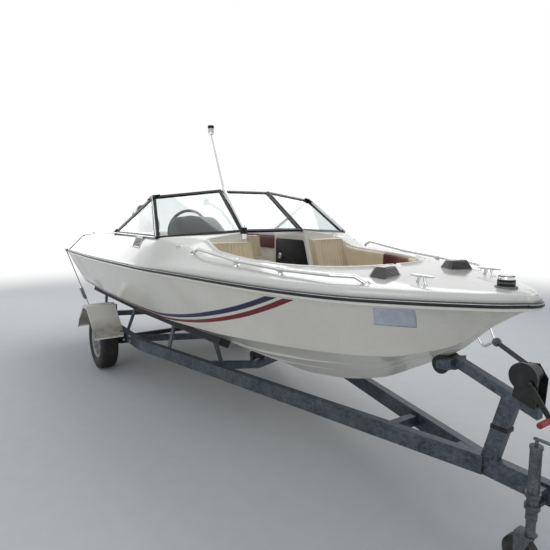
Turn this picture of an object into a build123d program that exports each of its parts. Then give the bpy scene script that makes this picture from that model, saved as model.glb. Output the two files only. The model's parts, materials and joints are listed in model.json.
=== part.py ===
from build123d import *
from collections import namedtuple
import math
import os

# A 5.1 metre bow-rider speedboat with an outboard motor, parked on its single-axle trailer.
# Sizes are in millimetres. Boat places are given as (forward from the transom top, port, up).

# Hull
HULL_LENGTH = 5080
HALF_BEAM = 1040
TRANSOM_RAKE = 8
RUB_RAIL_OUT = 22
RUB_RAIL_HALF = 12
SOLE_Z = 770
SOLE_THICK = 8

# Main cockpit, walkway and bow cockpit
COCKPIT_AFT = 640
COCKPIT_FORE = 2600
COCKPIT_HALF_TOP = HALF_BEAM - 240
COCKPIT_HALF_SOLE = HALF_BEAM - 325
DASH_DEPTH = 90
CONSOLE_WALL = 90
CONSOLE_SIDE = 30
WALKWAY_HALF = 290
CONSOLE_TOP_X = 3060
CONSOLE_FOOT_X = 3210
CONSOLE_TOP_Z = 1410
BOW_SEAT_Z = 950
BOW_OPEN_HALF = HALF_BEAM - 420
BOW_OPEN_STRAIGHT = 3600
BOW_OPEN_END = 4270
FOOTWELL_HALF = 250
FOOTWELL_END = 3880

# Motor well
WELL_LENGTH = 560
WELL_HALF = 390
WELL_FLOOR_Z = 925
TRANSOM_TOP_Z = 958
TRANSOM_THICK = 60

# Windscreen
SCREEN_SIDE_BASE = (2847, HALF_BEAM - 118, 1415)
SCREEN_SIDE_TOP = (2452, HALF_BEAM - 245, 1734)
SCREEN_POST_BASE = (3021, 282, 1456)
SCREEN_POST_TOP = (2561, 236, 1794)
SCREEN_AFT_BASE = (1670, HALF_BEAM - 140, 1413)
SCREEN_BAR = 26
SCREEN_THICK = 18
GLASS_THICK = 5
WINDOW_GAP = 6
HINGE_IN = 2
HINGE_ROD = 3.7

# Outboard motor, in its own upright frame from the tilt axis
TILT_X = -30
TILT_Z = 1015
ENGINE_TILT = 42
STEER_X = -95
COWL_FORE = -45
COWL_AFT = -500
COWL_HALF = 150
PAN_Z = 75
COWL_Z = 150
COWL_TOP = 530
PLATE_Z = -540
SHAFT_Z = -715
SKEG_Z = -915
SKEG_AFT = -465
PROP_RADIUS = 162
PROP_X = -452

# Trailer
RAIL_WIDE = 50
RAIL_TALL = 100
RAIL_Y = HALF_BEAM - 290
RAIL_TOP = 430
RAIL_AFT = 60
BEND_X = 1900
APEX_X = HULL_LENGTH - 180
DRAWBAR_TOP = 390
DRAWBAR_END = HULL_LENGTH + 640
COUPLER_LENGTH = 230
BALL_RADIUS = 25.2
WHEEL_X = 1180
WHEEL_Y = RAIL_Y + 163
TYRE_WIDE = 175
TYRE_RADIUS = 287
RIM_RADIUS = 165
AXLE_SIZE = 40
SPINDLE_RADIUS = 15
PIN_CLEAR = 0.3
FENDER_IN = RAIL_Y + 50
FENDER_OUT = RAIL_Y + 330
FENDER_THICK = 3.5
JACK_X = HULL_LENGTH + 120
JACK_Y = -118
JACK_RADIUS = 25
JACK_WALL = 3.5
JOCKEY_RADIUS = 75

FRONT_X = DRAWBAR_END + COUPLER_LENGTH
TILT_RAD = math.radians(ENGINE_TILT)
REAR_X = TILT_X + SKEG_AFT * math.cos(TILT_RAD) + SKEG_Z * math.sin(TILT_RAD)
MID_X = (FRONT_X + REAR_X) / 2

# How far a cut runs past what it cuts, how far two openings lap, and the gap round soft pieces
CUT_CLEAR = 50
CUT_LAP = 10
SOFT_GAP = 0.3
SKY_Z = 1700

os.makedirs("parts", exist_ok=True)


def place(x, y, z):
    """A point of the boat in the part's frame, whose origin is under the middle of its box."""
    return (x - MID_X, y, z)


def cross_plane(x):
    """A plane across the boat: sketch x is port, sketch y is up."""
    return Plane(origin=place(x, 0, 0), x_dir=(0, 1, 0), z_dir=(1, 0, 0))


def side_plane(y):
    """A plane along the boat: sketch x is forward, sketch y is up, and it extrudes to starboard."""
    return Plane(origin=place(0, y, 0), x_dir=(1, 0, 0), z_dir=(0, -1, 0))


def plan_plane(z):
    """A level plane: sketch x is forward, sketch y is port."""
    return Plane(origin=place(0, 0, z), x_dir=(1, 0, 0), z_dir=(0, 0, 1))


ENGINE_FORE = Vector(math.cos(TILT_RAD), 0, -math.sin(TILT_RAD))
ENGINE_UP = Vector(math.sin(TILT_RAD), 0, math.cos(TILT_RAD))
TILT_POINT = Vector(*place(TILT_X, 0, TILT_Z))


def engine_point(x, y, z):
    """A point of the motor's own upright frame, turned with its tilt."""
    return TILT_POINT + ENGINE_FORE * x + Vector(0, y, 0) + ENGINE_UP * z


def engine_plan(z):
    return Plane(origin=engine_point(0, 0, z), x_dir=ENGINE_FORE, z_dir=ENGINE_UP)


def engine_side(y):
    return Plane(origin=engine_point(0, y, 0), x_dir=ENGINE_FORE, z_dir=(0, -1, 0))


def engine_cross(x):
    return Plane(origin=engine_point(x, 0, 0), x_dir=(0, 1, 0), z_dir=ENGINE_FORE)


# Hull sections: share of the length, then keel height, chine and sheer as shares of the half beam
HullSection = namedtuple("HullSection", "share keel_z chine chine_z sheer sheer_z")
HULL = [
    HullSection(0.000, 450, 0.779, 770, 0.962, 1165),
    HullSection(0.295, 420, 0.808, 770, 1.000, 1180),
    HullSection(0.512, 398, 0.788, 780, 0.979, 1192),
    HullSection(0.650, 403, 0.712, 795, 0.894, 1195),
    HullSection(0.742, 462, 0.577, 800, 0.803, 1190),
    HullSection(0.824, 579, 0.428, 815, 0.692, 1186),
    HullSection(0.882, 733, 0.288, 840, 0.572, 1184),
    HullSection(0.934, 896, 0.087, 930, 0.394, 1184),
    HullSection(0.965, 1044, 0.038, 1075, 0.260, 1184),
    HullSection(0.988, 1125, 0.024, 1142, 0.144, 1184),
    HullSection(1.000, 1160, 0.014, 1168, 0.048, 1184),
]

# Deck sections: edge band in and up from the sheer, then shoulder and top, and the middle height
DeckSection = namedtuple("DeckSection", "share band_in band_up shoulder shoulder_z top top_z crown_z")
DECK = [
    DeckSection(0.000, 20, 15, 0.865, 1253, 0.788, 1330, 1345),
    DeckSection(0.295, 20, 20, 0.928, 1310, 0.870, 1400, 1412),
    DeckSection(0.512, 15, 25, 0.918, 1330, 0.885, 1415, 1440),
    DeckSection(0.561, 12, 30, 0.913, 1330, 0.885, 1415, 1460),
    DeckSection(0.600, 12, 40, 0.870, 1300, 0.808, 1370, 1470),
    DeckSection(0.650, 15, 45, 0.827, 1275, 0.750, 1315, 1350),
    DeckSection(0.742, 14, 48, 0.740, 1262, 0.654, 1295, 1315),
    DeckSection(0.824, 14, 50, 0.625, 1256, 0.519, 1278, 1290),
    DeckSection(0.882, 14, 50, 0.500, 1250, 0.385, 1265, 1275),
    DeckSection(0.934, 14, 48, 0.327, 1243, 0.231, 1250, 1256),
    DeckSection(0.965, 12, 46, 0.207, 1238, 0.135, 1242, 1245),
    DeckSection(0.988, 10, 45, 0.106, 1234, 0.067, 1236, 1237),
    DeckSection(1.000, 8, 41, 0.031, 1228, 0.019, 1229, 1230),
]


def between(table, x):
    """The section of a table at x, straight between its neighbours as the skin is."""
    share = min(max(x / HULL_LENGTH, 0), 1)
    for low, high in zip(table, table[1:]):
        if share <= high.share:
            t = (share - low.share) / (high.share - low.share)
            return type(low)(*[a + (b - a) * t for a, b in zip(low, high)])
    return table[-1]


def sheer_y(x):
    return between(HULL, x).sheer * HALF_BEAM


def bottom_z(x, y):
    """Height of the hull's bottom at x and y, between keel and chine."""
    s = between(HULL, x)
    return s.keel_z + (s.chine_z - s.keel_z) * abs(y) / (s.chine * HALF_BEAM)


def deck_z(x, y):
    """Height of the deck's skin at x and y."""
    h, d = between(HULL, x), between(DECK, x)
    line = [
        (h.sheer * HALF_BEAM, h.sheer_z),
        (h.sheer * HALF_BEAM - d.band_in, h.sheer_z + d.band_up),
        (d.shoulder * HALF_BEAM, d.shoulder_z),
        (d.top * HALF_BEAM, d.top_z),
        (0, d.crown_z),
    ]
    for (y1, z1), (y2, z2) in zip(line, line[1:]):
        if abs(y) >= y2:
            return z1 + (z2 - z1) * (y1 - abs(y)) / (y1 - y2)
    return line[-1][1]


def side_y(x, z):
    """Half breadth of the hull's side at x and z, between chine and sheer."""
    s = between(HULL, x)
    t = (z - s.chine_z) / (s.sheer_z - s.chine_z)
    return (s.chine + (s.sheer - s.chine) * t) * HALF_BEAM


def both(points):
    """An outline of the port side's points, closed by its starboard mirror image."""
    mirrored = [(-y, z) for y, z in reversed(points) if y > 0]
    return points + mirrored


def beam(start, end, wide, tall):
    """A straight bar between two points, wide across and tall up its section."""
    along = Vector(*end) - Vector(*start)
    across = Vector(0, 0, 1).cross(along)
    with BuildPart() as bar:
        with BuildSketch(Plane(origin=start, x_dir=across, z_dir=along)):
            Rectangle(wide, tall)
        extrude(amount=along.length)
    return bar.part


def tube(points, radius, bends):
    """A round bar along straight runs joined by bends."""
    with BuildPart() as rod:
        with BuildLine() as path:
            FilletPolyline(*points, radius=bends)
        with BuildSketch(path.line ^ 0):
            Circle(radius)
        sweep()
    return rod.part


def ribbon(plane, points, thick, wide):
    """A flat strap on edge: a line of points in a plane, thickened and extruded to both sides."""
    with BuildPart() as strap:
        with BuildSketch(plane):
            with BuildLine():
                Polyline(*points)
            trace(line_width=thick)
        extrude(amount=wide / 2, both=True)
    return strap.part


# Whole outer forms of hull and deck, before anything is cut out of them
with BuildPart() as hull_loft:
    for s in HULL:
        with BuildSketch(cross_plane(s.share * HULL_LENGTH)):
            half = [
                (0, s.keel_z),
                (s.chine * HALF_BEAM, s.chine_z),
                (s.sheer * HALF_BEAM, s.sheer_z),
            ]
            Polygon(*both(half), align=None)
    loft(ruled=True)

with BuildPart() as hull_form:
    add(hull_loft.part)
    rake_run = (HULL[0].sheer_z - HULL[0].keel_z + CUT_CLEAR) * math.tan(math.radians(TRANSOM_RAKE))
    with BuildSketch(side_plane(0)):
        Polygon(
            (0, HULL[0].sheer_z),
            (rake_run, HULL[0].keel_z - CUT_CLEAR),
            (-CUT_CLEAR, HULL[0].keel_z - CUT_CLEAR),
            (-CUT_CLEAR, HULL[0].sheer_z),
            align=None,
        )
    extrude(amount=2 * HALF_BEAM, both=True, mode=Mode.SUBTRACT)

with BuildPart() as deck_form:
    for d in DECK:
        h = between(HULL, d.share * HULL_LENGTH)
        with BuildSketch(cross_plane(d.share * HULL_LENGTH)):
            half = [
                (h.sheer * HALF_BEAM, h.sheer_z),
                (h.sheer * HALF_BEAM - d.band_in, h.sheer_z + d.band_up),
                (d.shoulder * HALF_BEAM, d.shoulder_z),
                (d.top * HALF_BEAM, d.top_z),
                (0, d.crown_z),
            ]
            outline = half + [(-y, z) for y, z in reversed(half[:-1])]
            Polygon(*outline, align=None)
    loft(ruled=True)

# Open space of the main cockpit, the walkway between the consoles and the footwell
LINER_KNEE_Z = 1190
FOOTROOM_IN = 40
WALKWAY_LAP = 60
with BuildPart() as cockpit_space:
    with BuildSketch(cross_plane(COCKPIT_AFT)):
        half = [
            (COCKPIT_HALF_SOLE, SOLE_Z),
            (COCKPIT_HALF_TOP, LINER_KNEE_Z),
            (COCKPIT_HALF_TOP, SKY_Z),
        ]
        Polygon(*both(half), align=None)
    extrude(amount=COCKPIT_FORE - COCKPIT_AFT)
    with BuildSketch(side_plane(WALKWAY_HALF + CONSOLE_SIDE)):
        dash_z = CONSOLE_TOP_Z - DASH_DEPTH
        Polygon(
            (COCKPIT_FORE - CUT_LAP, SOLE_Z),
            (CONSOLE_FOOT_X - CONSOLE_WALL, SOLE_Z),
            (CONSOLE_TOP_X - CONSOLE_WALL, dash_z),
            (COCKPIT_FORE - CUT_LAP, dash_z),
            align=None,
        )
    extrude(amount=-(COCKPIT_HALF_SOLE - FOOTROOM_IN - WALKWAY_HALF - CONSOLE_SIDE))
    mirror(about=Plane.XZ)
    with BuildSketch(plan_plane(SOLE_Z)):
        walkway_aft, walkway_fore = COCKPIT_FORE - CUT_LAP, CONSOLE_FOOT_X + WALKWAY_LAP
        with Locations(((walkway_aft + walkway_fore) / 2, 0)):
            Rectangle(walkway_fore - walkway_aft, 2 * WALKWAY_HALF)
    extrude(amount=SKY_Z - SOLE_Z)
    with BuildSketch(plan_plane(SOLE_Z)):
        with Locations(((FOOTWELL_END + CONSOLE_FOOT_X) / 2, 0)):
            Rectangle(FOOTWELL_END - CONSOLE_FOOT_X, 2 * FOOTWELL_HALF)
    extrude(amount=SKY_Z - SOLE_Z)

# Open space of the bow cockpit above its seats, rounded at the front
BOW_ARC_BACK = 190
BOW_ARC_SHARE = 0.76
BOW_AFT_X = CONSOLE_TOP_X - 20
with BuildSketch(plan_plane(BOW_SEAT_Z)) as bow_outline:
    with BuildLine():
        Line((BOW_AFT_X, BOW_OPEN_HALF), (BOW_OPEN_STRAIGHT, BOW_OPEN_HALF))
        ThreePointArc(
            (BOW_OPEN_STRAIGHT, BOW_OPEN_HALF),
            (BOW_OPEN_END - BOW_ARC_BACK, BOW_OPEN_HALF * BOW_ARC_SHARE),
            (BOW_OPEN_END, 0),
        )
        mirror(about=Plane.XZ)
        Line((BOW_AFT_X, BOW_OPEN_HALF), (BOW_AFT_X, -BOW_OPEN_HALF))
    make_face()
with BuildPart() as bow_space:
    extrude(bow_outline.sketch, amount=SKY_Z - BOW_SEAT_Z)
    with BuildSketch(side_plane(0)):
        Polygon(
            (CONSOLE_TOP_X, CONSOLE_TOP_Z),
            (CONSOLE_TOP_X, SKY_Z + CUT_LAP),
            (BOW_OPEN_END + CUT_CLEAR, SKY_Z + CUT_LAP),
            (BOW_OPEN_END + CUT_CLEAR, BOW_SEAT_Z),
            (CONSOLE_FOOT_X, BOW_SEAT_Z),
            align=None,
        )
    extrude(amount=HALF_BEAM, both=True, mode=Mode.INTERSECT)

# Open space round the motor, with the cut-down transom
WELL_FALL = 15
with BuildPart() as well_space:
    with BuildSketch(side_plane(0)):
        Polygon(
            (-CUT_CLEAR, TRANSOM_TOP_Z),
            (TRANSOM_THICK, TRANSOM_TOP_Z),
            (TRANSOM_THICK, WELL_FLOOR_Z),
            (WELL_LENGTH, WELL_FLOOR_Z + WELL_FALL),
            (WELL_LENGTH, SKY_Z),
            (-CUT_CLEAR, SKY_Z),
            align=None,
        )
    extrude(amount=WELL_HALF, both=True)

with BuildPart() as hull:
    add(hull_form.part)
    add(cockpit_space.part, mode=Mode.SUBTRACT)
    add(bow_space.part, mode=Mode.SUBTRACT)
    add(well_space.part, mode=Mode.SUBTRACT)

with BuildPart() as deck:
    add(deck_form.part)
    add(cockpit_space.part, mode=Mode.SUBTRACT)
    add(bow_space.part, mode=Mode.SUBTRACT)
    add(well_space.part, mode=Mode.SUBTRACT)

# Rubbing strake along the joint of hull and deck
with BuildPart() as rub_rail:
    for s in HULL:
        nose = RUB_RAIL_OUT if s.share == 1 else 0
        with BuildSketch(cross_plane(s.share * HULL_LENGTH + nose)):
            y = s.sheer * HALF_BEAM + RUB_RAIL_OUT - nose / 2
            half = [(y, s.sheer_z - RUB_RAIL_HALF), (y, s.sheer_z + RUB_RAIL_HALF)]
            Polygon(*both(half), align=None)
    loft(ruled=True)
    add(hull_loft.part, mode=Mode.SUBTRACT)
    add(deck_form.part, mode=Mode.SUBTRACT)

# Cockpit floor panel
SOLE_SHORT = 10
with BuildPart() as cockpit_sole:
    with BuildSketch(plan_plane(SOLE_Z)):
        with Locations(((COCKPIT_AFT + COCKPIT_FORE) / 2, 0)):
            Rectangle(COCKPIT_FORE - COCKPIT_AFT, 2 * COCKPIT_HALF_SOLE)
        with Locations(((COCKPIT_FORE + FOOTWELL_END - SOLE_SHORT) / 2, 0)):
            Rectangle(FOOTWELL_END - SOLE_SHORT - COCKPIT_FORE, 2 * FOOTWELL_HALF)
    extrude(amount=SOLE_THICK)

# Windscreen, its two front panes and two side panes in one black frame

def pane_plane(corners):
    """The plane of a pane, with its sketch x along the bottom edge and its normal outwards."""
    a, b, c = [Vector(*place(*p)) for p in (corners[0], corners[1], corners[-1])]
    normal = (b - a).cross(c - a)
    return Plane(origin=a, x_dir=b - a, z_dir=normal)


def pane_outline(corners):
    """The pane's corners in its own plane."""
    plane = pane_plane(corners)
    return [tuple(plane.to_local_coords(Vector(*place(*p))))[:2] for p in corners]


def port(p):
    return (p[0], abs(p[1]), p[2])


def starboard(p):
    return (p[0], -abs(p[1]), p[2])


FRONT_STARBOARD = [starboard(p) for p in
                   (SCREEN_SIDE_BASE, SCREEN_POST_BASE, SCREEN_POST_TOP, SCREEN_SIDE_TOP)]
FRONT_PORT = [port(p) for p in
              (SCREEN_POST_BASE, SCREEN_SIDE_BASE, SCREEN_SIDE_TOP, SCREEN_POST_TOP)]
SIDE_STARBOARD = [starboard(p) for p in (SCREEN_AFT_BASE, SCREEN_SIDE_BASE, SCREEN_SIDE_TOP)]
SIDE_PORT = [port(p) for p in (SCREEN_SIDE_BASE, SCREEN_AFT_BASE, SCREEN_SIDE_TOP)]
FIXED_PANES = [FRONT_STARBOARD, FRONT_PORT, SIDE_STARBOARD, SIDE_PORT]

with BuildPart() as windscreen_frame:
    for corners in FIXED_PANES:
        with BuildSketch(pane_plane(corners)):
            Polygon(*pane_outline(corners), align=None)
            offset(amount=-SCREEN_BAR, kind=Kind.INTERSECTION, mode=Mode.SUBTRACT)
        extrude(amount=-SCREEN_THICK)
    hinge_foot = Vector(*place(*port(SCREEN_POST_BASE)))
    hinge_line = Vector(*place(*port(SCREEN_POST_TOP))) - hinge_foot
    window_side = Vector(0, -HINGE_IN, 0)
    with BuildSketch(Plane(origin=hinge_foot + window_side, z_dir=hinge_line)):
        Circle(HINGE_ROD)
    extrude(amount=hinge_line.length)
    add(deck.part, mode=Mode.SUBTRACT)

with BuildPart() as windscreen_glass:
    for corners in FIXED_PANES:
        plane = pane_plane(corners)
        middle = plane.offset(-(SCREEN_THICK - GLASS_THICK) / 2)
        with BuildSketch(middle):
            Polygon(*pane_outline(corners), align=None)
            offset(amount=-SCREEN_BAR, kind=Kind.INTERSECTION, mode=Mode.REPLACE)
        extrude(amount=-GLASS_THICK)
    add(windscreen_frame.part, mode=Mode.SUBTRACT)

# Opening centre window over the walkway, hinged on the port post
CENTRE = [
    starboard(SCREEN_POST_BASE),
    port(SCREEN_POST_BASE),
    port(SCREEN_POST_TOP),
    starboard(SCREEN_POST_TOP),
]
with BuildPart() as centre_window_frame:
    with BuildSketch(pane_plane(CENTRE)):
        Polygon(*pane_outline(CENTRE), align=None)
        offset(amount=-WINDOW_GAP, kind=Kind.INTERSECTION, mode=Mode.REPLACE)
        offset(amount=-SCREEN_BAR, kind=Kind.INTERSECTION, mode=Mode.SUBTRACT)
    extrude(amount=-SCREEN_THICK)

with BuildPart() as centre_window_glass:
    with BuildSketch(pane_plane(CENTRE).offset(-(SCREEN_THICK - GLASS_THICK) / 2)):
        Polygon(*pane_outline(CENTRE), align=None)
        offset(amount=-WINDOW_GAP - SCREEN_BAR, kind=Kind.INTERSECTION, mode=Mode.REPLACE)
    extrude(amount=-GLASS_THICK)

# Instrument hood on the starboard console: its face with the gauges, then its profile forward and down
HELM_Y = 540 - HALF_BEAM
HOOD_HALF = 200
HOOD_FACE_LOW = (2585, 1335)
HOOD_FACE_TOP = (2535, 1540)
HOOD_PROFILE = [(2600, 1562), (2685, 1540), (2810, 1440), (2810, 1395), (COCKPIT_FORE, 1395)]

# Helm column through the hood's face, and the wheel on it
HELM_TILT = 14
HELM_INSET = 10
HELM_RADIUS = 165
HELM_RIM = 12
HELM_SHAFT = 10
HELM_REACH = 120
HELM_HUB = 34
HELM_HUB_RADIUS = 32
HELM_SPOKE = 32
HELM_SPOKE_THICK = 6
COLUMN_RADIUS = 30
COLUMN_SUNK = 20
COLUMN_GAP = 6
helm_axis = Vector(-math.cos(math.radians(HELM_TILT)), 0, math.sin(math.radians(HELM_TILT)))
face_middle = Vector(*place(
    (HOOD_FACE_LOW[0] + HOOD_FACE_TOP[0]) / 2 + HELM_INSET,
    HELM_Y,
    (HOOD_FACE_LOW[1] + HOOD_FACE_TOP[1]) / 2 - HELM_INSET,
))
helm_foot = Plane(origin=face_middle, x_dir=(0, 1, 0), z_dir=helm_axis)
helm_middle = helm_foot.offset(HELM_REACH)
with BuildPart() as instrument_hood:
    with BuildSketch(side_plane(HELM_Y)):
        Polygon(
            HOOD_FACE_LOW,
            HOOD_FACE_TOP,
            *HOOD_PROFILE,
            (COCKPIT_FORE, HOOD_FACE_LOW[1]),
            align=None,
        )
    extrude(amount=HOOD_HALF, both=True)
    add(deck.part, mode=Mode.SUBTRACT)
    with BuildSketch(helm_foot.offset(-COLUMN_SUNK)):
        Circle(COLUMN_RADIUS)
    extrude(amount=COLUMN_SUNK + HELM_REACH - HELM_HUB / 2 - COLUMN_GAP)
    with BuildSketch(helm_foot):
        Circle(HELM_SHAFT)
    extrude(amount=HELM_REACH + HELM_HUB / 2)

with BuildPart() as helm_wheel:
    with BuildSketch(helm_middle.offset(-HELM_HUB / 2)):
        Circle(HELM_HUB_RADIUS)
        Circle(HELM_SHAFT + PIN_CLEAR, mode=Mode.SUBTRACT)
    extrude(amount=HELM_HUB)
    for spoke in range(3):
        with BuildSketch(helm_middle.offset(-HELM_SPOKE_THICK / 2)):
            with Locations(Location((0, 0, 0), (0, 0, 90 + 120 * spoke))):
                with Locations(((HELM_RADIUS + COLUMN_RADIUS) / 2, 0)):
                    Rectangle(HELM_RADIUS - COLUMN_RADIUS, HELM_SPOKE)
        extrude(amount=HELM_SPOKE_THICK)
    rim_side = Plane(origin=helm_middle.origin, x_dir=(0, 1, 0), z_dir=helm_middle.x_dir.cross(helm_axis))
    with BuildSketch(rim_side):
        with Locations((HELM_RADIUS, 0)):
            Circle(HELM_RIM)
    revolve(axis=Axis(helm_middle.origin, helm_axis))

# Throttle and shift box on the starboard coaming's inner face, with its boss, lever and grip
THROTTLE_X = 2330
THROTTLE_Z = 1290
THROTTLE_LONG = 150
THROTTLE_TALL = 110
THROTTLE_THICK = 32
BOSS_X = THROTTLE_X + 15
BOSS_RADIUS = 22
BOSS_LONG = 18
LEVER_WIDE = 20
LEVER_THICK = 10
LEVER_TOP = (BOSS_X + 37, THROTTLE_Z + 137)
LEVER_GRIP_RADIUS = 14
LEVER_GRIP_LONG = 60
with BuildPart() as throttle_control:
    with BuildSketch(side_plane(-COCKPIT_HALF_TOP + SOFT_GAP)):
        with Locations((THROTTLE_X, THROTTLE_Z)):
            RectangleRounded(THROTTLE_LONG, THROTTLE_TALL, LEVER_WIDE)
    extrude(amount=-THROTTLE_THICK)
    with BuildSketch(side_plane(-COCKPIT_HALF_TOP + THROTTLE_THICK)):
        with Locations((BOSS_X, THROTTLE_Z)):
            Circle(BOSS_RADIUS)
    extrude(amount=-BOSS_LONG)
    with BuildSketch(side_plane(-COCKPIT_HALF_TOP + THROTTLE_THICK + 4)):
        with BuildLine():
            Line((BOSS_X, THROTTLE_Z), LEVER_TOP)
        trace(line_width=LEVER_WIDE)
    extrude(amount=-LEVER_THICK)
    with BuildSketch(side_plane(-COCKPIT_HALF_TOP + LEVER_WIDE)):
        with Locations(LEVER_TOP):
            Circle(LEVER_GRIP_RADIUS)
    extrude(amount=-LEVER_GRIP_LONG)

# Seats: two on boxes, a bench across the stern, and cushions round the bow cockpit
SEAT_X = 1900
SEAT_Y = HALF_BEAM - 580
SEAT_LONG = 430
SEAT_HALF = 225
SEAT_BOX_TOP = 1010
SEAT_BOX_IN = 30
SEAT_BOX_SIDE_IN = 40
CUSHION_THICK = 105
CUSHION_CORNER = 40
SEAT_BACK_TOP = 1370
SEAT_BACK_FOOT = 120
SEAT_BACK_HEAD = (-25, 60)
BENCH_LONG = 430
BENCH_HALF = COCKPIT_HALF_SOLE - 25
BENCH_BOX_SHORT = 30
BENCH_BACK_FOOT = 115
BENCH_BACK_HEAD = 80
BENCH_BACK_DROP = 15
FLOOR_Z = SOLE_Z + SOLE_THICK
with BuildPart() as seat_boxes:
    for side in (1, -1):
        with BuildSketch(plan_plane(FLOOR_Z)):
            with Locations((SEAT_X, side * SEAT_Y)):
                Rectangle(SEAT_LONG - 2 * SEAT_BOX_IN, 2 * (SEAT_HALF - SEAT_BOX_SIDE_IN))
        extrude(amount=SEAT_BOX_TOP - FLOOR_Z)
    with BuildSketch(plan_plane(FLOOR_Z)):
        with Locations((COCKPIT_AFT + (BENCH_LONG - BENCH_BOX_SHORT) / 2, 0)):
            Rectangle(BENCH_LONG - BENCH_BOX_SHORT, 2 * BENCH_HALF)
    extrude(amount=SEAT_BOX_TOP - FLOOR_Z)

with BuildPart() as seat_cushions:
    for side in (1, -1):
        with BuildSketch(plan_plane(SEAT_BOX_TOP + SOFT_GAP)):
            with Locations((SEAT_X, side * SEAT_Y)):
                RectangleRounded(SEAT_LONG, 2 * SEAT_HALF, CUSHION_CORNER)
        extrude(amount=CUSHION_THICK)
    with BuildSketch(plan_plane(SEAT_BOX_TOP + SOFT_GAP)):
        with Locations((COCKPIT_AFT + SOFT_GAP + BENCH_LONG / 2, 0)):
            RectangleRounded(BENCH_LONG, 2 * BENCH_HALF, CUSHION_CORNER)
    extrude(amount=CUSHION_THICK)

with BuildPart() as seat_backs:
    foot_z = SEAT_BOX_TOP + CUSHION_THICK + 2 * SOFT_GAP
    seat_aft = SEAT_X - SEAT_LONG / 2
    for side in (1, -1):
        with BuildSketch(side_plane(side * SEAT_Y)):
            Polygon(
                (seat_aft, foot_z),
                (seat_aft + SEAT_BACK_FOOT, foot_z),
                (seat_aft + SEAT_BACK_HEAD[1], SEAT_BACK_TOP),
                (seat_aft + SEAT_BACK_HEAD[0], SEAT_BACK_TOP),
                align=None,
            )
        extrude(amount=SEAT_HALF, both=True)
    with BuildSketch(side_plane(0)):
        Polygon(
            (COCKPIT_AFT + SOFT_GAP, foot_z),
            (COCKPIT_AFT + BENCH_BACK_FOOT, foot_z),
            (COCKPIT_AFT + BENCH_BACK_HEAD, SEAT_BACK_TOP - BENCH_BACK_DROP),
            (COCKPIT_AFT + SOFT_GAP, SEAT_BACK_TOP - BENCH_BACK_DROP),
            align=None,
        )
    extrude(amount=BENCH_HALF, both=True)

BOLSTER_AFT = 1180
BOLSTER_FORE = 2240
BOLSTER_THICK = 50
BOLSTER_TALL = 150
BOLSTER_ROUND = 15
BOLSTER_Z = 1290
with BuildPart() as side_bolsters:
    for side in (1, -1):
        with BuildSketch(cross_plane(BOLSTER_AFT)):
            with Locations((side * (COCKPIT_HALF_TOP - SOFT_GAP - BOLSTER_THICK / 2), BOLSTER_Z)):
                RectangleRounded(BOLSTER_THICK, BOLSTER_TALL, BOLSTER_ROUND)
        extrude(amount=BOLSTER_FORE - BOLSTER_AFT)

BOW_CUSHION_THICK = 85
BACKREST_THICK = 95
BACKREST_TOP = 1400
BACKREST_IN = 0.5
BACKREST_FLARE = 10
CUSHION_WELL_GAP = 10
CONSOLE_LEAN = (CONSOLE_FOOT_X - CONSOLE_TOP_X) / (CONSOLE_TOP_Z - BOW_SEAT_Z)


def console_face(z):
    """Where the console's forward face stands at height z."""
    return CONSOLE_TOP_X + (CONSOLE_TOP_Z - z) * CONSOLE_LEAN


with BuildPart() as bow_cushions:
    add(bow_space.part)
    with BuildSketch(plan_plane(BOW_SEAT_Z + SOFT_GAP)):
        with Locations(((BOW_AFT_X + BOW_OPEN_END) / 2, 0)):
            Rectangle(BOW_OPEN_END - BOW_AFT_X + 2 * CUT_CLEAR, 2 * HALF_BEAM)
    extrude(amount=BOW_CUSHION_THICK, mode=Mode.INTERSECT)
    with BuildSketch(plan_plane(BOW_SEAT_Z)):
        with Locations(((FOOTWELL_END + CONSOLE_TOP_X) / 2, 0)):
            Rectangle(FOOTWELL_END - CONSOLE_TOP_X, 2 * (FOOTWELL_HALF + CUSHION_WELL_GAP))
    extrude(amount=BOW_CUSHION_THICK + CUT_LAP, mode=Mode.SUBTRACT)

CUSHION_TOP = BOW_SEAT_Z + BOW_CUSHION_THICK + 2 * SOFT_GAP
with BuildPart() as bow_backrests:
    for side in (1, -1):
        with BuildSketch(side_plane(side * (WALKWAY_HALF + BACKREST_IN))):
            Polygon(
                (console_face(CUSHION_TOP) + SOFT_GAP, CUSHION_TOP),
                (console_face(CUSHION_TOP) + BACKREST_THICK + BACKREST_FLARE, CUSHION_TOP),
                (console_face(BACKREST_TOP) + BACKREST_THICK, BACKREST_TOP),
                (console_face(BACKREST_TOP) + SOFT_GAP, BACKREST_TOP),
                align=None,
            )
        extrude(amount=-side * (BOW_OPEN_HALF - WALKWAY_HALF - BACKREST_IN - SOFT_GAP))

SIDE_PAD_THICK = 60
SIDE_PAD_END = 3860
SIDE_PAD_TOP = 1330
SIDE_PAD_GAP = 4
with BuildSketch(plan_plane(BOW_SEAT_Z)) as pad_inside:
    add(bow_outline.sketch_local)
    offset(amount=-SIDE_PAD_THICK, kind=Kind.INTERSECTION, mode=Mode.REPLACE)
with BuildPart() as bow_side_pads:
    rest_low = console_face(CUSHION_TOP) + BACKREST_THICK + BACKREST_FLARE
    rest_high = rest_low - (SIDE_PAD_TOP - CUSHION_TOP) * CONSOLE_LEAN
    with BuildSketch(side_plane(0)):
        Polygon(
            (rest_low + SIDE_PAD_GAP, CUSHION_TOP),
            (SIDE_PAD_END, CUSHION_TOP),
            (SIDE_PAD_END, SIDE_PAD_TOP),
            (rest_high + SIDE_PAD_GAP, SIDE_PAD_TOP),
            align=None,
        )
    extrude(amount=BOW_OPEN_HALF - SOFT_GAP, both=True)
    add(bow_space.part, mode=Mode.INTERSECT)
    extrude(pad_inside.sketch, amount=SKY_Z - BOW_SEAT_Z, mode=Mode.SUBTRACT)

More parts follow.
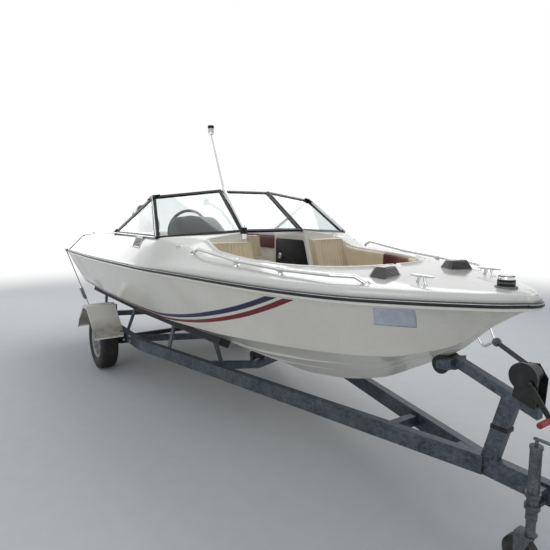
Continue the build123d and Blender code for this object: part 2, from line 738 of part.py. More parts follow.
# Deck fittings
FIT_SUNK = 10
RAIL_RADIUS = 11
RAIL_POST_RADIUS = 9
RAIL_BEND = 22
# The rail's route: points back from the stem, in from the half beam, and up
RAIL_LINE = [
    (1860, 235, 1322),
    (1790, 240, 1360),
    (1370, 296, 1311),
    (980, 370, 1289),
    (710, 450, 1285),
    (600, 520, 1284),
    (540, 545, 1250),
]
RAIL_ROUTE = [(HULL_LENGTH - back, HALF_BEAM - inward, z) for back, inward, z in RAIL_LINE]
RAIL_POST_X = (HULL_LENGTH - 1380, HULL_LENGTH - 1015)
with BuildPart() as bow_rails:
    for side in (1, -1):
        add(tube([place(x, side * y, z) for x, y, z in RAIL_ROUTE], RAIL_RADIUS, RAIL_BEND))
        for x in RAIL_POST_X:
            along = [p for p in RAIL_ROUTE if p[0] <= x][-1]
            after = RAIL_ROUTE[RAIL_ROUTE.index(along) + 1]
            t = (x - along[0]) / (after[0] - along[0])
            y = along[1] + (after[1] - along[1]) * t
            z = along[2] + (after[2] - along[2]) * t
            with BuildSketch(plan_plane(deck_z(x, y) - FIT_SUNK)):
                with Locations((x, side * y)):
                    Circle(RAIL_POST_RADIUS)
            extrude(amount=z - deck_z(x, y) + FIT_SUNK)
    add(deck.part, mode=Mode.SUBTRACT)

CLEAT_PLACES = [(HULL_LENGTH - 387, 285), (110, HALF_BEAM - 340)]
CLEAT_FOOT = (64, 26)
CLEAT_TALL = 32
HORN_UP = 38
HORN_HALF = 68
HORN_RADIUS = 8
with BuildPart() as cleats:
    for x, y in CLEAT_PLACES:
        for side in (1, -1):
            z = deck_z(x, y)
            with BuildSketch(plan_plane(z - FIT_SUNK)):
                with Locations((x, side * y)):
                    RectangleRounded(*CLEAT_FOOT, CLEAT_FOOT[1] / 3)
            extrude(amount=FIT_SUNK + CLEAT_TALL)
            with BuildSketch(cross_plane(x - HORN_HALF)):
                with Locations((side * y, z + HORN_UP)):
                    Circle(HORN_RADIUS)
            extrude(amount=2 * HORN_HALF)
    add(deck.part, mode=Mode.SUBTRACT)

VENT_X = HULL_LENGTH - 605
VENT_Y = 302
VENT_TURN = 13
VENT_FOOT = (104, 190)
VENT_HEAD = (62, 128)
VENT_ROUND = 18
VENT_TALL = 52
LOUVRE_X = 2500
LOUVRE_SIZE = (140, 78)
LOUVRE_ROUND = 8
LOUVRE_OUT = 6
with BuildPart() as deck_vents:
    for side in (1, -1):
        z = deck_z(VENT_X, VENT_Y)
        turned = Location((VENT_X, side * VENT_Y, 0), (0, 0, -side * VENT_TURN))
        with BuildSketch(plan_plane(z - FIT_SUNK)):
            with Locations(turned):
                RectangleRounded(*VENT_FOOT, VENT_ROUND)
        with BuildSketch(plan_plane(z + VENT_TALL)):
            with Locations(turned):
                RectangleRounded(*VENT_HEAD, VENT_ROUND)
        loft()
        d = between(DECK, LOUVRE_X)
        middle = Vector(*place(
            LOUVRE_X,
            side * (d.shoulder + d.top) / 2 * HALF_BEAM,
            (d.shoulder_z + d.top_z) / 2,
        ))
        slope = Vector(0, side * (d.top_z - d.shoulder_z), (d.shoulder - d.top) * HALF_BEAM)
        with BuildSketch(Plane(origin=middle, x_dir=(1, 0, 0), z_dir=slope).offset(-FIT_SUNK / 2)):
            RectangleRounded(*LOUVRE_SIZE, LOUVRE_ROUND)
        extrude(amount=FIT_SUNK / 2 + LOUVRE_OUT)
    add(deck.part, mode=Mode.SUBTRACT)

# Bow light: a round body with its narrower lens and cap on top
BOW_LIGHT_X = HULL_LENGTH - 126
LIGHT_BODY = (40, 42)
LIGHT_CAP = (36, 18)
with BuildPart() as bow_light:
    light_z = deck_z(BOW_LIGHT_X, 0)
    with BuildSketch(plan_plane(light_z - FIT_SUNK)):
        with Locations((BOW_LIGHT_X, 0)):
            Circle(LIGHT_BODY[0])
    extrude(amount=FIT_SUNK + LIGHT_BODY[1])
    with BuildSketch(plan_plane(light_z + LIGHT_BODY[1])):
        with Locations((BOW_LIGHT_X, 0)):
            Circle(LIGHT_CAP[0])
    extrude(amount=LIGHT_CAP[1])
    add(deck.part, mode=Mode.SUBTRACT)

# All-round light on its bent pole beside the starboard post of the windscreen
POLE_RADIUS = 12
POLE_BEND = 45
POLE_ROUTE = [(3062, -312, 1425), (3062, -312, 1478), (2722, -300, 1800), (2500, -290, 2262)]
POLE_SOCKET = (24, 62)
POLE_LAMP = (24, 75)
with BuildPart() as light_pole:
    add(tube([place(*p) for p in POLE_ROUTE], POLE_RADIUS, POLE_BEND))
    with BuildSketch(plan_plane(POLE_ROUTE[0][2] - POLE_RADIUS * 2)):
        with Locations(POLE_ROUTE[0][:2]):
            Circle(POLE_SOCKET[0])
    extrude(amount=POLE_SOCKET[1])
    with BuildSketch(plan_plane(POLE_ROUTE[-1][2] - POLE_RADIUS)):
        with Locations(POLE_ROUTE[-1][:2]):
            Circle(POLE_LAMP[0])
    extrude(amount=POLE_LAMP[1])
    add(deck.part, mode=Mode.SUBTRACT)

# Bow eye on the stem: a bent rod, its points from the stem at the eye's place
EYE_X = HULL_LENGTH - 230
EYE_ROD = 6
EYE_BEND = 20
EYE_ROUTE = [(-30, -10), (8, -62), (68, -18), (40, 40)]
eye_z = between(HULL, EYE_X).keel_z
with BuildPart() as bow_eye:
    add(tube([place(EYE_X + x, 0, eye_z + z) for x, z in EYE_ROUTE], EYE_ROD, EYE_BEND))
    add(hull.part, mode=Mode.SUBTRACT)

# Blank sale card on the starboard bow
CARD_AFT = HULL_LENGTH - 533
CARD_FORE = HULL_LENGTH - 387
CARD_LOW = 0.52
CARD_TOP = 0.84
CARD_THICK = 1.5


def side_point(x, share):
    """A point of the hull's side at x, at a share of the way from chine to sheer."""
    h = between(HULL, x)
    y = (h.chine + (h.sheer - h.chine) * share) * HALF_BEAM
    return (y, h.chine_z + (h.sheer_z - h.chine_z) * share)


with BuildPart() as bow_card:
    for x in (CARD_AFT, CARD_FORE):
        (low_y, low_z), (top_y, top_z) = side_point(x, CARD_LOW), side_point(x, CARD_TOP)
        with BuildSketch(cross_plane(x)):
            Polygon(
                (-low_y, low_z),
                (-top_y, top_z),
                (-top_y - CARD_THICK, top_z - CARD_THICK),
                (-low_y - CARD_THICK, low_z - CARD_THICK),
                align=None,
            )
    loft(ruled=True)

# Outboard motor: clamp bracket on the transom, tilt tube, swivel bracket
CLAMP_HALF = 112
CLAMP_PLATE = 18
SWIVEL_HALF = 62
TILT_TUBE = 17
KINGPIN = 17
# The clamp's outline: over the transom's top edge, down its inner face, and down its outer face
CLAMP_GAP = 3
CLAMP_JAW = (22, 42)
CLAMP_TOP_Z = 1052
CLAMP_OUTLINE = [
    (-72, CLAMP_TOP_Z),
    (TRANSOM_THICK + CLAMP_JAW[1], CLAMP_TOP_Z),
    (TRANSOM_THICK + CLAMP_JAW[1], WELL_FLOOR_Z + CLAMP_JAW[0]),
    (TRANSOM_THICK + CLAMP_JAW[0], WELL_FLOOR_Z + CLAMP_JAW[0]),
    (TRANSOM_THICK + CLAMP_JAW[0], TRANSOM_TOP_Z + CLAMP_GAP),
    (-CLAMP_GAP, TRANSOM_TOP_Z + CLAMP_GAP),
    (-CLAMP_GAP, TRANSOM_TOP_Z - 13),
    (32, TRANSOM_TOP_Z - 238),
    (-20, TRANSOM_TOP_Z - 238),
    (-82, TRANSOM_TOP_Z),
]
# Radius and length of a clamp screw's pad and its shank, and of the rod between the clamp's feet
SCREW_PAD = (20, 6)
SCREW_SHANK = (8, 75)
SCREW_DROP = 12
FOOT_ROD = (12, 8, TRANSOM_TOP_Z - 230)
with BuildPart() as clamp_bracket:
    for side in (1, -1):
        with BuildSketch(side_plane(side * CLAMP_HALF)):
            Polygon(*CLAMP_OUTLINE, align=None)
        extrude(amount=side * CLAMP_PLATE)
        for radius, long in (SCREW_PAD, SCREW_SHANK):
            with BuildSketch(cross_plane(TRANSOM_THICK + 1)):
                with Locations((side * (CLAMP_HALF - CLAMP_PLATE / 2), TRANSOM_TOP_Z - SCREW_DROP)):
                    Circle(radius)
            extrude(amount=long)
    with BuildSketch(side_plane(0)):
        with Locations((TILT_X, TILT_Z)):
            Circle(TILT_TUBE)
    extrude(amount=CLAMP_HALF + TILT_TUBE + CLAMP_GAP, both=True)
    with BuildSketch(side_plane(0)):
        with Locations(FOOT_ROD[1:]):
            Circle(FOOT_ROD[0])
    extrude(amount=CLAMP_HALF, both=True)
    add(hull.part, mode=Mode.SUBTRACT)

# Swivel bracket: a boss round the tilt tube and a web that carries the kingpin's barrel
SWIVEL_BOSS = 34
SWIVEL_LOW = -250
BARREL_RADIUS = 40
with BuildPart() as swivel_bracket:
    with BuildSketch(engine_side(0)):
        Circle(SWIVEL_BOSS)
        Polygon(
            (10, SWIVEL_BOSS - 2),
            (STEER_X, SWIVEL_BOSS),
            (STEER_X, SWIVEL_LOW),
            (STEER_X + SWIVEL_BOSS, SWIVEL_LOW),
            (-30, -20),
            align=None,
        )
    extrude(amount=SWIVEL_HALF, both=True)
    with BuildSketch(engine_plan(SWIVEL_LOW)):
        with Locations((STEER_X, 0)):
            Circle(BARREL_RADIUS)
    extrude(amount=SWIVEL_BOSS - SWIVEL_LOW)
    with BuildSketch(engine_side(0)):
        Circle(TILT_TUBE + PIN_CLEAR)
    extrude(amount=SWIVEL_HALF + CUT_LAP, both=True, mode=Mode.SUBTRACT)
    with BuildSketch(engine_plan(SWIVEL_LOW - CUT_LAP)):
        with Locations((STEER_X, 0)):
            Circle(KINGPIN + PIN_CLEAR)
    extrude(amount=SWIVEL_BOSS - SWIVEL_LOW + 2 * CUT_LAP, mode=Mode.SUBTRACT)

# Leg of the motor: kingpin, yokes, midsection, plate, gearcase and skeg
YOKE_TOP = 40
YOKE_LOW = SWIVEL_LOW - 6
YOKE_FORE = STEER_X + 35
YOKE_AFT = -295
YOKE_WIDE = 76
YOKE_THICK = (28, 34)
# Sections of the leg: height, middle, half length and half width of each ellipse
LegSection = namedtuple("LegSection", "z x long wide")
LEG_TOP_SECTION = LegSection(PAN_Z - 1, -262, 100, 62)
LEG_WAIST = LegSection(PLATE_Z + 40, -265, 82, 34)
LEG_FOOT = LegSection(SHAFT_Z + 30, -270, 95, 26)
PLATE_X = -345
PLATE_LONG = 330
PLATE_WIDE = 190
PLATE_THICK = 8
GEARCASE = [(-130, 0), (-155, 30), (-230, 48), (-380, 42), (-400, 36), (-400, 0)]
SKEG = [(-200, SHAFT_Z - 20), (-395, SHAFT_Z - 20), (-400, SHAFT_Z - 100), (SKEG_AFT, SKEG_Z),
        (-350, SKEG_Z + 25)]
SKEG_THICK = 10
PROP_SHAFT = 9
PROP_SHAFT_LONG = 115
with BuildPart() as engine_leg:
    pin_low = YOKE_LOW - YOKE_THICK[1] + 4
    with BuildSketch(engine_plan(pin_low)):
        with Locations((STEER_X, 0)):
            Circle(KINGPIN)
    extrude(amount=YOKE_TOP + YOKE_THICK[0] - pin_low)
    for z, up in ((YOKE_TOP, YOKE_THICK[0]), (YOKE_LOW, -YOKE_THICK[1])):
        with BuildSketch(engine_plan(z)):
            with Locations(((YOKE_FORE + YOKE_AFT) / 2, 0)):
                Rectangle(YOKE_FORE - YOKE_AFT, YOKE_WIDE)
        extrude(amount=up)
    for sections in ((LEG_TOP_SECTION, LEG_WAIST), (LEG_WAIST, LEG_FOOT)):
        for s in sections:
            with BuildSketch(engine_plan(s.z)):
                with Locations((s.x, 0)):
                    Ellipse(s.long, s.wide)
        loft()
    with BuildSketch(engine_plan(PLATE_Z)):
        with Locations((PLATE_X, 0)):
            SlotOverall(PLATE_LONG, PLATE_WIDE)
    extrude(amount=PLATE_THICK)
    with BuildSketch(engine_side(0)):
        Polygon(*[(x, SHAFT_Z + radius) for x, radius in GEARCASE], align=None)
    revolve(axis=Axis(engine_point(0, 0, SHAFT_Z), ENGINE_FORE))
    with BuildSketch(engine_side(0)):
        Polygon(*SKEG, align=None)
    extrude(amount=SKEG_THICK / 2, both=True)
    gearcase_end = GEARCASE[-1][0]
    with BuildSketch(engine_cross(gearcase_end + 1)):
        with Locations((0, SHAFT_Z)):
            Circle(PROP_SHAFT)
    extrude(amount=-PROP_SHAFT_LONG)

# Propeller: a tapered hub, and blades in sections of reach, turn, chord and thickness
HUB_GAP = 5
HUB_LONG = 100
HUB_RADII = (38, 33)
BladeSection = namedtuple("BladeSection", "reach turn chord thick")
BLADE = [BladeSection(20, 50, 84, 8), BladeSection(95, 66, 118, 5), BladeSection(PROP_RADIUS, 74, 50, 3)]
with BuildPart() as propeller:
    hub_x = gearcase_end - HUB_GAP
    for x, radius in ((hub_x, HUB_RADII[0]), (hub_x - HUB_LONG, HUB_RADII[1])):
        with BuildSketch(engine_cross(x)):
            with Locations((0, SHAFT_Z)):
                Circle(radius)
    loft()
    for blade in range(3):
        turn = 90 + 120 * blade
        axis_point = engine_point(PROP_X, 0, SHAFT_Z)
        out = Vector(0, math.cos(math.radians(turn)), 0) + ENGINE_UP * math.sin(math.radians(turn))
        for s in BLADE:
            with BuildSketch(Plane(origin=axis_point + out * s.reach, x_dir=ENGINE_FORE, z_dir=out)):
                with Locations(Location((0, 0, 0), (0, 0, s.turn))):
                    Rectangle(s.chord, s.thick)
        loft()
    with BuildSketch(engine_cross(gearcase_end)):
        with Locations((0, SHAFT_Z)):
            Circle(PROP_SHAFT + PIN_CLEAR)
    extrude(amount=-HUB_LONG - HUB_GAP - CUT_LAP, mode=Mode.SUBTRACT)

# Motor covers and the heavy block inside them: height, fore end, aft end and half width of each section
COWL_CORNER = 70
CoverSection = namedtuple("CoverSection", "z fore aft half")
PAN = [
    CoverSection(PAN_Z, COWL_FORE - 25, COWL_AFT + 40, COWL_HALF - 25),
    CoverSection(COWL_Z - 1, COWL_FORE, COWL_AFT, COWL_HALF),
]
COWL = [
    CoverSection(COWL_Z, COWL_FORE, COWL_AFT, COWL_HALF),
    CoverSection(COWL_TOP - 90, COWL_FORE - 8, COWL_AFT - 14, COWL_HALF - 8),
    CoverSection(COWL_TOP, COWL_FORE - 70, COWL_AFT + 25, COWL_HALF - 48),
]
COWL_INSIDE = [
    CoverSection(COWL_Z - 1, COWL_FORE - 40, COWL_AFT + 40, COWL_HALF - 25),
    CoverSection(COWL_TOP - 60, COWL_FORE - 95, COWL_AFT + 55, COWL_HALF - 50),
]


def cover_outline(s, corner):
    """Rounded outline of a cover's section, on its own plane."""
    with BuildSketch(engine_plan(s.z)) as outline:
        with Locations(((s.fore + s.aft) / 2, 0)):
            RectangleRounded(s.fore - s.aft, 2 * s.half, corner)
    return outline.sketch


with BuildPart() as engine_pan:
    loft([cover_outline(s, COWL_CORNER) for s in PAN])

with BuildPart() as engine_cowl:
    loft([cover_outline(s, COWL_CORNER) for s in COWL], ruled=True)
    loft([cover_outline(s, COWL_CORNER - 10) for s in COWL_INSIDE], mode=Mode.SUBTRACT)

BLOCK_X = -270
BLOCK_LONG = 240
BLOCK_WIDE = 170
BLOCK_TALL = 240
with BuildPart() as engine_block:
    with BuildSketch(engine_plan(COWL_Z)):
        with Locations((BLOCK_X, 0)):
            RectangleRounded(BLOCK_LONG, BLOCK_WIDE, BLOCK_WIDE / 4)
    extrude(amount=BLOCK_TALL)


def rail_y(x):
    return RAIL_Y if x <= BEND_X else RAIL_Y * (APEX_X - x) / (APEX_X - BEND_X)


def rail_z(x):
    """Middle height of the rail's section at x."""
    fall = max(x - BEND_X, 0) / (APEX_X - BEND_X) * (RAIL_TOP - DRAWBAR_TOP)
    return RAIL_TOP - fall - RAIL_TALL / 2


def keel_roller_z(x):
    """Middle height of the roller that carries the keel at x."""
    return bottom_z(x, 0) - ROLLER_RADIUS - SOFT_GAP


# Trailer frame: two rails that close to a drawbar, with V-shaped cross members under the keel
ROLLER_RADIUS = 34
ROLLER_PIN = 8
ROLLER_CHEEK = 57
CHEEK_SIZE = (36, 76)
CHEEK_DROP = 26
CHEEK_THICK = 5
CROSS_X = (240, 1640, 2750)
CROSS_TALL = 60
CROSS_LONG = 50
KEEL_GAP = 92
BRACE_X = APEX_X - 530
APEX_HALF = 10
DRAWBAR_LAP = 150
with BuildPart() as trailer_frame:
    for side in (1, -1):
        bend = place(BEND_X, side * RAIL_Y, rail_z(BEND_X))
        add(beam(place(RAIL_AFT, side * RAIL_Y, rail_z(0)), bend, RAIL_WIDE, RAIL_TALL))
        add(beam(bend, place(APEX_X, side * APEX_HALF, rail_z(APEX_X)), RAIL_WIDE, RAIL_TALL))
        for x in CROSS_X:
            middle_z = bottom_z(x, 0) - KEEL_GAP - CROSS_TALL / 2
            outer = place(x, side * rail_y(x), rail_z(x))
            add(beam(outer, place(x, -side * 4, middle_z), CROSS_LONG, CROSS_TALL))
        brace = place(BRACE_X, side * rail_y(BRACE_X), rail_z(BRACE_X))
        add(beam(brace, place(BRACE_X, -side, rail_z(BRACE_X)), CROSS_LONG, CROSS_TALL))
    for x in CROSS_X:
        for side in (1, -1):
            with BuildSketch(side_plane(side * ROLLER_CHEEK)):
                with Locations((x, keel_roller_z(x) - CHEEK_DROP)):
                    Rectangle(*CHEEK_SIZE)
            extrude(amount=-side * CHEEK_THICK)
        with BuildSketch(side_plane(0)):
            with Locations((x, keel_roller_z(x))):
                Circle(ROLLER_PIN)
        extrude(amount=ROLLER_CHEEK + CHEEK_THICK, both=True)
    drawbar_aft = place(APEX_X - DRAWBAR_LAP, 0, rail_z(APEX_X))
    add(beam(drawbar_aft, place(DRAWBAR_END, 0, rail_z(APEX_X)), RAIL_WIDE, RAIL_TALL))

# Coupling that closes over a 50 mm tow ball
NOSE_RADIUS = 38
NECK_WIDE = 56
SOCKET_DEEP = 14
SOCKET_CROWN = 40
SOCKET_Z = rail_z(APEX_X) - 8
NECK_HALF = 30
NECK_BACK = 90
NECK_PLATE = 8
# The lever on the coupling: points from the socket's middle
LEVER = [(-60, 38), (-30, 38), (-40, 80), (-140, 96), (-146, 84), (-60, 68)]
COUPLER_LEVER_HALF = 11
nose_x = FRONT_X - NOSE_RADIUS
with BuildPart() as coupler:
    with BuildSketch(plan_plane(SOCKET_Z - SOCKET_DEEP)):
        with Locations((nose_x, 0)):
            Circle(NOSE_RADIUS)
        with Locations(((nose_x + DRAWBAR_END) / 2, 0)):
            Rectangle(nose_x - DRAWBAR_END, NECK_WIDE)
    extrude(amount=SOCKET_DEEP + SOCKET_CROWN)
    with BuildSketch(side_plane(0)):
        top = rail_z(APEX_X) + RAIL_TALL / 2
        Polygon(
            (DRAWBAR_END - NECK_BACK, top),
            (DRAWBAR_END - NECK_BACK, top + NECK_PLATE),
            (DRAWBAR_END + 20, top + NECK_PLATE),
            (nose_x - 20, SOCKET_Z + SOCKET_CROWN),
            (nose_x - 20, SOCKET_Z),
            (DRAWBAR_END, SOCKET_Z),
            (DRAWBAR_END, top),
            align=None,
        )
    extrude(amount=NECK_HALF, both=True)
    with BuildSketch(side_plane(0)):
        Polygon(*[(nose_x + x, SOCKET_Z + z) for x, z in LEVER], align=None)
    extrude(amount=COUPLER_LEVER_HALF, both=True)
    with BuildSketch(plan_plane(SOCKET_Z - SOCKET_DEEP)):
        with Locations((nose_x, 0)):
            Circle(BALL_RADIUS)
    extrude(amount=SOCKET_DEEP, mode=Mode.SUBTRACT)
    with Locations(place(nose_x, 0, SOCKET_Z)):
        Sphere(BALL_RADIUS, mode=Mode.SUBTRACT)

# Axle beam over its slipper springs, with spindles for the wheels
SPRING_THICK = 14
SPRING_HALF = 295
SPRING_WIDE = 44
SPRING_RISE = 2
HANGER_IN = 12
HANGER = (34, 30)
SPRING_PAD = (120, 16)
U_BOLT = (11, 66)
AXLE_END = 30
with BuildPart() as axle:
    with BuildSketch(side_plane(0)):
        with Locations((WHEEL_X, TYRE_RADIUS)):
            Rectangle(AXLE_SIZE, AXLE_SIZE)
    extrude(amount=WHEEL_Y - TYRE_WIDE / 2 - AXLE_END, both=True)
    with BuildSketch(side_plane(0)):
        with Locations((WHEEL_X, TYRE_RADIUS)):
            Circle(SPINDLE_RADIUS)
    extrude(amount=WHEEL_Y + AXLE_SIZE, both=True)
    rail_low = RAIL_TOP - RAIL_TALL
    under = TYRE_RADIUS - AXLE_SIZE / 2
    for side in (1, -1):
        with BuildSketch(side_plane(side * RAIL_Y)):
            with BuildLine():
                ThreePointArc(
                    (WHEEL_X - SPRING_HALF, rail_low - SPRING_THICK),
                    (WHEEL_X, under - SPRING_THICK / 2 + SPRING_RISE),
                    (WHEEL_X + SPRING_HALF, rail_low - SPRING_THICK),
                )
            trace(line_width=SPRING_THICK)
            for end in (-1, 1):
                with Locations((WHEEL_X + end * (SPRING_HALF - HANGER_IN), rail_low - HANGER[1] / 2)):
                    Rectangle(*HANGER)
            with Locations((WHEEL_X, under - SPRING_THICK - 2 * SPRING_RISE)):
                Rectangle(*SPRING_PAD)
            for end in (-1, 1):
                with Locations((WHEEL_X + end * (AXLE_SIZE + U_BOLT[0] + 1) / 2, under)):
                    Rectangle(*U_BOLT)
        extrude(amount=SPRING_WIDE / 2, both=True)
    with BuildSketch(plan_plane(rail_low)):
        with Locations((WHEEL_X, 0)):
            Rectangle(3 * SPRING_HALF, 2 * (WHEEL_Y + TYRE_WIDE))
    extrude(amount=CUT_CLEAR, mode=Mode.SUBTRACT)

# Wheels and tyres, one pair of nodes a side. A profile's point is (outwards from the middle, radius)
WHEEL_PROFILE = [
    (-58, SPINDLE_RADIUS + PIN_CLEAR),
    (-58, 42),
    (12, 42),
    (12, 60),
    (22, 100),
    (10, 140),
    (10, 150),
    (-66, 150),
    (-72, RIM_RADIUS + 6),
    (-66, RIM_RADIUS + 6),
    (-62, 156),
    (62, 156),
    (66, RIM_RADIUS + 6),
    (72, RIM_RADIUS + 6),
    (66, 150),
    (18, 150),
    (18, 143),
    (30, 100),
    (20, 56),
    (44, 36),
    (44, SPINDLE_RADIUS + PIN_CLEAR),
]
TYRE_PROFILE = [
    (-61.5, 156.3),
    (-61.5, 173),
    (-76, 186),
    (-TYRE_WIDE / 2, 218),
    (-84, 252),
    (-70, 280),
    (-55, TYRE_RADIUS),
]
wheels = {}
tyres = {}
for name, side in (("port", 1), ("starboard", -1)):
    axis = Axis(place(WHEEL_X, 0, TYRE_RADIUS), (0, 1, 0))
    with BuildPart() as wheels[name]:
        with BuildSketch(cross_plane(WHEEL_X)):
            Polygon(*[(side * (WHEEL_Y + y), TYRE_RADIUS + r) for y, r in WHEEL_PROFILE], align=None)
        revolve(axis=axis)
    with BuildPart() as tyres[name]:
        with BuildSketch(cross_plane(WHEEL_X)):
            ring = TYRE_PROFILE + [(-y, r) for y, r in reversed(TYRE_PROFILE)]
            Polygon(*[(side * WHEEL_Y + y, TYRE_RADIUS + r) for y, r in ring], align=None)
        revolve(axis=axis)

# Mudguards bent from plate, with a turned-down outer edge, and their brackets on the rails
FENDER_TOP = 2 * TYRE_RADIUS + 91
FENDER_PROFILE = [
    (WHEEL_X - TYRE_RADIUS - 67, TYRE_RADIUS + 113),
    (WHEEL_X - TYRE_RADIUS - 7, TYRE_RADIUS + 203),
    (WHEEL_X - 75, FENDER_TOP),
    (WHEEL_X + 75, FENDER_TOP),
    (WHEEL_X + TYRE_RADIUS + 3, TYRE_RADIUS + 203),
    (WHEEL_X + TYRE_RADIUS + 63, TYRE_RADIUS + 113),
]
FENDER_LIP = 28
BRACKET_X = 50
BRACKET_WIDE = 36
BRACKET_THICK = 6
BRACKET_REACH = 62
BRACKET_LOW = 30
STAY_X = TYRE_RADIUS + 35
STAY_Z = TYRE_RADIUS + 138
STAY_SIZE = (26, 34)
STAY_LAP = 30
with BuildPart() as fenders:
    for side in (1, -1):
        with BuildSketch(side_plane(side * FENDER_IN)):
            with BuildLine():
                Polyline(*FENDER_PROFILE)
            trace(line_width=FENDER_THICK)
        extrude(amount=-side * (FENDER_OUT - FENDER_IN))
        with BuildSketch(side_plane(side * FENDER_OUT)):
            lip = [(x, z - FENDER_LIP) for x, z in reversed(FENDER_PROFILE)]
            Polygon(*FENDER_PROFILE, *lip, align=None)
        extrude(amount=side * FENDER_THICK)

with BuildPart() as fender_brackets:
    outer = RAIL_Y + RAIL_WIDE / 2
    under = FENDER_TOP - FENDER_THICK / 2
    for side in (1, -1):
        for x in (WHEEL_X - BRACKET_X, WHEEL_X + BRACKET_X):
            with BuildSketch(cross_plane(x - BRACKET_WIDE / 2)):
                Polygon(
                    (side * outer, rail_z(0) - BRACKET_LOW),
                    (side * (outer + BRACKET_THICK), rail_z(0) - BRACKET_LOW),
                    (side * (outer + BRACKET_THICK), under - BRACKET_THICK),
                    (side * (outer + BRACKET_REACH), under - BRACKET_THICK),
                    (side * (outer + BRACKET_REACH), under),
                    (side * outer, under),
                    align=None,
                )
            extrude(amount=BRACKET_WIDE)
        for end in (-1, 1):
            with BuildSketch(side_plane(side * outer)):
                with Locations((WHEEL_X + end * STAY_X, STAY_Z)):
                    Rectangle(*STAY_SIZE)
            extrude(amount=-side * (FENDER_IN + STAY_LAP - outer))
    add(fenders.part, mode=Mode.SUBTRACT)

# Carpeted bunks under the hull, on posts from the rails
BUNK_AFT = 300
BUNK_FORE = 3120
BUNK_WIDE = 92
BUNK_TALL = 58
BUNK_AFT_Y = HALF_BEAM - 325
BUNK_FORE_Y = HALF_BEAM - 535
BUNK_POST_X = (560, 1420, 2280, 2950)
BUNK_LAP = 16
POST_LONG = 50
POST_THICK = 14
POST_HEAD = 22
POST_FOOT_Z = 35
POST_KNEE_Z = 50
POST_DROP = 30


def bunk_y(x):
    return BUNK_AFT_Y + (BUNK_FORE_Y - BUNK_AFT_Y) * (x - BUNK_AFT) / (BUNK_FORE - BUNK_AFT)


def bunk_section(x, side, wide, top, low):
    """Corners of a bunk's section at x, square to the hull's bottom there."""
    y = bunk_y(x)
    rise = math.atan2(bottom_z(x, y) - bottom_z(x, 0), y)
    out = (math.cos(rise), math.sin(rise))
    up = (-math.sin(rise), math.cos(rise))
    corners = []
    for a, b in ((-wide / 2, low), (wide / 2, low), (wide / 2, top), (-wide / 2, top)):
        corner_y = y + out[0] * a + up[0] * b
        corner_z = bottom_z(x, y) + out[1] * a + up[1] * b
        corners.append((side * corner_y, corner_z))
    return corners


with BuildPart() as bunks:
    for side in (1, -1):
        for x in (BUNK_AFT, (BUNK_AFT + BUNK_FORE) / 2, BUNK_FORE):
            with BuildSketch(cross_plane(x)):
                Polygon(*bunk_section(x, side, BUNK_WIDE, BUNK_LAP, -BUNK_TALL), align=None)
        loft(ruled=True)
    add(hull_form.part, mode=Mode.SUBTRACT)

with BuildPart() as bunk_posts:
    for side in (1, -1):
        for x in BUNK_POST_X:
            post_out = rail_y(x) - RAIL_WIDE / 2
            head_z = bottom_z(x, bunk_y(x)) - POST_DROP
            with BuildSketch(cross_plane(x - POST_LONG / 2)):
                Polygon(
                    (side * (post_out - POST_THICK), rail_z(x) - POST_FOOT_Z),
                    (side * post_out, rail_z(x) - POST_FOOT_Z),
                    (side * post_out, rail_z(x) + POST_KNEE_Z),
                    (side * (bunk_y(x) + POST_HEAD / 2), head_z),
                    (side * (bunk_y(x) - POST_HEAD / 2), head_z),
                    (side * (post_out - POST_THICK), rail_z(x) + POST_KNEE_Z),
                    align=None,
                )
            extrude(amount=POST_LONG)
    add(bunks.part, mode=Mode.SUBTRACT)
    add(trailer_frame.part, mode=Mode.SUBTRACT)

# Winch post with its bow arm, roller and winch
POST_TOP_X = HULL_LENGTH - 60
ARM_AFT = (HULL_LENGTH - 368, 826)
ARM_FORE = (HULL_LENGTH + 70, 690)
ARM_HALF = 25
ARM_TALL = 52
POST_HALF_LONG = 40
POST_LEAN = 88
CHANNEL = (10, 56, 70)
BOW_CHEEK = [(-17, 778), (65, 787), (65, 843), (5, 830), (-17, 820)]
BOW_CHEEK_Y = 65
BOW_ROLLER = (HULL_LENGTH - 425, 800)
BOW_ROLLER_ENDS = (62, 50)
BOW_ROLLER_FLAT = 50
WINCH_X = HULL_LENGTH + 12
WINCH_Z = 862
WINCH_HALF = 42
DRUM_RADIUS = 44
CRANK_X = WINCH_X + 36
CRANK_Z = 838
arm_slope = (ARM_FORE[1] - ARM_AFT[1]) / (ARM_FORE[0] - ARM_AFT[0])


def arm_z(x):
    return ARM_AFT[1] + (x - ARM_AFT[0]) * arm_slope


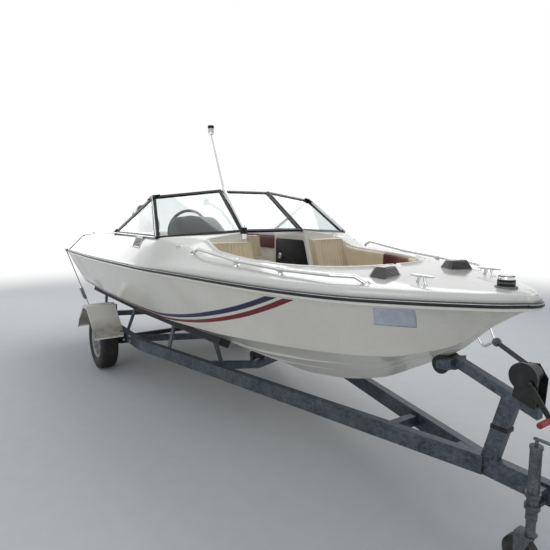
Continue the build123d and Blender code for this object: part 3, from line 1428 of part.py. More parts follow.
with BuildPart() as winch_post:
    with BuildSketch(side_plane(0)):
        Polygon(
            (POST_TOP_X - POST_LEAN - POST_HALF_LONG, DRAWBAR_TOP),
            (POST_TOP_X - POST_LEAN + POST_HALF_LONG, DRAWBAR_TOP),
            (POST_TOP_X + POST_HALF_LONG, arm_z(POST_TOP_X)),
            (POST_TOP_X - POST_HALF_LONG, arm_z(POST_TOP_X)),
            align=None,
        )
        Polygon(
            (ARM_AFT[0], ARM_AFT[1] - ARM_TALL / 2),
            (ARM_FORE[0], ARM_FORE[1] - ARM_TALL / 2),
            (ARM_FORE[0], ARM_FORE[1] + ARM_TALL / 2),
            (ARM_AFT[0], ARM_AFT[1] + ARM_TALL / 2),
            align=None,
        )
    extrude(amount=ARM_HALF, both=True)
    with BuildSketch(side_plane(0)):
        with Locations((ARM_AFT[0] + CHANNEL[0] / 2, ARM_AFT[1] - CHANNEL[0])):
            Rectangle(*CHANNEL[:2])
    extrude(amount=CHANNEL[2], both=True)
    for side in (1, -1):
        with BuildSketch(side_plane(side * BOW_CHEEK_Y)):
            Polygon(*[(BOW_ROLLER[0] + x, z) for x, z in BOW_CHEEK], align=None)
        extrude(amount=-side * CHEEK_THICK)
    with BuildSketch(side_plane(0)):
        with Locations(BOW_ROLLER):
            Circle(ROLLER_PIN)
    extrude(amount=BOW_CHEEK_Y + CHEEK_THICK + 4, both=True)
    add(trailer_frame.part, mode=Mode.SUBTRACT)

# Rollers: cotton-reel ones on the cross members and a larger one at the bow
ROLLER_HALF = 55
ROLLER_FLARE = 8
with BuildPart() as rollers:
    for x in CROSS_X:
        z = keel_roller_z(x)
        with BuildSketch(cross_plane(x)):
            Polygon(
                (-ROLLER_HALF, z + ROLLER_PIN + PIN_CLEAR),
                (-ROLLER_HALF, z + ROLLER_RADIUS + ROLLER_FLARE),
                (0, z + ROLLER_RADIUS),
                (ROLLER_HALF, z + ROLLER_RADIUS + ROLLER_FLARE),
                (ROLLER_HALF, z + ROLLER_PIN + PIN_CLEAR),
                align=None,
            )
        revolve(axis=Axis(place(x, 0, z), (0, 1, 0)))
    with BuildSketch(cross_plane(BOW_ROLLER[0])):
        z = BOW_ROLLER[1]
        end_y, end_radius = BOW_ROLLER_ENDS
        Polygon(
            (-end_y, z + ROLLER_PIN + PIN_CLEAR),
            (-end_y, z + end_radius),
            (-BOW_ROLLER_FLAT, z + end_radius),
            (0, z + ROLLER_RADIUS),
            (BOW_ROLLER_FLAT, z + end_radius),
            (end_y, z + end_radius),
            (end_y, z + ROLLER_PIN + PIN_CLEAR),
            align=None,
        )
    revolve(axis=Axis(place(BOW_ROLLER[0], 0, BOW_ROLLER[1]), (0, 1, 0)))
    add(hull_form.part, mode=Mode.SUBTRACT)

# Winch: side plates on a foot plate, the drum's shaft and the gear case over the crank's pinion
WINCH_PLATE = 5
WINCH_FOOT = (-52, 56)
FOOT_PLATE = 7
DRUM_SHAFT = 10
DRUM_GAP = 6
GEAR_CASE = (66, 16)
GEAR_CASE_DROP = 4
CRANK_SHAFT = 9
foot_aft, foot_fore = WINCH_X + WINCH_FOOT[0], WINCH_X + WINCH_FOOT[1]
foot_aft_z, foot_fore_z = arm_z(foot_aft) + ARM_TALL / 2, arm_z(foot_fore) + ARM_TALL / 2
with BuildPart() as winch_frame:
    for side in (1, -1):
        with BuildSketch(side_plane(side * WINCH_HALF)):
            Polygon(
                (foot_aft, foot_aft_z),
                (foot_fore, foot_fore_z),
                (foot_fore + 6, CRANK_Z + 10),
                (WINCH_X + 20, WINCH_Z + 46),
                (WINCH_X - 30, WINCH_Z + 40),
                align=None,
            )
        extrude(amount=-side * WINCH_PLATE)
    with BuildSketch(side_plane(0)):
        Polygon(
            (foot_aft, foot_aft_z),
            (foot_fore, foot_fore_z),
            (foot_fore, foot_fore_z + FOOT_PLATE),
            (foot_aft, foot_aft_z + FOOT_PLATE),
            align=None,
        )
    extrude(amount=WINCH_HALF, both=True)
    with BuildSketch(side_plane(0)):
        with Locations((WINCH_X, WINCH_Z)):
            Circle(DRUM_SHAFT)
    extrude(amount=WINCH_HALF + 8, both=True)
    with BuildSketch(side_plane(-WINCH_HALF - WINCH_PLATE)):
        with Locations((WINCH_X, WINCH_Z - GEAR_CASE_DROP)):
            Circle(GEAR_CASE[0])
        with Locations((CRANK_X, CRANK_Z)):
            Circle(CRANK_SHAFT + PIN_CLEAR, mode=Mode.SUBTRACT)
    extrude(amount=GEAR_CASE[1])
    with BuildSketch(side_plane(-WINCH_HALF)):
        with Locations((CRANK_X, CRANK_Z)):
            Circle(CRANK_SHAFT + PIN_CLEAR)
    extrude(amount=GEAR_CASE[1] + WINCH_PLATE + CUT_LAP, mode=Mode.SUBTRACT)

with BuildPart() as winch_drum:
    with BuildSketch(side_plane(0)):
        with Locations((WINCH_X, WINCH_Z)):
            Circle(DRUM_RADIUS)
            Circle(DRUM_SHAFT + PIN_CLEAR, mode=Mode.SUBTRACT)
    extrude(amount=WINCH_HALF - DRUM_GAP, both=True)

# Crank: its shaft, then a flat arm out to the grip, each as (start outwards from the frame, length)
CRANK_ROOT = (1, 38)
CRANK_ARM = (28, 7)
CRANK_WIDE = 26
CRANK_END = 15
GRIP_RADIUS = 13
CRANK_LONG = 165
CRANK_ANGLE = -52
GRIP_LONG = 95
crank_end = (
    CRANK_X + CRANK_LONG * math.cos(math.radians(CRANK_ANGLE)),
    CRANK_Z + CRANK_LONG * math.sin(math.radians(CRANK_ANGLE)),
)
with BuildPart() as winch_crank:
    with BuildSketch(side_plane(-WINCH_HALF - CRANK_ROOT[0])):
        with Locations((CRANK_X, CRANK_Z)):
            Circle(CRANK_SHAFT)
    extrude(amount=CRANK_ROOT[1])
    with BuildSketch(side_plane(-WINCH_HALF - CRANK_ARM[0])):
        with BuildLine():
            Line((CRANK_X, CRANK_Z), crank_end)
        trace(line_width=CRANK_WIDE)
        with Locations((CRANK_X, CRANK_Z), crank_end):
            Circle(CRANK_END)
    extrude(amount=CRANK_ARM[1])
with BuildPart() as crank_grip:
    with BuildSketch(side_plane(-WINCH_HALF - sum(CRANK_ARM))):
        with Locations(crank_end):
            Circle(GRIP_RADIUS)
    extrude(amount=GRIP_LONG)

# Winch strap from the drum's top to the hook, which hangs in the bow eye
STRAP_THICK = 2.5
STRAP_WIDE = 48
HOOK_AT = (76, -22)
HOOK_RADIUS = 21
HOOK_HALF = 7
strap_low = (WINCH_X - 20, WINCH_Z + DRUM_RADIUS - 2)
strap_high = (EYE_X + HOOK_AT[0] + 8, eye_z + HOOK_AT[1] - 4)
with BuildPart() as winch_strap:
    add(ribbon(side_plane(0), [strap_low, strap_high], STRAP_THICK, STRAP_WIDE))
    add(winch_drum.part, mode=Mode.SUBTRACT)
with BuildPart() as strap_hook:
    with BuildSketch(side_plane(0)):
        with Locations((EYE_X + HOOK_AT[0], eye_z + HOOK_AT[1])):
            Circle(HOOK_RADIUS)
    extrude(amount=HOOK_HALF, both=True)
    add(winch_strap.part, mode=Mode.SUBTRACT)
    add(bow_eye.part, mode=Mode.SUBTRACT)

# Jockey: clamped outer tube, sliding leg, swivel fork and wheel
JACK_TOP = 580
JACK_LOW = 250
LEG_RADIUS = JACK_RADIUS - JACK_WALL - PIN_CLEAR
LEG_TOP = 455
CROWN_Z = 166
JOCKEY_TRAIL = 38
JOCKEY_HALF = 24
JACK_CAP = (3, 14)
JACK_SCREW = (7, 40)
# Handle: middle forward of the tube, length, width and thickness; then its knob's place, radius, length
JACK_HANDLE = (50, 130, 20, 7)
JACK_KNOB = (104, 9, 55)
CLAMP_DROPS = (88, 32)
CLAMP_RING = (8, 20)
CLAMP_ARM = 40
CROWN_PIN = (8, 8, 30)
CROWN_LAP = 10
FORK_PLATE = (44, 20, 10, 9)
FORK_SIDE = 5
FORK_GAP = 4
FORK_LEG = (16, 20)
FORK_LOW = 14
JOCKEY_PIN = 8
with BuildPart() as jack_tube:
    with BuildSketch(plan_plane(JACK_LOW)):
        with Locations((JACK_X, JACK_Y)):
            Circle(JACK_RADIUS)
            Circle(JACK_RADIUS - JACK_WALL, mode=Mode.SUBTRACT)
    extrude(amount=JACK_TOP - JACK_LOW)
    with BuildSketch(plan_plane(JACK_TOP)):
        with Locations((JACK_X, JACK_Y)):
            Circle(JACK_RADIUS + JACK_CAP[0])
    extrude(amount=JACK_CAP[1])
    with BuildSketch(plan_plane(JACK_TOP)):
        with Locations((JACK_X, JACK_Y)):
            Circle(JACK_SCREW[0])
    extrude(amount=JACK_SCREW[1])
    with BuildSketch(plan_plane(JACK_TOP + JACK_SCREW[1])):
        with Locations((JACK_X + JACK_HANDLE[0], JACK_Y)):
            SlotOverall(*JACK_HANDLE[1:3])
    extrude(amount=JACK_HANDLE[3])
    with BuildSketch(plan_plane(JACK_TOP + JACK_SCREW[1] + JACK_HANDLE[3])):
        with Locations((JACK_X + JACK_KNOB[0], JACK_Y)):
            Circle(JACK_KNOB[1])
    extrude(amount=JACK_KNOB[2])
    for drop in CLAMP_DROPS:
        with BuildSketch(plan_plane(DRAWBAR_TOP - drop)):
            with Locations((JACK_X, (JACK_Y - RAIL_WIDE / 2) / 2)):
                Rectangle(CLAMP_ARM, -RAIL_WIDE / 2 - JACK_Y)
            with Locations((JACK_X, JACK_Y)):
                Circle(JACK_RADIUS + CLAMP_RING[0])
                Circle(JACK_RADIUS - 1, mode=Mode.SUBTRACT)
        extrude(amount=CLAMP_RING[1])
    with BuildSketch(plan_plane(JACK_LOW - 1)):
        with Locations((JACK_X, JACK_Y)):
            Circle(JACK_RADIUS - JACK_WALL)
    extrude(amount=JACK_TOP - JACK_LOW - 10, mode=Mode.SUBTRACT)

with BuildPart() as jockey_leg:
    with BuildSketch(plan_plane(CROWN_Z + CROWN_LAP)):
        with Locations((JACK_X, JACK_Y)):
            Circle(LEG_RADIUS)
    extrude(amount=LEG_TOP - CROWN_Z - CROWN_LAP)
    with BuildSketch(plan_plane(CROWN_Z - CROWN_PIN[1])):
        with Locations((JACK_X, JACK_Y)):
            Circle(CROWN_PIN[0])
    extrude(amount=CROWN_PIN[2])

with BuildPart() as jockey_fork:
    with BuildSketch(plan_plane(CROWN_Z)):
        with Locations((JACK_X - JOCKEY_TRAIL / 2, JACK_Y)):
            plate_long, plate_wide, plate_round, plate_thick = FORK_PLATE
            RectangleRounded(JOCKEY_TRAIL + plate_long, 2 * JOCKEY_HALF + plate_wide, plate_round)
        with Locations((JACK_X, JACK_Y)):
            Circle(CROWN_PIN[0] + PIN_CLEAR, mode=Mode.SUBTRACT)
    extrude(amount=plate_thick)
    for side in (1, -1):
        with BuildSketch(side_plane(JACK_Y + side * (JOCKEY_HALF + FORK_GAP))):
            Polygon(
                (JACK_X - JOCKEY_TRAIL - FORK_LEG[0], JOCKEY_RADIUS - FORK_LOW),
                (JACK_X - JOCKEY_TRAIL + FORK_LEG[0], JOCKEY_RADIUS - FORK_LOW),
                (JACK_X + FORK_LEG[0], CROWN_Z),
                (JACK_X - JOCKEY_TRAIL - FORK_LEG[1], CROWN_Z),
                align=None,
            )
        extrude(amount=-side * FORK_SIDE)
    with BuildSketch(side_plane(JACK_Y)):
        with Locations((JACK_X - JOCKEY_TRAIL, JOCKEY_RADIUS)):
            Circle(JOCKEY_PIN)
    extrude(amount=JOCKEY_HALF + FORK_LEG[0], both=True)

with BuildPart() as jockey_wheel:
    with BuildSketch(side_plane(JACK_Y)):
        with Locations((JACK_X - JOCKEY_TRAIL, JOCKEY_RADIUS)):
            Circle(JOCKEY_RADIUS)
            Circle(JOCKEY_PIN + PIN_CLEAR, mode=Mode.SUBTRACT)
    extrude(amount=JOCKEY_HALF, both=True)

# Tail lamps on the rear ends of the rails
LAMP_SIZE = (180, 96, 45)
with BuildPart() as tail_lamps:
    for side in (1, -1):
        with BuildSketch(cross_plane(RAIL_AFT)):
            with Locations((side * RAIL_Y, RAIL_TOP - RAIL_TALL / 2)):
                Rectangle(*LAMP_SIZE[:2])
        extrude(amount=-LAMP_SIZE[2])

# Tie-down straps from the stern cleats over the gunwale to the rails, each with its ratchet
TIE_X = 150
TIE_THICK = 2.5
TIE_WIDE = 45
TIE_LIFT = 2
TIE_IN = HALF_BEAM - 300
TIE_FOOT = (RAIL_Y + 34, RAIL_TOP - 20)
sheer = between(HULL, TIE_X)
d = between(DECK, TIE_X)
over = sheer.sheer * HALF_BEAM + RUB_RAIL_OUT
TIE_ROUTE = [
    (TIE_IN, deck_z(TIE_X, TIE_IN) + TIE_LIFT),
    (d.top * HALF_BEAM + TIE_LIFT, d.top_z + TIE_LIFT),
    (d.shoulder * HALF_BEAM + TIE_LIFT, d.shoulder_z + TIE_LIFT / 2),
    (over + TIE_LIFT, sheer.sheer_z + RUB_RAIL_HALF + TIE_LIFT / 2),
    (over + TIE_LIFT, sheer.sheer_z - RUB_RAIL_HALF),
    TIE_FOOT,
]
with BuildPart() as tie_down_straps:
    for side in (1, -1):
        add(ribbon(cross_plane(TIE_X), [(side * y, z) for y, z in TIE_ROUTE], TIE_THICK, TIE_WIDE))
    for other in (deck, hull, rub_rail, cleats, trailer_frame):
        add(other.part, mode=Mode.SUBTRACT)

# Ratchets: thickness, length and corner of the body, its tilt and width along the boat, then the hook
RATCHET_Z = 640
RATCHET_BODY = (34, 150, 12)
RATCHET_TILT = 18
RATCHET_LONG = 64
RATCHET_OUT = 12
HOOK_LONG = 32
HOOK_OUTLINE = [(26, -60), (32, -60), (44, -14), (26, -14)]
with BuildPart() as tie_ratchets:
    for side in (1, -1):
        t = (RATCHET_Z - TIE_FOOT[1]) / (TIE_ROUTE[4][1] - TIE_FOOT[1])
        y = TIE_FOOT[0] + (TIE_ROUTE[4][0] - TIE_FOOT[0]) * t
        with BuildSketch(cross_plane(TIE_X - RATCHET_LONG / 2)):
            turned = Location((side * (y + RATCHET_OUT), RATCHET_Z, 0), (0, 0, -side * RATCHET_TILT))
            with Locations(turned):
                RectangleRounded(*RATCHET_BODY)
        extrude(amount=RATCHET_LONG)
        with BuildSketch(cross_plane(TIE_X - HOOK_LONG / 2)):
            Polygon(*[(side * (RAIL_Y + y), RAIL_TOP + z) for y, z in HOOK_OUTLINE], align=None)
        extrude(amount=HOOK_LONG)
    add(tie_down_straps.part, mode=Mode.SUBTRACT)
    add(trailer_frame.part, mode=Mode.SUBTRACT)

PARTS = {
    "hull": hull,
    "deck": deck,
    "rub_rail": rub_rail,
    "cockpit_sole": cockpit_sole,
    "windscreen_frame": windscreen_frame,
    "windscreen_glass": windscreen_glass,
    "centre_window_frame": centre_window_frame,
    "centre_window_glass": centre_window_glass,
    "instrument_hood": instrument_hood,
    "helm_wheel": helm_wheel,
    "throttle_control": throttle_control,
    "seat_boxes": seat_boxes,
    "seat_cushions": seat_cushions,
    "seat_backs": seat_backs,
    "side_bolsters": side_bolsters,
    "bow_cushions": bow_cushions,
    "bow_backrests": bow_backrests,
    "bow_side_pads": bow_side_pads,
    "bow_rails": bow_rails,
    "cleats": cleats,
    "deck_vents": deck_vents,
    "bow_light": bow_light,
    "light_pole": light_pole,
    "bow_eye": bow_eye,
    "bow_card": bow_card,
    "clamp_bracket": clamp_bracket,
    "swivel_bracket": swivel_bracket,
    "engine_leg": engine_leg,
    "propeller": propeller,
    "engine_pan": engine_pan,
    "engine_cowl": engine_cowl,
    "engine_block": engine_block,
    "trailer_frame": trailer_frame,
    "coupler": coupler,
    "axle": axle,
    "wheel_port": wheels["port"],
    "wheel_starboard": wheels["starboard"],
    "tyre_port": tyres["port"],
    "tyre_starboard": tyres["starboard"],
    "fenders": fenders,
    "fender_brackets": fender_brackets,
    "bunks": bunks,
    "bunk_posts": bunk_posts,
    "rollers": rollers,
    "winch_post": winch_post,
    "winch_frame": winch_frame,
    "winch_drum": winch_drum,
    "winch_crank": winch_crank,
    "crank_grip": crank_grip,
    "winch_strap": winch_strap,
    "strap_hook": strap_hook,
    "jack_tube": jack_tube,
    "jockey_leg": jockey_leg,
    "jockey_fork": jockey_fork,
    "jockey_wheel": jockey_wheel,
    "tail_lamps": tail_lamps,
    "tie_down_straps": tie_down_straps,
    "tie_ratchets": tie_ratchets,
}
for name, builder in PARTS.items():
    builder.part.label = name
    export_step(builder.part, f"parts/{name}.step")
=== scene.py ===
import json
import math
import bmesh
import bpy
import numpy as np
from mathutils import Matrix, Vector


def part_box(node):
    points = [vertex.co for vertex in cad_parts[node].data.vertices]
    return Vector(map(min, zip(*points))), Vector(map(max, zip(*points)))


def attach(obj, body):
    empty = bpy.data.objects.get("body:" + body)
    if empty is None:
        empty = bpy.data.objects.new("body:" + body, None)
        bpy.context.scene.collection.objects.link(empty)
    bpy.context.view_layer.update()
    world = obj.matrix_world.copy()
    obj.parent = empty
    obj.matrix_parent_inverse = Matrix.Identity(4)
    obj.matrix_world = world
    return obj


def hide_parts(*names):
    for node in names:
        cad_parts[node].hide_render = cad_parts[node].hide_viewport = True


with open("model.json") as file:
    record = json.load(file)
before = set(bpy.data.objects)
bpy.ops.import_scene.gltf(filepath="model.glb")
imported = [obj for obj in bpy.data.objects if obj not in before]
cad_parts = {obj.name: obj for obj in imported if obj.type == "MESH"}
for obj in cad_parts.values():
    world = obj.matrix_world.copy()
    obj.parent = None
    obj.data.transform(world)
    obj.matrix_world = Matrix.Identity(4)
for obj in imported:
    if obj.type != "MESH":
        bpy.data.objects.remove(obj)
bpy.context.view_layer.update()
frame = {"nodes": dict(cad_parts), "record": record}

# View, light and floor. The camera stands off the starboard bow at eye height, as in the photograph.
# A pale floor under one large soft box overhead, a weaker one on each side and a white surround.
SCENE = bpy.context.scene
SCENE.view_settings.view_transform = "Standard"
CAMERA_PLACE = (3.6645, -2.1392, 1.5857)
CAMERA_YAW = 145.568
CAMERA_PITCH = 7.315
LENS = 30.75
WHITE_FROM = 5.5
WHITE_AT = 11.0


def linear(code):
    """Linear colour of an sRGB hex code: each channel goes through the sRGB curve."""
    parts = np.array([int(code[i:i + 2], 16) for i in (1, 3, 5)]) / 255
    curved = np.where(parts <= 0.04045, parts / 12.92, ((parts + 0.055) / 1.055) ** 2.4)
    return (*curved.tolist(), 1.0)


def put(tree, node, inputs):
    """Gives a node's inputs their values: a link from another node's socket, or a colour from a hex code."""
    for key, value in inputs.items():
        if isinstance(value, bpy.types.NodeSocket):
            tree.links.new(value, node.inputs[key])
        else:
            node.inputs[key].default_value = linear(value) if isinstance(value, str) else value


def add(tree, kind, inputs=None, **settings):
    """Adds one node to a tree, with its settings and then its inputs, and gives its first output."""
    node = tree.nodes.new("ShaderNode" + kind)
    for key, value in settings.items():
        setattr(node, key, value)
    put(tree, node, inputs or {})
    return node.outputs[0] if len(node.outputs) else node


camera = bpy.data.cameras.new("camera")
camera.lens = LENS
camera.sensor_width = 36
viewer = bpy.data.objects.new("camera", camera)
viewer.location = CAMERA_PLACE
viewer.rotation_euler = (math.radians(90 - CAMERA_PITCH), 0, math.radians(CAMERA_YAW - 90))
SCENE.collection.objects.link(viewer)
SCENE.camera = viewer


def seen_straight(tree):
    """1 for rays that come from the camera, a mirror or glass, and 0 for the light on a surface."""
    path = add(tree, "LightPath").node.outputs
    shiny = add(tree, "Math", {0: path["Is Glossy Ray"], 1: path["Is Transmission Ray"]}, operation="MAXIMUM")
    return add(tree, "Math", {0: shiny, 1: path["Is Camera Ray"]}, operation="MAXIMUM")


surround = bpy.data.worlds.new("surround")
surround.use_nodes = True
SCENE.world = surround
sky = surround.node_tree
sky.nodes.clear()
soft_fill = add(sky, "Background", {"Color": "#dfe6ee", "Strength": 0.55})
white_wall = add(sky, "Background", {"Color": (1, 1, 1, 1), "Strength": 1.0})
either = add(sky, "MixShader", {0: seen_straight(sky), 1: soft_fill, 2: white_wall})
add(sky, "OutputWorld", {0: either})

for name, place, aim, size, power in (
    ("overhead", (-1.5, 2.5, 5.5), (0, 0, 0.8), 5.0, 155),
    ("camera_side", (4.5, -6.0, 3.2), (0, 0, 0.8), 3.5, 68),
    ("stern_side", (-6.5, -1.5, 3.0), (0, 0, 0.8), 3.0, 45),
):
    lamp = bpy.data.lights.new(name, "AREA")
    lamp.size = size
    lamp.energy = power
    holder = bpy.data.objects.new(name, lamp)
    holder.location = place
    holder.rotation_euler = (Vector(aim) - Vector(place)).to_track_quat("-Z", "Y").to_euler()
    SCENE.collection.objects.link(holder)

floor_paint = bpy.data.materials.new("pale floor")
floor_paint.use_nodes = True
tree = floor_paint.node_tree
tree.nodes.clear()
spot = add(tree, "TexCoord").node.outputs["Object"]
far = add(tree, "VectorMath", {0: spot}, operation="LENGTH").node.outputs["Value"]
fade = add(tree, "MapRange", {"Value": far, "From Min": WHITE_FROM, "From Max": WHITE_AT},
           interpolation_type="SMOOTHSTEP")
whitened = add(tree, "Math", {0: fade, 1: seen_straight(tree)}, operation="MULTIPLY")
grain = add(tree, "TexNoise", {"Vector": spot, "Scale": 9.0, "Detail": 5.0})
tone = add(tree, "MapRange", {"Value": grain, "To Min": 0.66, "To Max": 0.72})
matt = add(tree, "BsdfDiffuse", {"Color": tone})
glow = add(tree, "Emission", {"Color": (1, 1, 1, 1), "Strength": 1.0})
both_ways = add(tree, "MixShader", {0: whitened, 1: matt, 2: glow})
add(tree, "OutputMaterial", {0: both_ways})
bpy.ops.mesh.primitive_circle_add(vertices=96, radius=60, fill_type="NGON")
floor = bpy.context.object
floor.name = "floor"
floor.data.materials.append(floor_paint)

# Hull: a deep V of hand-laid glass fibre with a hard chine, two lifting strakes a side, a raked transom
# cut down for the motor and a flange at the sheer. White gelcoat from a polished mould, so it is glossy.
# Places here are metres forward of the transom top, to port and up; the frame gives where that is.
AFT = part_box("hull")[0].x
HULL_LONG = 5.080
HALF_BEAM = 1.040
RAKE = math.tan(math.radians(8))
RAKE_FROM = 1.165
WELL_HALF = 0.390
WELL_LONG = 0.560
TRANSOM_TOP = 0.958
NOSE_ROUND = 0.022
# Share of the length; keel height; chine share of the half beam and height; sheer share and height
HULL_ROWS = np.array([
    (0.000, 0.450, 0.779, 0.770, 0.962, 1.165),
    (0.295, 0.420, 0.808, 0.770, 1.000, 1.180),
    (0.512, 0.398, 0.788, 0.780, 0.979, 1.192),
    (0.650, 0.403, 0.712, 0.795, 0.894, 1.195),
    (0.742, 0.462, 0.577, 0.800, 0.803, 1.190),
    (0.824, 0.579, 0.428, 0.815, 0.692, 1.186),
    (0.882, 0.733, 0.288, 0.840, 0.572, 1.184),
    (0.934, 0.896, 0.087, 0.930, 0.394, 1.184),
    (0.965, 1.044, 0.038, 1.075, 0.260, 1.184),
    (0.988, 1.125, 0.024, 1.142, 0.144, 1.184),
    (1.000, 1.160, 0.014, 1.168, 0.048, 1.184),
])
SIDE_HOLLOW = 0.056
HOLLOW_FROM = 0.62
HOLLOW_RUN = 0.30
CHINE_FLAT = 0.045
CHINE_END = 4.75
CHINE_FADE = 1.2
STRAKES = ((0.30, 4.15), (0.56, 4.35))
STRAKE_WIDE = 0.030
STRAKE_FADE = 0.7
# Stations where the deck's plan changes; the stations up to BOW_ROUND follow the round of the bow cockpit
BOW_ROUND = 4.450
BREAKS = (0.0, WELL_LONG, 0.64, 2.60, 3.06, 3.60, BOW_ROUND, HULL_LONG)
PER_STRETCH = (12, 4, 36, 12, 14, 28, 30)


def smooth(table_x, table_y, x):
    """A curve through a table's rows: a cubic between two rows, whose slope at a row is the harmonic
    mean of the two chords beside it, so that it never swings past a row."""
    chord = np.diff(table_y) / np.diff(table_x)
    before, after = chord[:-1], chord[1:]
    same = before * after > 0
    mean = np.where(same, 2 * before * after / np.where(same, before + after, 1), 0)
    slope = np.concatenate([chord[:1], mean, chord[-1:]])
    i = np.clip(np.searchsorted(table_x, x, side="right") - 1, 0, len(table_x) - 2)
    run = table_x[i + 1] - table_x[i]
    t = np.clip((x - table_x[i]) / run, 0, 1)
    return (table_y[i] * (1 + 2 * t) * (1 - t) ** 2 + table_y[i + 1] * t * t * (3 - 2 * t)
            + slope[i] * run * t * (1 - t) ** 2 - slope[i + 1] * run * t * t * (1 - t))


def hull_lines(x):
    """Keel height, chine half breadth and height, sheer half breadth and height at x."""
    share = np.asarray(x, float) / HULL_LONG
    keel, chine, chine_z, sheer, sheer_z = [smooth(HULL_ROWS[:, 0], column, share)
                                            for column in HULL_ROWS.T[1:]]
    return keel, chine * HALF_BEAM, chine_z, sheer * HALF_BEAM, sheer_z


def hull_side(x, t, lift=0.0):
    """Half breadth and height on the hull's side, a share t of the way from chine to sheer, a little
    hollow forward and full aft, lifted off the skin by lift."""
    keel, chine, chine_z, sheer, sheer_z = hull_lines(x)
    bow = np.clip((np.asarray(x) / HULL_LONG - HOLLOW_FROM) / HOLLOW_RUN, -0.35, 1)
    belly = -SIDE_HOLLOW * bow * t * (1 - t)
    run = np.hypot(sheer - chine, sheer_z - chine_z)
    out, up = (sheer_z - chine_z) / run, -(sheer - chine) / run
    y = chine + (sheer - chine) * t + out * (belly + lift)
    z = chine_z + (sheer_z - chine_z) * t + up * (belly + lift)
    return y, z


def rounded(corners, cuts, steps=4):
    """A line of corners (..., k, 3) with each inner corner replaced by a quadratic curve, which starts
    and ends the given cut away along the two runs that meet there."""
    inner = corners[..., 1:-1, :]
    back, ahead = corners[..., :-2, :] - inner, corners[..., 2:, :] - inner
    cuts = np.broadcast_to(cuts, inner.shape[:-1])[..., None]
    start, end = [inner + run * np.minimum(cuts / np.maximum(np.linalg.norm(run, axis=-1, keepdims=True),
                                                             1e-6), 0.45) for run in (back, ahead)]
    t = np.linspace(0, 1, steps)[:, None]
    bend = (start[..., None, :] * (1 - t) ** 2 + inner[..., None, :] * 2 * t * (1 - t)
            + end[..., None, :] * t * t)
    bend = bend.reshape(*bend.shape[:-3], -1, 3)
    return np.concatenate([corners[..., :1, :], bend, corners[..., -1:, :]], axis=-2)


def points(x, y, z):
    """Arrays of x, y and z, spread to one shape and put together as points."""
    return np.stack(np.broadcast_arrays(x, y, z), -1).astype(float)


def surface(grid, wrap=False, loop=False, ends=False, flip=False, paint=0):
    """Vertices and quads of a grid of points: wrap closes each row, loop joins the last row to the
    first, and ends closes the first and last rows with a face each."""
    rows, cols = grid.shape[:2]
    r, c = np.meshgrid(np.arange(rows if loop else rows - 1), np.arange(cols if wrap else cols - 1),
                       indexing="ij")
    r2, c2 = (r + 1) % rows, (c + 1) % cols
    quads = np.stack([r * cols + c, r * cols + c2, r2 * cols + c2, r2 * cols + c], -1).reshape(-1, 4)
    if flip:
        quads = quads[:, ::-1]
    faces = quads.tolist()
    if ends:
        faces += [list(range(cols))[::-1], list(range((rows - 1) * cols, rows * cols))]
    return grid.reshape(-1, 3), faces, paint


def mirrored(*surfaces):
    """The surfaces and their mirror images across the middle line, whose faces run the other way."""
    other = [(v * (1, -1, 1), [f[::-1] for f in faces], paint) for v, faces, paint in surfaces]
    return list(surfaces) + other


def make(name, surfaces, paints, body="root", stands_for=(), closed=True, sharp=40,
         solid=0.0, bevel=0.0):
    """One piece from a list of surfaces: welded, its faces turned outwards if it is closed, shaded
    smooth up to the sharp angle, and fixed to its body."""
    vertices, faces, shades, start = [], [], [], 0
    for v, f, paint in surfaces:
        vertices.append(v)
        faces += [[i + start for i in face] for face in f]
        shades += [paint] * len(f)
        start += len(v)
    mesh = bpy.data.meshes.new(name)
    mesh.from_pydata((np.concatenate(vertices) + (AFT, 0, 0)).tolist(), [], faces)
    mesh.polygons.foreach_set("material_index", shades)
    paints = paints if isinstance(paints, (list, tuple)) else [paints]
    for paint in paints:
        mesh.materials.append(paint)
    work = bmesh.new()
    work.from_mesh(mesh)
    bmesh.ops.remove_doubles(work, verts=work.verts, dist=0.0001)
    bmesh.ops.dissolve_degenerate(work, edges=work.edges, dist=0.00002)
    if closed:
        bmesh.ops.recalc_face_normals(work, faces=work.faces)
    work.to_mesh(mesh)
    work.free()
    mesh.shade_smooth()
    mesh.set_sharp_from_angle(angle=math.radians(sharp))
    piece = bpy.data.objects.new(name, mesh)
    SCENE.collection.objects.link(piece)
    if bevel:
        edge = piece.modifiers.new("edges", "BEVEL")
        edge.width = bevel
        edge.segments = 3
        edge.limit_method = "ANGLE"
        edge.angle_limit = math.radians(38)
        edge.use_clamp_overlap = False
        edge.harden_normals = True
    if solid:
        wall = piece.modifiers.new("wall", "SOLIDIFY")
        wall.thickness = solid
        wall.offset = -1
    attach(piece, body)
    if stands_for:
        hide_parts(*stands_for)
    return piece


def start_material(name):
    """A new material: the material, its tree, its shader and the piece's own coordinates in metres."""
    made = bpy.data.materials.new(name)
    made.use_nodes = True
    tree = made.node_tree
    return made, tree, tree.nodes["Principled BSDF"], add(tree, "TexCoord").node.outputs["Object"]


def blended(tree, factor, first, second):
    """The colour between two hex codes or sockets, by a factor."""
    return add(tree, "Mix", {0: factor, 6: first, 7: second}, data_type="RGBA").node.outputs[2]


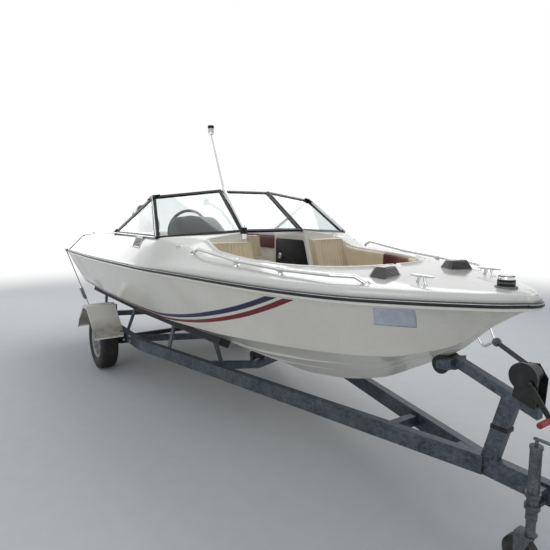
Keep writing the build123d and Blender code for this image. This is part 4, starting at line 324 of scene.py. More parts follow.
def gelcoat(name, colour, stain, roughness=0.16):
    """Polyester gelcoat off a polished mould: a clear gloss over a slightly wavy skin (waves of about
    60 mm and the weave's print of about 4 mm), with a faint yellowing and grime low down and in patches."""
    made, tree, shader, spot = start_material(name)
    patch = add(tree, "TexNoise", {"Vector": spot, "Scale": 2.2, "Detail": 6.0, "Roughness": 0.6})
    soft = add(tree, "MapRange", {"Value": patch, "From Min": 0.45, "From Max": 0.8, "To Max": 0.5})
    fine = add(tree, "TexNoise", {"Vector": spot, "Scale": 38.0, "Detail": 4.0})
    specks = add(tree, "MapRange", {"Value": fine, "From Min": 0.55, "From Max": 0.8, "To Max": 0.35})
    worn = add(tree, "Math", {0: soft, 1: specks}, operation="MAXIMUM")
    waves = add(tree, "TexNoise", {"Vector": spot, "Scale": 16.0, "Detail": 1.0})
    weave = add(tree, "TexNoise", {"Vector": spot, "Scale": 250.0, "Detail": 2.0})
    fibres = add(tree, "Bump", {"Height": weave, "Strength": 0.05, "Distance": 0.0004})
    bump = add(tree, "Bump", {"Height": waves, "Strength": 0.25, "Distance": 0.0012, "Normal": fibres})
    put(tree, shader, {"Base Color": blended(tree, worn, colour, stain),
                       "Roughness": add(tree, "MapRange", {"Value": fine, "To Min": roughness - 0.05,
                                                           "To Max": roughness + 0.08}),
                       "IOR": 1.5, "Coat Weight": 0.35, "Coat Roughness": 0.05, "Normal": bump})
    return made


hull_gelcoat = gelcoat("white polyester gelcoat, hull", "#ece9df", "#d2ccba")

along = np.concatenate([np.linspace(a, b, n, endpoint=False)
                        for a, b, n in zip(BREAKS, BREAKS[1:], PER_STRETCH)] + [[HULL_LONG]])
turn = np.linspace(0, math.pi / 2, 6)[1:]
station = np.concatenate([along, np.full(len(turn), HULL_LONG)])
reach = np.concatenate([np.zeros(len(along)), NOSE_ROUND * np.sin(turn)])
slim = np.concatenate([np.ones(len(along)), np.cos(turn)])


def round_nose(grid):
    """Rows past the last station swing round the blunt bow on a quarter of an ellipse."""
    shape = (-1,) + (1,) * (grid.ndim - 2)
    moved = grid.copy()
    moved[..., 0] += reach.reshape(shape)
    moved[..., 1] *= slim.reshape(shape)
    return moved


def raked(grid):
    """The aft end leans: a point below the sheer's height moves forward by the rake, less and less
    over the first half metre."""
    grid = grid.copy()
    lean = np.clip(RAKE_FROM - grid[..., 2], 0, None) * RAKE
    grid[..., 0] += lean * np.clip(1 - grid[..., 0] / WELL_LONG, 0, 1)
    return grid


keel, chine, chine_z, sheer, sheer_z = hull_lines(station)
flat = CHINE_FLAT * np.clip((CHINE_END - station) / CHINE_FADE, 0.05, 1)
inner_chine = np.maximum(chine - flat, chine * 0.55)


def bottom_height(y):
    """Height of the bottom panel, straight from the keel to the chine's inner corner."""
    return keel + (chine_z - 0.004 - keel) * y / inner_chine


corners = [(0 * keel, keel)]
cuts = []
for share, ends_at in STRAKES:
    wide = STRAKE_WIDE * np.clip((ends_at - station) / STRAKE_FADE, 0, 1) + 0.0005
    y = inner_chine * share
    corners += [(y, bottom_height(y)), (y + wide, bottom_height(y) + 0.002),
                (y + wide, bottom_height(y + wide))]
    cuts += [0.006, 0.004, 0.006]
corners += [(inner_chine, chine_z - 0.004), (chine, chine_z - 0.001)]
cuts += [0.008, 0.006]
side = points(station[:, None], *hull_side(station[:, None], np.linspace(0, 1, 15)))[:, 1:]
section = np.stack([points(station, y, z) for y, z in corners], 1)
section = rounded(np.concatenate([section, side[:, :1]], 1), cuts, 4)[:, :-1]
shell = raked(round_nose(np.concatenate([section, side], 1)))

# Transom: columns from the well's side to the corner, and the cut-down middle
across = np.linspace(0, 1, 22)
aft_keel, aft_chine, aft_chine_z, aft_sheer, aft_sheer_z = [float(v) for v in hull_lines(0.0)]


def transom_low(y):
    """Height of the transom's lower edge: the bottom, then the chine, then up the side."""
    low = aft_keel + (aft_chine_z - aft_keel) * y / aft_chine
    side = aft_chine_z + (aft_sheer_z - aft_chine_z) * (y - aft_chine) / (aft_sheer - aft_chine)
    return np.where(y < aft_chine, low, side)


def transom_panel(y_from, y_to, top):
    """A panel of the raked transom between two half breadths, from its lower edge up to top."""
    y = y_from + (y_to - y_from) * across[:, None]
    low = transom_low(y)
    z = low + (top - low) * np.linspace(0, 1, 12)
    return points((RAKE_FROM - z) * RAKE, y, z)


make("hull_shell", mirrored(surface(shell),
                            surface(transom_panel(0, WELL_HALF, TRANSOM_TOP), flip=True),
                            surface(transom_panel(WELL_HALF, aft_sheer, aft_sheer_z), flip=True)),
     hull_gelcoat, stands_for=["hull"], closed=False, solid=0.006, sharp=28)

# Stripes: one navy and one dark red, cut from vinyl film and pressed on. Each edge lies along the chine
# aft and climbs as the 2.2 power of the distance from where it leaves it; the front is cut to the sheer.
STRIPE_POWER = 2.2
STRIPE_AFT = 0.09
STRIPE_END = 0.87
STRIPE_LIFT = 0.0006
# Colour, then each edge's share of the side aft, its climb and where it leaves the chine
STRIPES = (
    ("stripe_navy", "#14264f", (0.075, 0.219, 2.207), (0.045, 0.239, 2.326)),
    ("stripe_red", "#7c1420", (0.035, 0.267, 2.442), (0.005, 0.283, 2.530)),
)


def film(name, colour):
    """Cast vinyl film: an even colour, glossy, with the skin's waves and a few scuffs."""
    made, tree, shader, spot = start_material(name)
    scuffs = add(tree, "TexNoise", {"Vector": spot, "Scale": 60.0, "Detail": 6.0, "Roughness": 0.7})
    worn = add(tree, "MapRange", {"Value": scuffs, "From Min": 0.6, "From Max": 0.8, "To Max": 0.25})
    waves = add(tree, "TexNoise", {"Vector": spot, "Scale": 16.0, "Detail": 1.0})
    put(tree, shader, {"Base Color": blended(tree, worn, colour, "#8d8f98"),
                       "Roughness": add(tree, "MapRange", {"Value": scuffs, "To Min": 0.14, "To Max": 0.3}),
                       "IOR": 1.5,
                       "Normal": add(tree, "Bump", {"Height": waves, "Strength": 0.25, "Distance": 0.0012})})
    return made


def stripe_edge(u, base, climb, leaves):
    """x and share t along one edge of a stripe: u runs from the stern to where the edge is cut off."""
    end = leaves + ((STRIPE_END - base) / climb) ** (1 / STRIPE_POWER)
    x = STRIPE_AFT + (end - STRIPE_AFT) * u
    return x, base + climb * np.clip(x - leaves, 0, None) ** STRIPE_POWER


u, v = np.linspace(0, 1, 160)[:, None], np.linspace(0, 1, 5)
for name, colour, top, low in STRIPES:
    (x_top, t_top), (x_low, t_low) = stripe_edge(u, *top), stripe_edge(u, *low)
    x, t = x_low + (x_top - x_low) * v, t_low + (t_top - t_low) * v
    skin = raked(points(x, *hull_side(x, t, STRIPE_LIFT)))
    make(name, mirrored(surface(skin)), film(name.replace("_", " ") + ", cast vinyl film", colour),
         closed=False, solid=0.0004, sharp=35)

# Deck: one glass-fibre moulding from the sheer over the gunwale to the edges of the cockpits, where it
# rolls into a bead and turns down as the liner. Pale gelcoat, moulded and polished like the hull's.
# Share of the length; edge band in and up; shoulder share and height; top share and height; crown height
DECK_ROWS = np.array([
    (0.000, 0.020, 0.015, 0.865, 1.253, 0.788, 1.330, 1.345),
    (0.295, 0.020, 0.020, 0.928, 1.310, 0.870, 1.400, 1.412),
    (0.512, 0.015, 0.025, 0.918, 1.330, 0.885, 1.415, 1.440),
    (0.561, 0.012, 0.030, 0.913, 1.330, 0.885, 1.415, 1.460),
    (0.600, 0.012, 0.040, 0.870, 1.300, 0.808, 1.370, 1.470),
    (0.650, 0.015, 0.045, 0.827, 1.275, 0.750, 1.315, 1.350),
    (0.742, 0.014, 0.048, 0.740, 1.262, 0.654, 1.295, 1.315),
    (0.824, 0.014, 0.050, 0.625, 1.256, 0.519, 1.278, 1.290),
    (0.882, 0.014, 0.050, 0.500, 1.250, 0.385, 1.265, 1.275),
    (0.934, 0.014, 0.048, 0.327, 1.243, 0.231, 1.250, 1.256),
    (0.965, 0.012, 0.046, 0.207, 1.238, 0.135, 1.242, 1.245),
    (0.988, 0.010, 0.045, 0.106, 1.234, 0.067, 1.236, 1.237),
    (1.000, 0.008, 0.041, 0.031, 1.228, 0.019, 1.229, 1.230),
])
COCKPIT_HALF = 0.800
COCKPIT_AFT = 0.640
DASH_X = 2.600
CONSOLE_X = 3.060
WALK_HALF = 0.290
BOW_HALF = 0.620
BOW_STRAIGHT = 3.600
BOW_END = 4.270
BOW_POWER = 2.3
WELL_FLOOR = 0.925
SEAT_FLOOR = 0.950
SOLE_Z = 0.770
SOLE_HALF = 0.715
BEAD_HIGH = 0.013
BEAD_WIDE = 0.013
BEAD_FADE = 0.050


def deck_lines(x):
    """The deck section at x: band in and up, shoulder, top and crown, as half breadths and heights."""
    share = np.asarray(x, float) / HULL_LONG
    band_in, band_up, shoulder, shoulder_z, top, top_z, crown = [
        smooth(DECK_ROWS[:, 0], column, share) for column in DECK_ROWS.T[1:]]
    return band_in, band_up, shoulder * HALF_BEAM, shoulder_z, top * HALF_BEAM, top_z, crown


def deck_height(x, y):
    """Height of the deck's skin at x and y: straight between the section's corners and crowned inside
    the top line, averaged over 50 mm across so that the shoulders are round."""
    keel, chine, chine_z, sheer, sheer_z = hull_lines(x)
    band_in, band_up, shoulder, shoulder_z, top, top_z, crown = deck_lines(x)
    edge, edge_z = sheer - band_in, sheer_z + band_up
    total = 0
    shifts = np.linspace(-0.025, 0.025, 7)
    for shift in shifts:
        a = np.abs(np.abs(y) + shift)
        outer = edge_z + (shoulder_z - edge_z) * (edge - a) / (edge - shoulder)
        slope = shoulder_z + (top_z - shoulder_z) * (shoulder - a) / (shoulder - top)
        inner = top_z + (crown - top_z) * (1 - (a / top) ** 1.5)
        total = total + np.where(a > shoulder, outer, np.where(a > top, slope, inner))
    return total / len(shifts)


def bow_edge(turn):
    """The front of the bow cockpit: a superellipse from its straight side to the middle."""
    return (BOW_STRAIGHT + (BOW_END - BOW_STRAIGHT) * np.sin(turn) ** (2 / BOW_POWER),
            BOW_HALF * np.clip(np.cos(turn), 0, 1) ** (2 / BOW_POWER))


# Where each line across the deck ends inboard, station by station
rounding = (station > BOW_STRAIGHT) & (station <= BOW_ROUND)
share = np.clip((station - BOW_STRAIGHT) / (BOW_ROUND - BOW_STRAIGHT), 0, 1)
round_x, round_y = bow_edge(share * math.pi / 2)
ahead = BOW_END + (station - BOW_ROUND) / (HULL_LONG - BOW_ROUND) * (HULL_LONG - BOW_END)
inner_x = np.where(station <= BOW_STRAIGHT, station, np.where(rounding, round_x, ahead))
inner_y = np.interp(station, (DASH_X, CONSOLE_X), (COCKPIT_HALF, BOW_HALF))
inner_y = np.where(rounding, round_y, np.where(station > BOW_ROUND, 0, inner_y))


def open_edge(start, end):
    """Share of the bead at each station: whole where the deck ends at an opening, fading at its ends."""
    return np.clip(np.minimum(station - start, end - station) / BEAD_FADE, 0, 1)


bead = np.where(station >= CONSOLE_X, np.clip((station - CONSOLE_X) / BEAD_FADE, 0, 1),
                open_edge(COCKPIT_AFT, DASH_X))
bead = np.where(station > BOW_ROUND, np.clip(1 - (station - BOW_ROUND) / 0.01, 0, 1), bead)

band_in, band_up, *_ = deck_lines(station)
edge_y = np.maximum(sheer - band_in, 0.004)
foot = points(station, sheer, sheer_z)
band = points(station, edge_y, sheer_z + band_up)
shelf_run = points(inner_x, inner_y, 0 * station) - points(station, edge_y, 0 * station)
shelf_len = np.linalg.norm(shelf_run, axis=-1)
first = np.minimum(0.03 / shelf_len, 0.3)


def strip_row(share):
    """Points a share of the way from the band's top to the inboard line, at the deck's height."""
    at = points(station, edge_y, 0 * station) + shelf_run * share[:, None]
    at[:, 2] = deck_height(at[:, 0], at[:, 1])
    return at


in_from_edge = np.array([0.060, 0.050, 0.042, 0.036, 0.030, 0.024, 0.018, 0.012, 0.006, 0.0])
share_rows = [first + (1 - 0.075 / np.maximum(shelf_len, 0.1) - first) * s for s in np.linspace(0, 1, 16)]
share_rows += [1 - np.minimum(d / np.maximum(shelf_len, 0.1), 0.07 + d) for d in in_from_edge]
deck_rows = []
for share in share_rows:
    row = strip_row(np.clip(share, 0, 1))
    inward = (1 - share) * shelf_len
    row[:, 2] += bead * BEAD_HIGH * np.exp(-((inward - 0.020) / BEAD_WIDE) ** 2)
    deck_rows.append(row)
edge_turn = rounded(np.stack([foot, band, deck_rows[0]], 1), 0.014, 6)[:, :-1]
deck_strip = round_nose(np.concatenate([edge_turn, np.stack(deck_rows, 1)], 1))
edge_line = deck_rows[-1]


def between_stations(start, end):
    """Which stations lie from start to end."""
    return (station >= start - 1e-6) & (station <= end + 1e-6) & (slim == 1)


def inner_patch(start, end, y_to, count):
    """Deck surface inboard of the strip between two stations, at the deck's height."""
    pick = between_stations(start, end)
    x = station[pick][:, None]
    y = inner_y[pick][:, None]
    y = y + (y_to - y) * np.linspace(0, 1, count)
    return points(x, y, deck_height(x, y))


def unit(v):
    """A vector, or each vector of an array, drawn to a length of one."""
    v = np.asarray(v, float)
    return v / np.linalg.norm(v, axis=-1, keepdims=True)


def drop(top, way, profile):
    """A wall that turns down from an edge: each step of the profile lies a distance along way, which
    points into the opening, and a distance down."""
    return np.stack([top + way * out - np.array((0, 0, 1)) * down for out, down in profile], 1)


TURN_DOWN = ((0, 0), (0.004, 0.0015), (0.0065, 0.005), (0.007, 0.010))
LINER_IN = 0.007
KNEE = ((COCKPIT_HALF - LINER_IN, 1.36), (COCKPIT_HALF - LINER_IN, 1.19), (SOLE_HALF, SOLE_Z))
cockpit_edge = edge_line[between_stations(COCKPIT_AFT, DASH_X)]
cockpit_wall = np.concatenate([
    drop(cockpit_edge, np.array((0, -1.0, 0)), TURN_DOWN),
    rounded(np.stack([points(cockpit_edge[:, 0], y, z) for y, z in KNEE], 1), 0.06, 8)], 1)

bow_rim = edge_line[between_stations(CONSOLE_X, BOW_ROUND)]
tangent = np.gradient(bow_rim, axis=0)
way = -unit(points(-tangent[:, 1], tangent[:, 0], 0))
way[-1] = (-1, 0, 0)
bow_wall = drop(bow_rim, way, TURN_DOWN)
bow_low = bow_wall[:, -1] * (1, 1, 0) + (0, 0, SEAT_FLOOR)
bow_wall = np.concatenate([bow_wall, np.linspace(bow_wall[:, -1], bow_low, 8, axis=1)[:, 1:]], 1)

liner_gelcoat = gelcoat("white polyester gelcoat, liner", "#e4e2da", "#c9c4b6", 0.22)
deck_gelcoat = gelcoat("white polyester gelcoat, deck", "#eceae3", "#d5d1c5", 0.15)
deck_grids = [deck_strip, inner_patch(0, WELL_LONG, WELL_HALF, 10),
              inner_patch(WELL_LONG, COCKPIT_AFT, 0.0, 16), inner_patch(DASH_X, CONSOLE_X, WALK_HALF, 12),
              cockpit_wall, bow_wall]
make("deck_moulding", mirrored(*[surface(grid, flip=True) for grid in deck_grids]), deck_gelcoat,
     stands_for=["deck"], closed=False, solid=0.004, sharp=30)

# Liner: the inner glass-fibre moulding with the cockpit's ends, the consoles' rooms and walls, the motor
# well and the seats of the bow cockpit, bonded under the deck. Pale gelcoat, a little duller than outside.
TRANSOM_IN = 0.060
WELL_FORE = 0.940
CORNER_Z = 1.320
ROOM_IN = 0.320
ROOM_OUT = 0.675
ROOM_FOOT = 3.120
ROOM_HEAD = 2.970
STEP_X = 3.270
FOOT_HALF = 0.250
FOOT_END = 3.880
FACE_TOP = 1.410
FACE_LEAN = 0.326
# Points in the open spaces, which the liner's panels look at
ASTERN, WELL_AIR, COCKPIT_AIR, ROOM_AIR = (-2, 0.7, 1.2), (0.3, 0, 1.2), (1.6, 0, 1.2), (2.8, 0.5, 1.05)
WALKWAY_AIR, FOOTWELL_AIR, BOW_AIR, ABOVE = (2.9, 0, 1.2), (3.5, 0, 0.87), (3.6, 0, 1.3), (1.5, 0.3, 3.0)


def faced(grid, toward):
    """A grid's surface, flipped if need be so that its front is turned towards a point."""
    middle = grid.reshape(-1, 3).mean(0)
    normal = np.cross(grid[-1, 0] - grid[0, -1], grid[-1, -1] - grid[0, 0])
    return surface(grid, flip=bool(normal @ (np.array(toward) - middle) < 0))


def open_panel(corners, toward):
    """A four-cornered panel, straight between its corners both ways, whose front is turned towards a
    point in the open space beside it."""
    a, b, c, d = [np.array(p, float) for p in corners]
    u = np.linspace(0, 1, 6)[:, None, None]
    v = np.linspace(0, 1, 6)[None, :, None]
    return faced(a * (1 - u) * (1 - v) + b * u * (1 - v) + c * u * v + d * (1 - u) * v, toward)


def level_panel(low, high, toward):
    """An open panel square to one direction, given by two opposite corners."""
    first, second = [i for i in range(3) if low[i] != high[i]]
    corners = np.array([low, low, high, high], float)
    corners[1, first], corners[3, first] = high[first], low[first]
    return open_panel(corners, toward)


def up_to_deck(x, y, low, share):
    """A wall from a low edge up to the deck's skin above it."""
    return points(x, y, low + (deck_height(x, y) - low) * share)


def liner_half(z):
    """Half width of the cockpit liner at height z: the sides lean out up to the knee."""
    return np.interp(z, (SOLE_Z, 1.19, 1.21), (SOLE_HALF, COCKPIT_HALF - LINER_IN, COCKPIT_HALF))


def console_face(z):
    """Where the consoles' forward face stands at height z."""
    return CONSOLE_X + (FACE_TOP - z) * FACE_LEAN


def room_panel(*corners):
    """A panel of the leg room under a dash, whose forward end leans back. Each corner is given as fore
    or aft, outer or inner and upper or lower, by ones and noughts."""
    places = [((ROOM_FOOT, ROOM_HEAD)[up] if fore else DASH_X, (ROOM_IN, ROOM_OUT)[out],
               (SOLE_Z, CORNER_Z)[up]) for fore, out, up in corners]
    return open_panel(places, ROOM_AIR)


stern_y = np.linspace(WELL_HALF, aft_sheer, 40)[:, None]
stern_in, stern_up = float(band_in[0]), float(band_up[0])
stern_top = np.where(stern_y > aft_sheer - stern_in,
                     aft_sheer_z + (aft_sheer - stern_y) / stern_in * stern_up, deck_height(0.0, stern_y))
stern_face = points(0.0, stern_y, aft_sheer_z + (stern_top - aft_sheer_z) * np.linspace(0, 1, 6))
rise = np.linspace(0, 1, 14)
well_x = np.linspace(0, 1, 20)[:, None]
well_side = up_to_deck(well_x * WELL_LONG, WELL_HALF, WELL_FLOOR, rise)
well_start = np.clip(RAKE_FROM - well_side[..., 2], 0, None) * RAKE
well_side[..., 0] = well_start + (WELL_LONG - well_start) * well_x
well_end = up_to_deck(WELL_LONG, np.linspace(0, WELL_HALF, 12)[:, None], WELL_FORE, rise)
cap_x = (RAKE_FROM - TRANSOM_TOP) * RAKE
fine_rise = np.linspace(0, 1, 16)
share_y = np.linspace(0, 1, 16)[:, None]
bulkhead_z = up_to_deck(COCKPIT_AFT, share_y * COCKPIT_HALF, SOLE_Z, fine_rise)[..., 2]
bulkhead = points(COCKPIT_AFT, share_y * liner_half(bulkhead_z), bulkhead_z)
dash_band = up_to_deck(DASH_X, np.linspace(WALK_HALF, COCKPIT_HALF, 16)[:, None], CORNER_Z, rise)
pillar_z = np.linspace(SOLE_Z, CORNER_Z, 14)
pillar_y = ROOM_OUT + (liner_half(pillar_z) - ROOM_OUT) * np.linspace(0, 1, 4)[:, None]
outer_pillar = points(DASH_X, pillar_y, pillar_z)
walk_x = np.linspace(0, 1, 12)[:, None]
walk_z = up_to_deck(DASH_X + walk_x * (CONSOLE_X - DASH_X), WALK_HALF, SOLE_Z, fine_rise)[..., 2]
walk_end = np.where(walk_z > FACE_TOP, CONSOLE_X, np.where(walk_z > SEAT_FLOOR, console_face(walk_z), STEP_X))
walk_wall = points(DASH_X + (walk_end - DASH_X) * walk_x, WALK_HALF, walk_z)
front_y = np.linspace(WALK_HALF, BOW_HALF, 14)[:, None]
lean_z = np.linspace(SEAT_FLOOR, FACE_TOP, 12)
front_lean = points(console_face(lean_z), front_y, lean_z)
front_head = up_to_deck(CONSOLE_X, front_y, FACE_TOP, np.linspace(0, 1, 5))
seat_in = np.minimum(bow_low, (FOOT_END, FOOT_HALF, SEAT_FLOOR))
seat_floor = np.linspace(bow_low, seat_in, 8, axis=1)
make("liner", mirrored(
    faced(stern_face, ASTERN), faced(well_side, WELL_AIR), faced(well_end, WELL_AIR),
    level_panel((cap_x, 0, TRANSOM_TOP), (TRANSOM_IN, WELL_HALF, TRANSOM_TOP), ABOVE),
    level_panel((TRANSOM_IN, 0, TRANSOM_TOP), (TRANSOM_IN, WELL_HALF, WELL_FLOOR), WELL_AIR),
    open_panel([(TRANSOM_IN, 0, WELL_FLOOR), (WELL_LONG, 0, WELL_FORE), (WELL_LONG, WELL_HALF, WELL_FORE),
                (TRANSOM_IN, WELL_HALF, WELL_FLOOR)], ABOVE),
    faced(bulkhead, COCKPIT_AIR), faced(dash_band, COCKPIT_AIR), faced(outer_pillar, COCKPIT_AIR),
    level_panel((DASH_X, WALK_HALF, SOLE_Z), (DASH_X, ROOM_IN, CORNER_Z), COCKPIT_AIR),
    room_panel((0, 0, 0), (1, 0, 0), (1, 0, 1), (0, 0, 1)),
    room_panel((0, 1, 0), (1, 1, 0), (1, 1, 1), (0, 1, 1)),
    room_panel((0, 0, 1), (1, 0, 1), (1, 1, 1), (0, 1, 1)),
    room_panel((1, 0, 0), (1, 1, 0), (1, 1, 1), (1, 0, 1)),
    room_panel((0, 0, 0), (1, 0, 0), (1, 1, 0), (0, 1, 0)),
    faced(walk_wall, WALKWAY_AIR), faced(front_lean, BOW_AIR), faced(front_head, (3.6, 0, 1.5)),
    faced(seat_floor, ABOVE),
    level_panel((STEP_X, FOOT_HALF, SOLE_Z), (FOOT_END, FOOT_HALF, SEAT_FLOOR), FOOTWELL_AIR),
    level_panel((FOOT_END, 0, SOLE_Z), (FOOT_END, FOOT_HALF, SEAT_FLOOR), FOOTWELL_AIR),
    level_panel((STEP_X, FOOT_HALF, SOLE_Z), (STEP_X, WALK_HALF, SEAT_FLOOR), WALKWAY_AIR),
), liner_gelcoat, closed=False, solid=0.003, sharp=30)

# Rub rail: an extruded vinyl strake screwed over the joint of hull and deck, with a bright insert pressed
# into its face that covers the screws, and the hull's own white flange showing below it.
RAIL_BODY = ((-0.004, -0.0115), (0.013, -0.0115), (0.019, -0.0095), (0.0215, -0.0060), (0.0215, 0.0030),
             (0.018, 0.0040), (0.018, 0.0090), (0.0200, 0.0100), (0.016, 0.0120), (-0.006, 0.0120))
RAIL_INSERT = ((0.016, 0.0040), (0.0200, 0.0042), (0.0214, 0.0052), (0.0214, 0.0078), (0.0200, 0.0088),
               (0.016, 0.0090))
FLANGE = ((-0.004, -0.0270), (0.006, -0.0268), (0.010, -0.0250), (0.010, -0.0120), (-0.004, -0.0115))


def carried(path, profile, up=(0, 0, 1), paint=0):
    """A closed profile carried along a path. Its first coordinate goes sideways, along the cross product
    of the path's direction and up, and its second goes square to both."""
    path, profile = np.asarray(path, float), np.asarray(profile, float)
    ahead = unit(np.gradient(path, axis=0))
    side = unit(np.cross(ahead, np.broadcast_to(up, ahead.shape)))
    over = np.cross(side, ahead)
    grid = path[:, None] + side[:, None] * profile[:, :1] + over[:, None] * profile[:, 1:]
    return surface(grid, wrap=True, ends=True, paint=paint)


def finish(name, colour, worn, patch, rough, grain, depth, metal=0.0, coat=0.0, share=(0.45, 0.75), ior=1.5):
    """A finish whose colour shifts to a worn one in patches of a size in metres, by the noise between two
    levels. Its roughness runs between two values, and a grain of a size in metres stands out by depth."""
    made, tree, shader, spot = start_material(name)
    wide = add(tree, "TexNoise", {"Vector": spot, "Scale": 1 / patch, "Detail": 7.0, "Roughness": 0.62})
    fine = add(tree, "TexNoise", {"Vector": spot, "Scale": 1 / grain, "Detail": 3.0})
    low = add(tree, "Math", {0: wide, 1: -0.25}, operation="ADD")
    both = add(tree, "Math", {0: fine, 1: 0.5, 2: low}, operation="MULTIPLY_ADD")
    rubbed = {"Value": both, "From Min": 0.25, "From Max": 0.8, "To Min": rough[0], "To Max": rough[1]}
    aged = add(tree, "MapRange", {"Value": both, "From Min": share[0], "From Max": share[1]})
    bump = add(tree, "Bump", {"Height": fine, "Strength": 0.6, "Distance": depth})
    put(tree, shader, {"Base Color": blended(tree, aged, colour, worn),
                       "Roughness": add(tree, "MapRange", rubbed),
                       "Metallic": metal, "IOR": ior, "Coat Weight": coat, "Coat Roughness": 0.08,
                       "Normal": bump})
    return made


# Satin black vinyl, a little chalky where the sun has reached it
rail_vinyl = finish("black vinyl extrusion, rub rail", "#17181a", "#3a3c3e", 0.12, (0.32, 0.55), 0.003,
                    0.0002)
# Bright anodised aluminium: a soft mirror with fine lines from the die
bright_alloy = finish("bright anodised aluminium", "#c9ccd0", "#a2a6aa", 0.05, (0.16, 0.34), 0.0015, 0.00008,
                      metal=1.0)
rail_side = round_nose(points(station, sheer, sheer_z))[:-1]
rail_nose = rail_side[-1:] * (1, 0, 1) + (0.004, 0, 0)
rail_path = np.concatenate([rail_side * (1, -1, 1), rail_nose, rail_side[::-1]])
make("rub_rail_strake", [carried(rail_path, RAIL_BODY), carried(rail_path, RAIL_INSERT, paint=1),
                         carried(rail_path, FLANGE, paint=2)],
     [rail_vinyl, bright_alloy, hull_gelcoat], stands_for=["rub_rail"], sharp=50)

# Cockpit carpet: needle-punched polypropylene in dark grey, glued to the sole. Short looped pile of about
# 3 mm, matt, with flecks of lighter fibre and lanes flattened by feet.


def carpet(name, colour, fleck):
    """Looped pile: cells of about 3 mm with a soft top each, coloured loop by loop, with a sheen."""
    made, tree, shader, spot = start_material(name)
    loops = add(tree, "TexVoronoi", {"Vector": spot, "Scale": 320.0, "Randomness": 0.8})
    lanes = add(tree, "TexNoise", {"Vector": spot, "Scale": 5.0, "Detail": 5.0})
    tuft = add(tree, "TexNoise", {"Vector": spot, "Scale": 420.0, "Detail": 2.0})
    flecks = add(tree, "MapRange", {"Value": tuft, "From Min": 0.5, "From Max": 0.72, "To Max": 0.6})
    trodden = add(tree, "MapRange", {"Value": lanes, "From Min": 0.4, "From Max": 0.75, "To Max": 0.3})
    shade = add(tree, "Math", {0: flecks, 1: trodden}, operation="MAXIMUM")
    bump = add(tree, "Bump", {"Height": loops, "Strength": 0.8, "Distance": 0.002}, invert=True)
    put(tree, shader, {"Base Color": blended(tree, shade, colour, fleck), "Roughness": 0.95,
                       "Sheen Weight": 0.25, "Sheen Roughness": 0.5, "Normal": bump})
    return made


def refit(node, paint):
    """Gives a node that stays as it is a better material in each of its slots."""
    thing = frame["nodes"][node]
    for spot in thing.material_slots:
        spot.material = paint


refit("cockpit_sole", carpet("needle-punched carpet, dark grey", "#3b3c3f", "#6a6b6d"))

# Windscreen: glass in black anodised aluminium extrusions, two front panes, two side panes and an opening
# window between them. Bright trims cover the joint with the deck, and run up the corner posts.
SIDE_BASE = np.array((2.847, 0.922, 1.415))
SIDE_TOP = np.array((2.452, 0.795, 1.734))
POST_BASE = np.array((3.021, 0.282, 1.456))
POST_TOP = np.array((2.561, 0.236, 1.794))
AFT_BASE = np.array((1.670, 0.900, 1.413))


def merged(node):
    """A welded copy of a node's mesh, with its flat faces made whole again."""
    mesh = frame["nodes"][node].data.copy()
    work = bmesh.new()
    work.from_mesh(mesh)
    bmesh.ops.remove_doubles(work, verts=work.verts, dist=0.00001)
    bmesh.ops.dissolve_limit(work, angle_limit=math.radians(0.8), verts=work.verts, edges=work.edges)
    work.to_mesh(mesh)
    work.free()
    mesh.shade_smooth()
    mesh.set_sharp_from_angle(angle=math.radians(32))
    return mesh


def softened(node, paint, width, segments=2):
    """A welded copy of a node with its sharp edges rounded by width, as they are on the real piece, fixed
    to the same body and shown in its place."""
    piece = bpy.data.objects.new(node + "_shape", merged(node))
    SCENE.collection.objects.link(piece)
    piece.data.materials.clear()
    piece.data.materials.append(paint)
    for face in piece.data.polygons:
        face.material_index = 0
    edge = piece.modifiers.new("edges", "BEVEL")
    edge.width = width
    edge.segments = segments
    edge.limit_method = "ANGLE"
    edge.angle_limit = math.radians(32)
    edge.harden_normals = True
    body = next(name for name, nodes in frame["record"]["behaviour"]["bodies"].items() if node in nodes)
    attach(piece, body)
    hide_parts(node)
    return piece


# Black anodising: a dense satin black over fine die lines, worn to grey specks
black_alloy = finish("black anodised aluminium", "#08090a", "#1b1c1f", 0.08, (0.30, 0.46), 0.002, 0.00008,
                     share=(0.55, 0.85), ior=1.26)
softened("windscreen_frame", black_alloy, 0.0035, 3)
softened("centre_window_frame", black_alloy, 0.0035, 3)


def glass(name, colour, roughness):
    """Toughened glass: clear, with a faint grey-green body and a film of dust that dulls it in patches."""
    made, tree, shader, spot = start_material(name)
    dust = add(tree, "TexNoise", {"Vector": spot, "Scale": 7.0, "Detail": 6.0})
    dull = add(tree, "MapRange", {"Value": dust, "From Min": 0.4, "From Max": 0.8, "To Min": roughness,
                                  "To Max": roughness + 0.05})
    put(tree, shader, {"Base Color": blended(tree, dust, colour, "#f2f7f6"), "Roughness": dull,
                       "Transmission Weight": 1.0, "IOR": 1.45})
    return made


screen_glass = glass("toughened glass, light grey tint", "#dfe8ea", 0.01)
refit("windscreen_glass", screen_glass)
refit("centre_window_glass", screen_glass)


def full_turn(steps):
    """Angles of equal steps once round."""
    return np.linspace(0, 2 * math.pi, steps, endpoint=False)


def oval(turn, power):
    """A round outline whose cosine and sine are raised to a power below one, so that it fills its corners."""
    cos, sin = np.cos(turn), np.sin(turn)
    return np.sign(cos) * np.abs(cos) ** power, np.sign(sin) * np.abs(sin) ** power


def strip(start, end, outward, wide, thick, paint=0):
    """A flat bar with rounded edges between two points, wide across and thick outwards."""
    across, out = oval(full_turn(16), 0.45)
    profile = np.stack([across * wide / 2, out * thick / 2], 1)
    return carried(np.linspace(start, end, 3), profile, unit(outward), paint=paint)


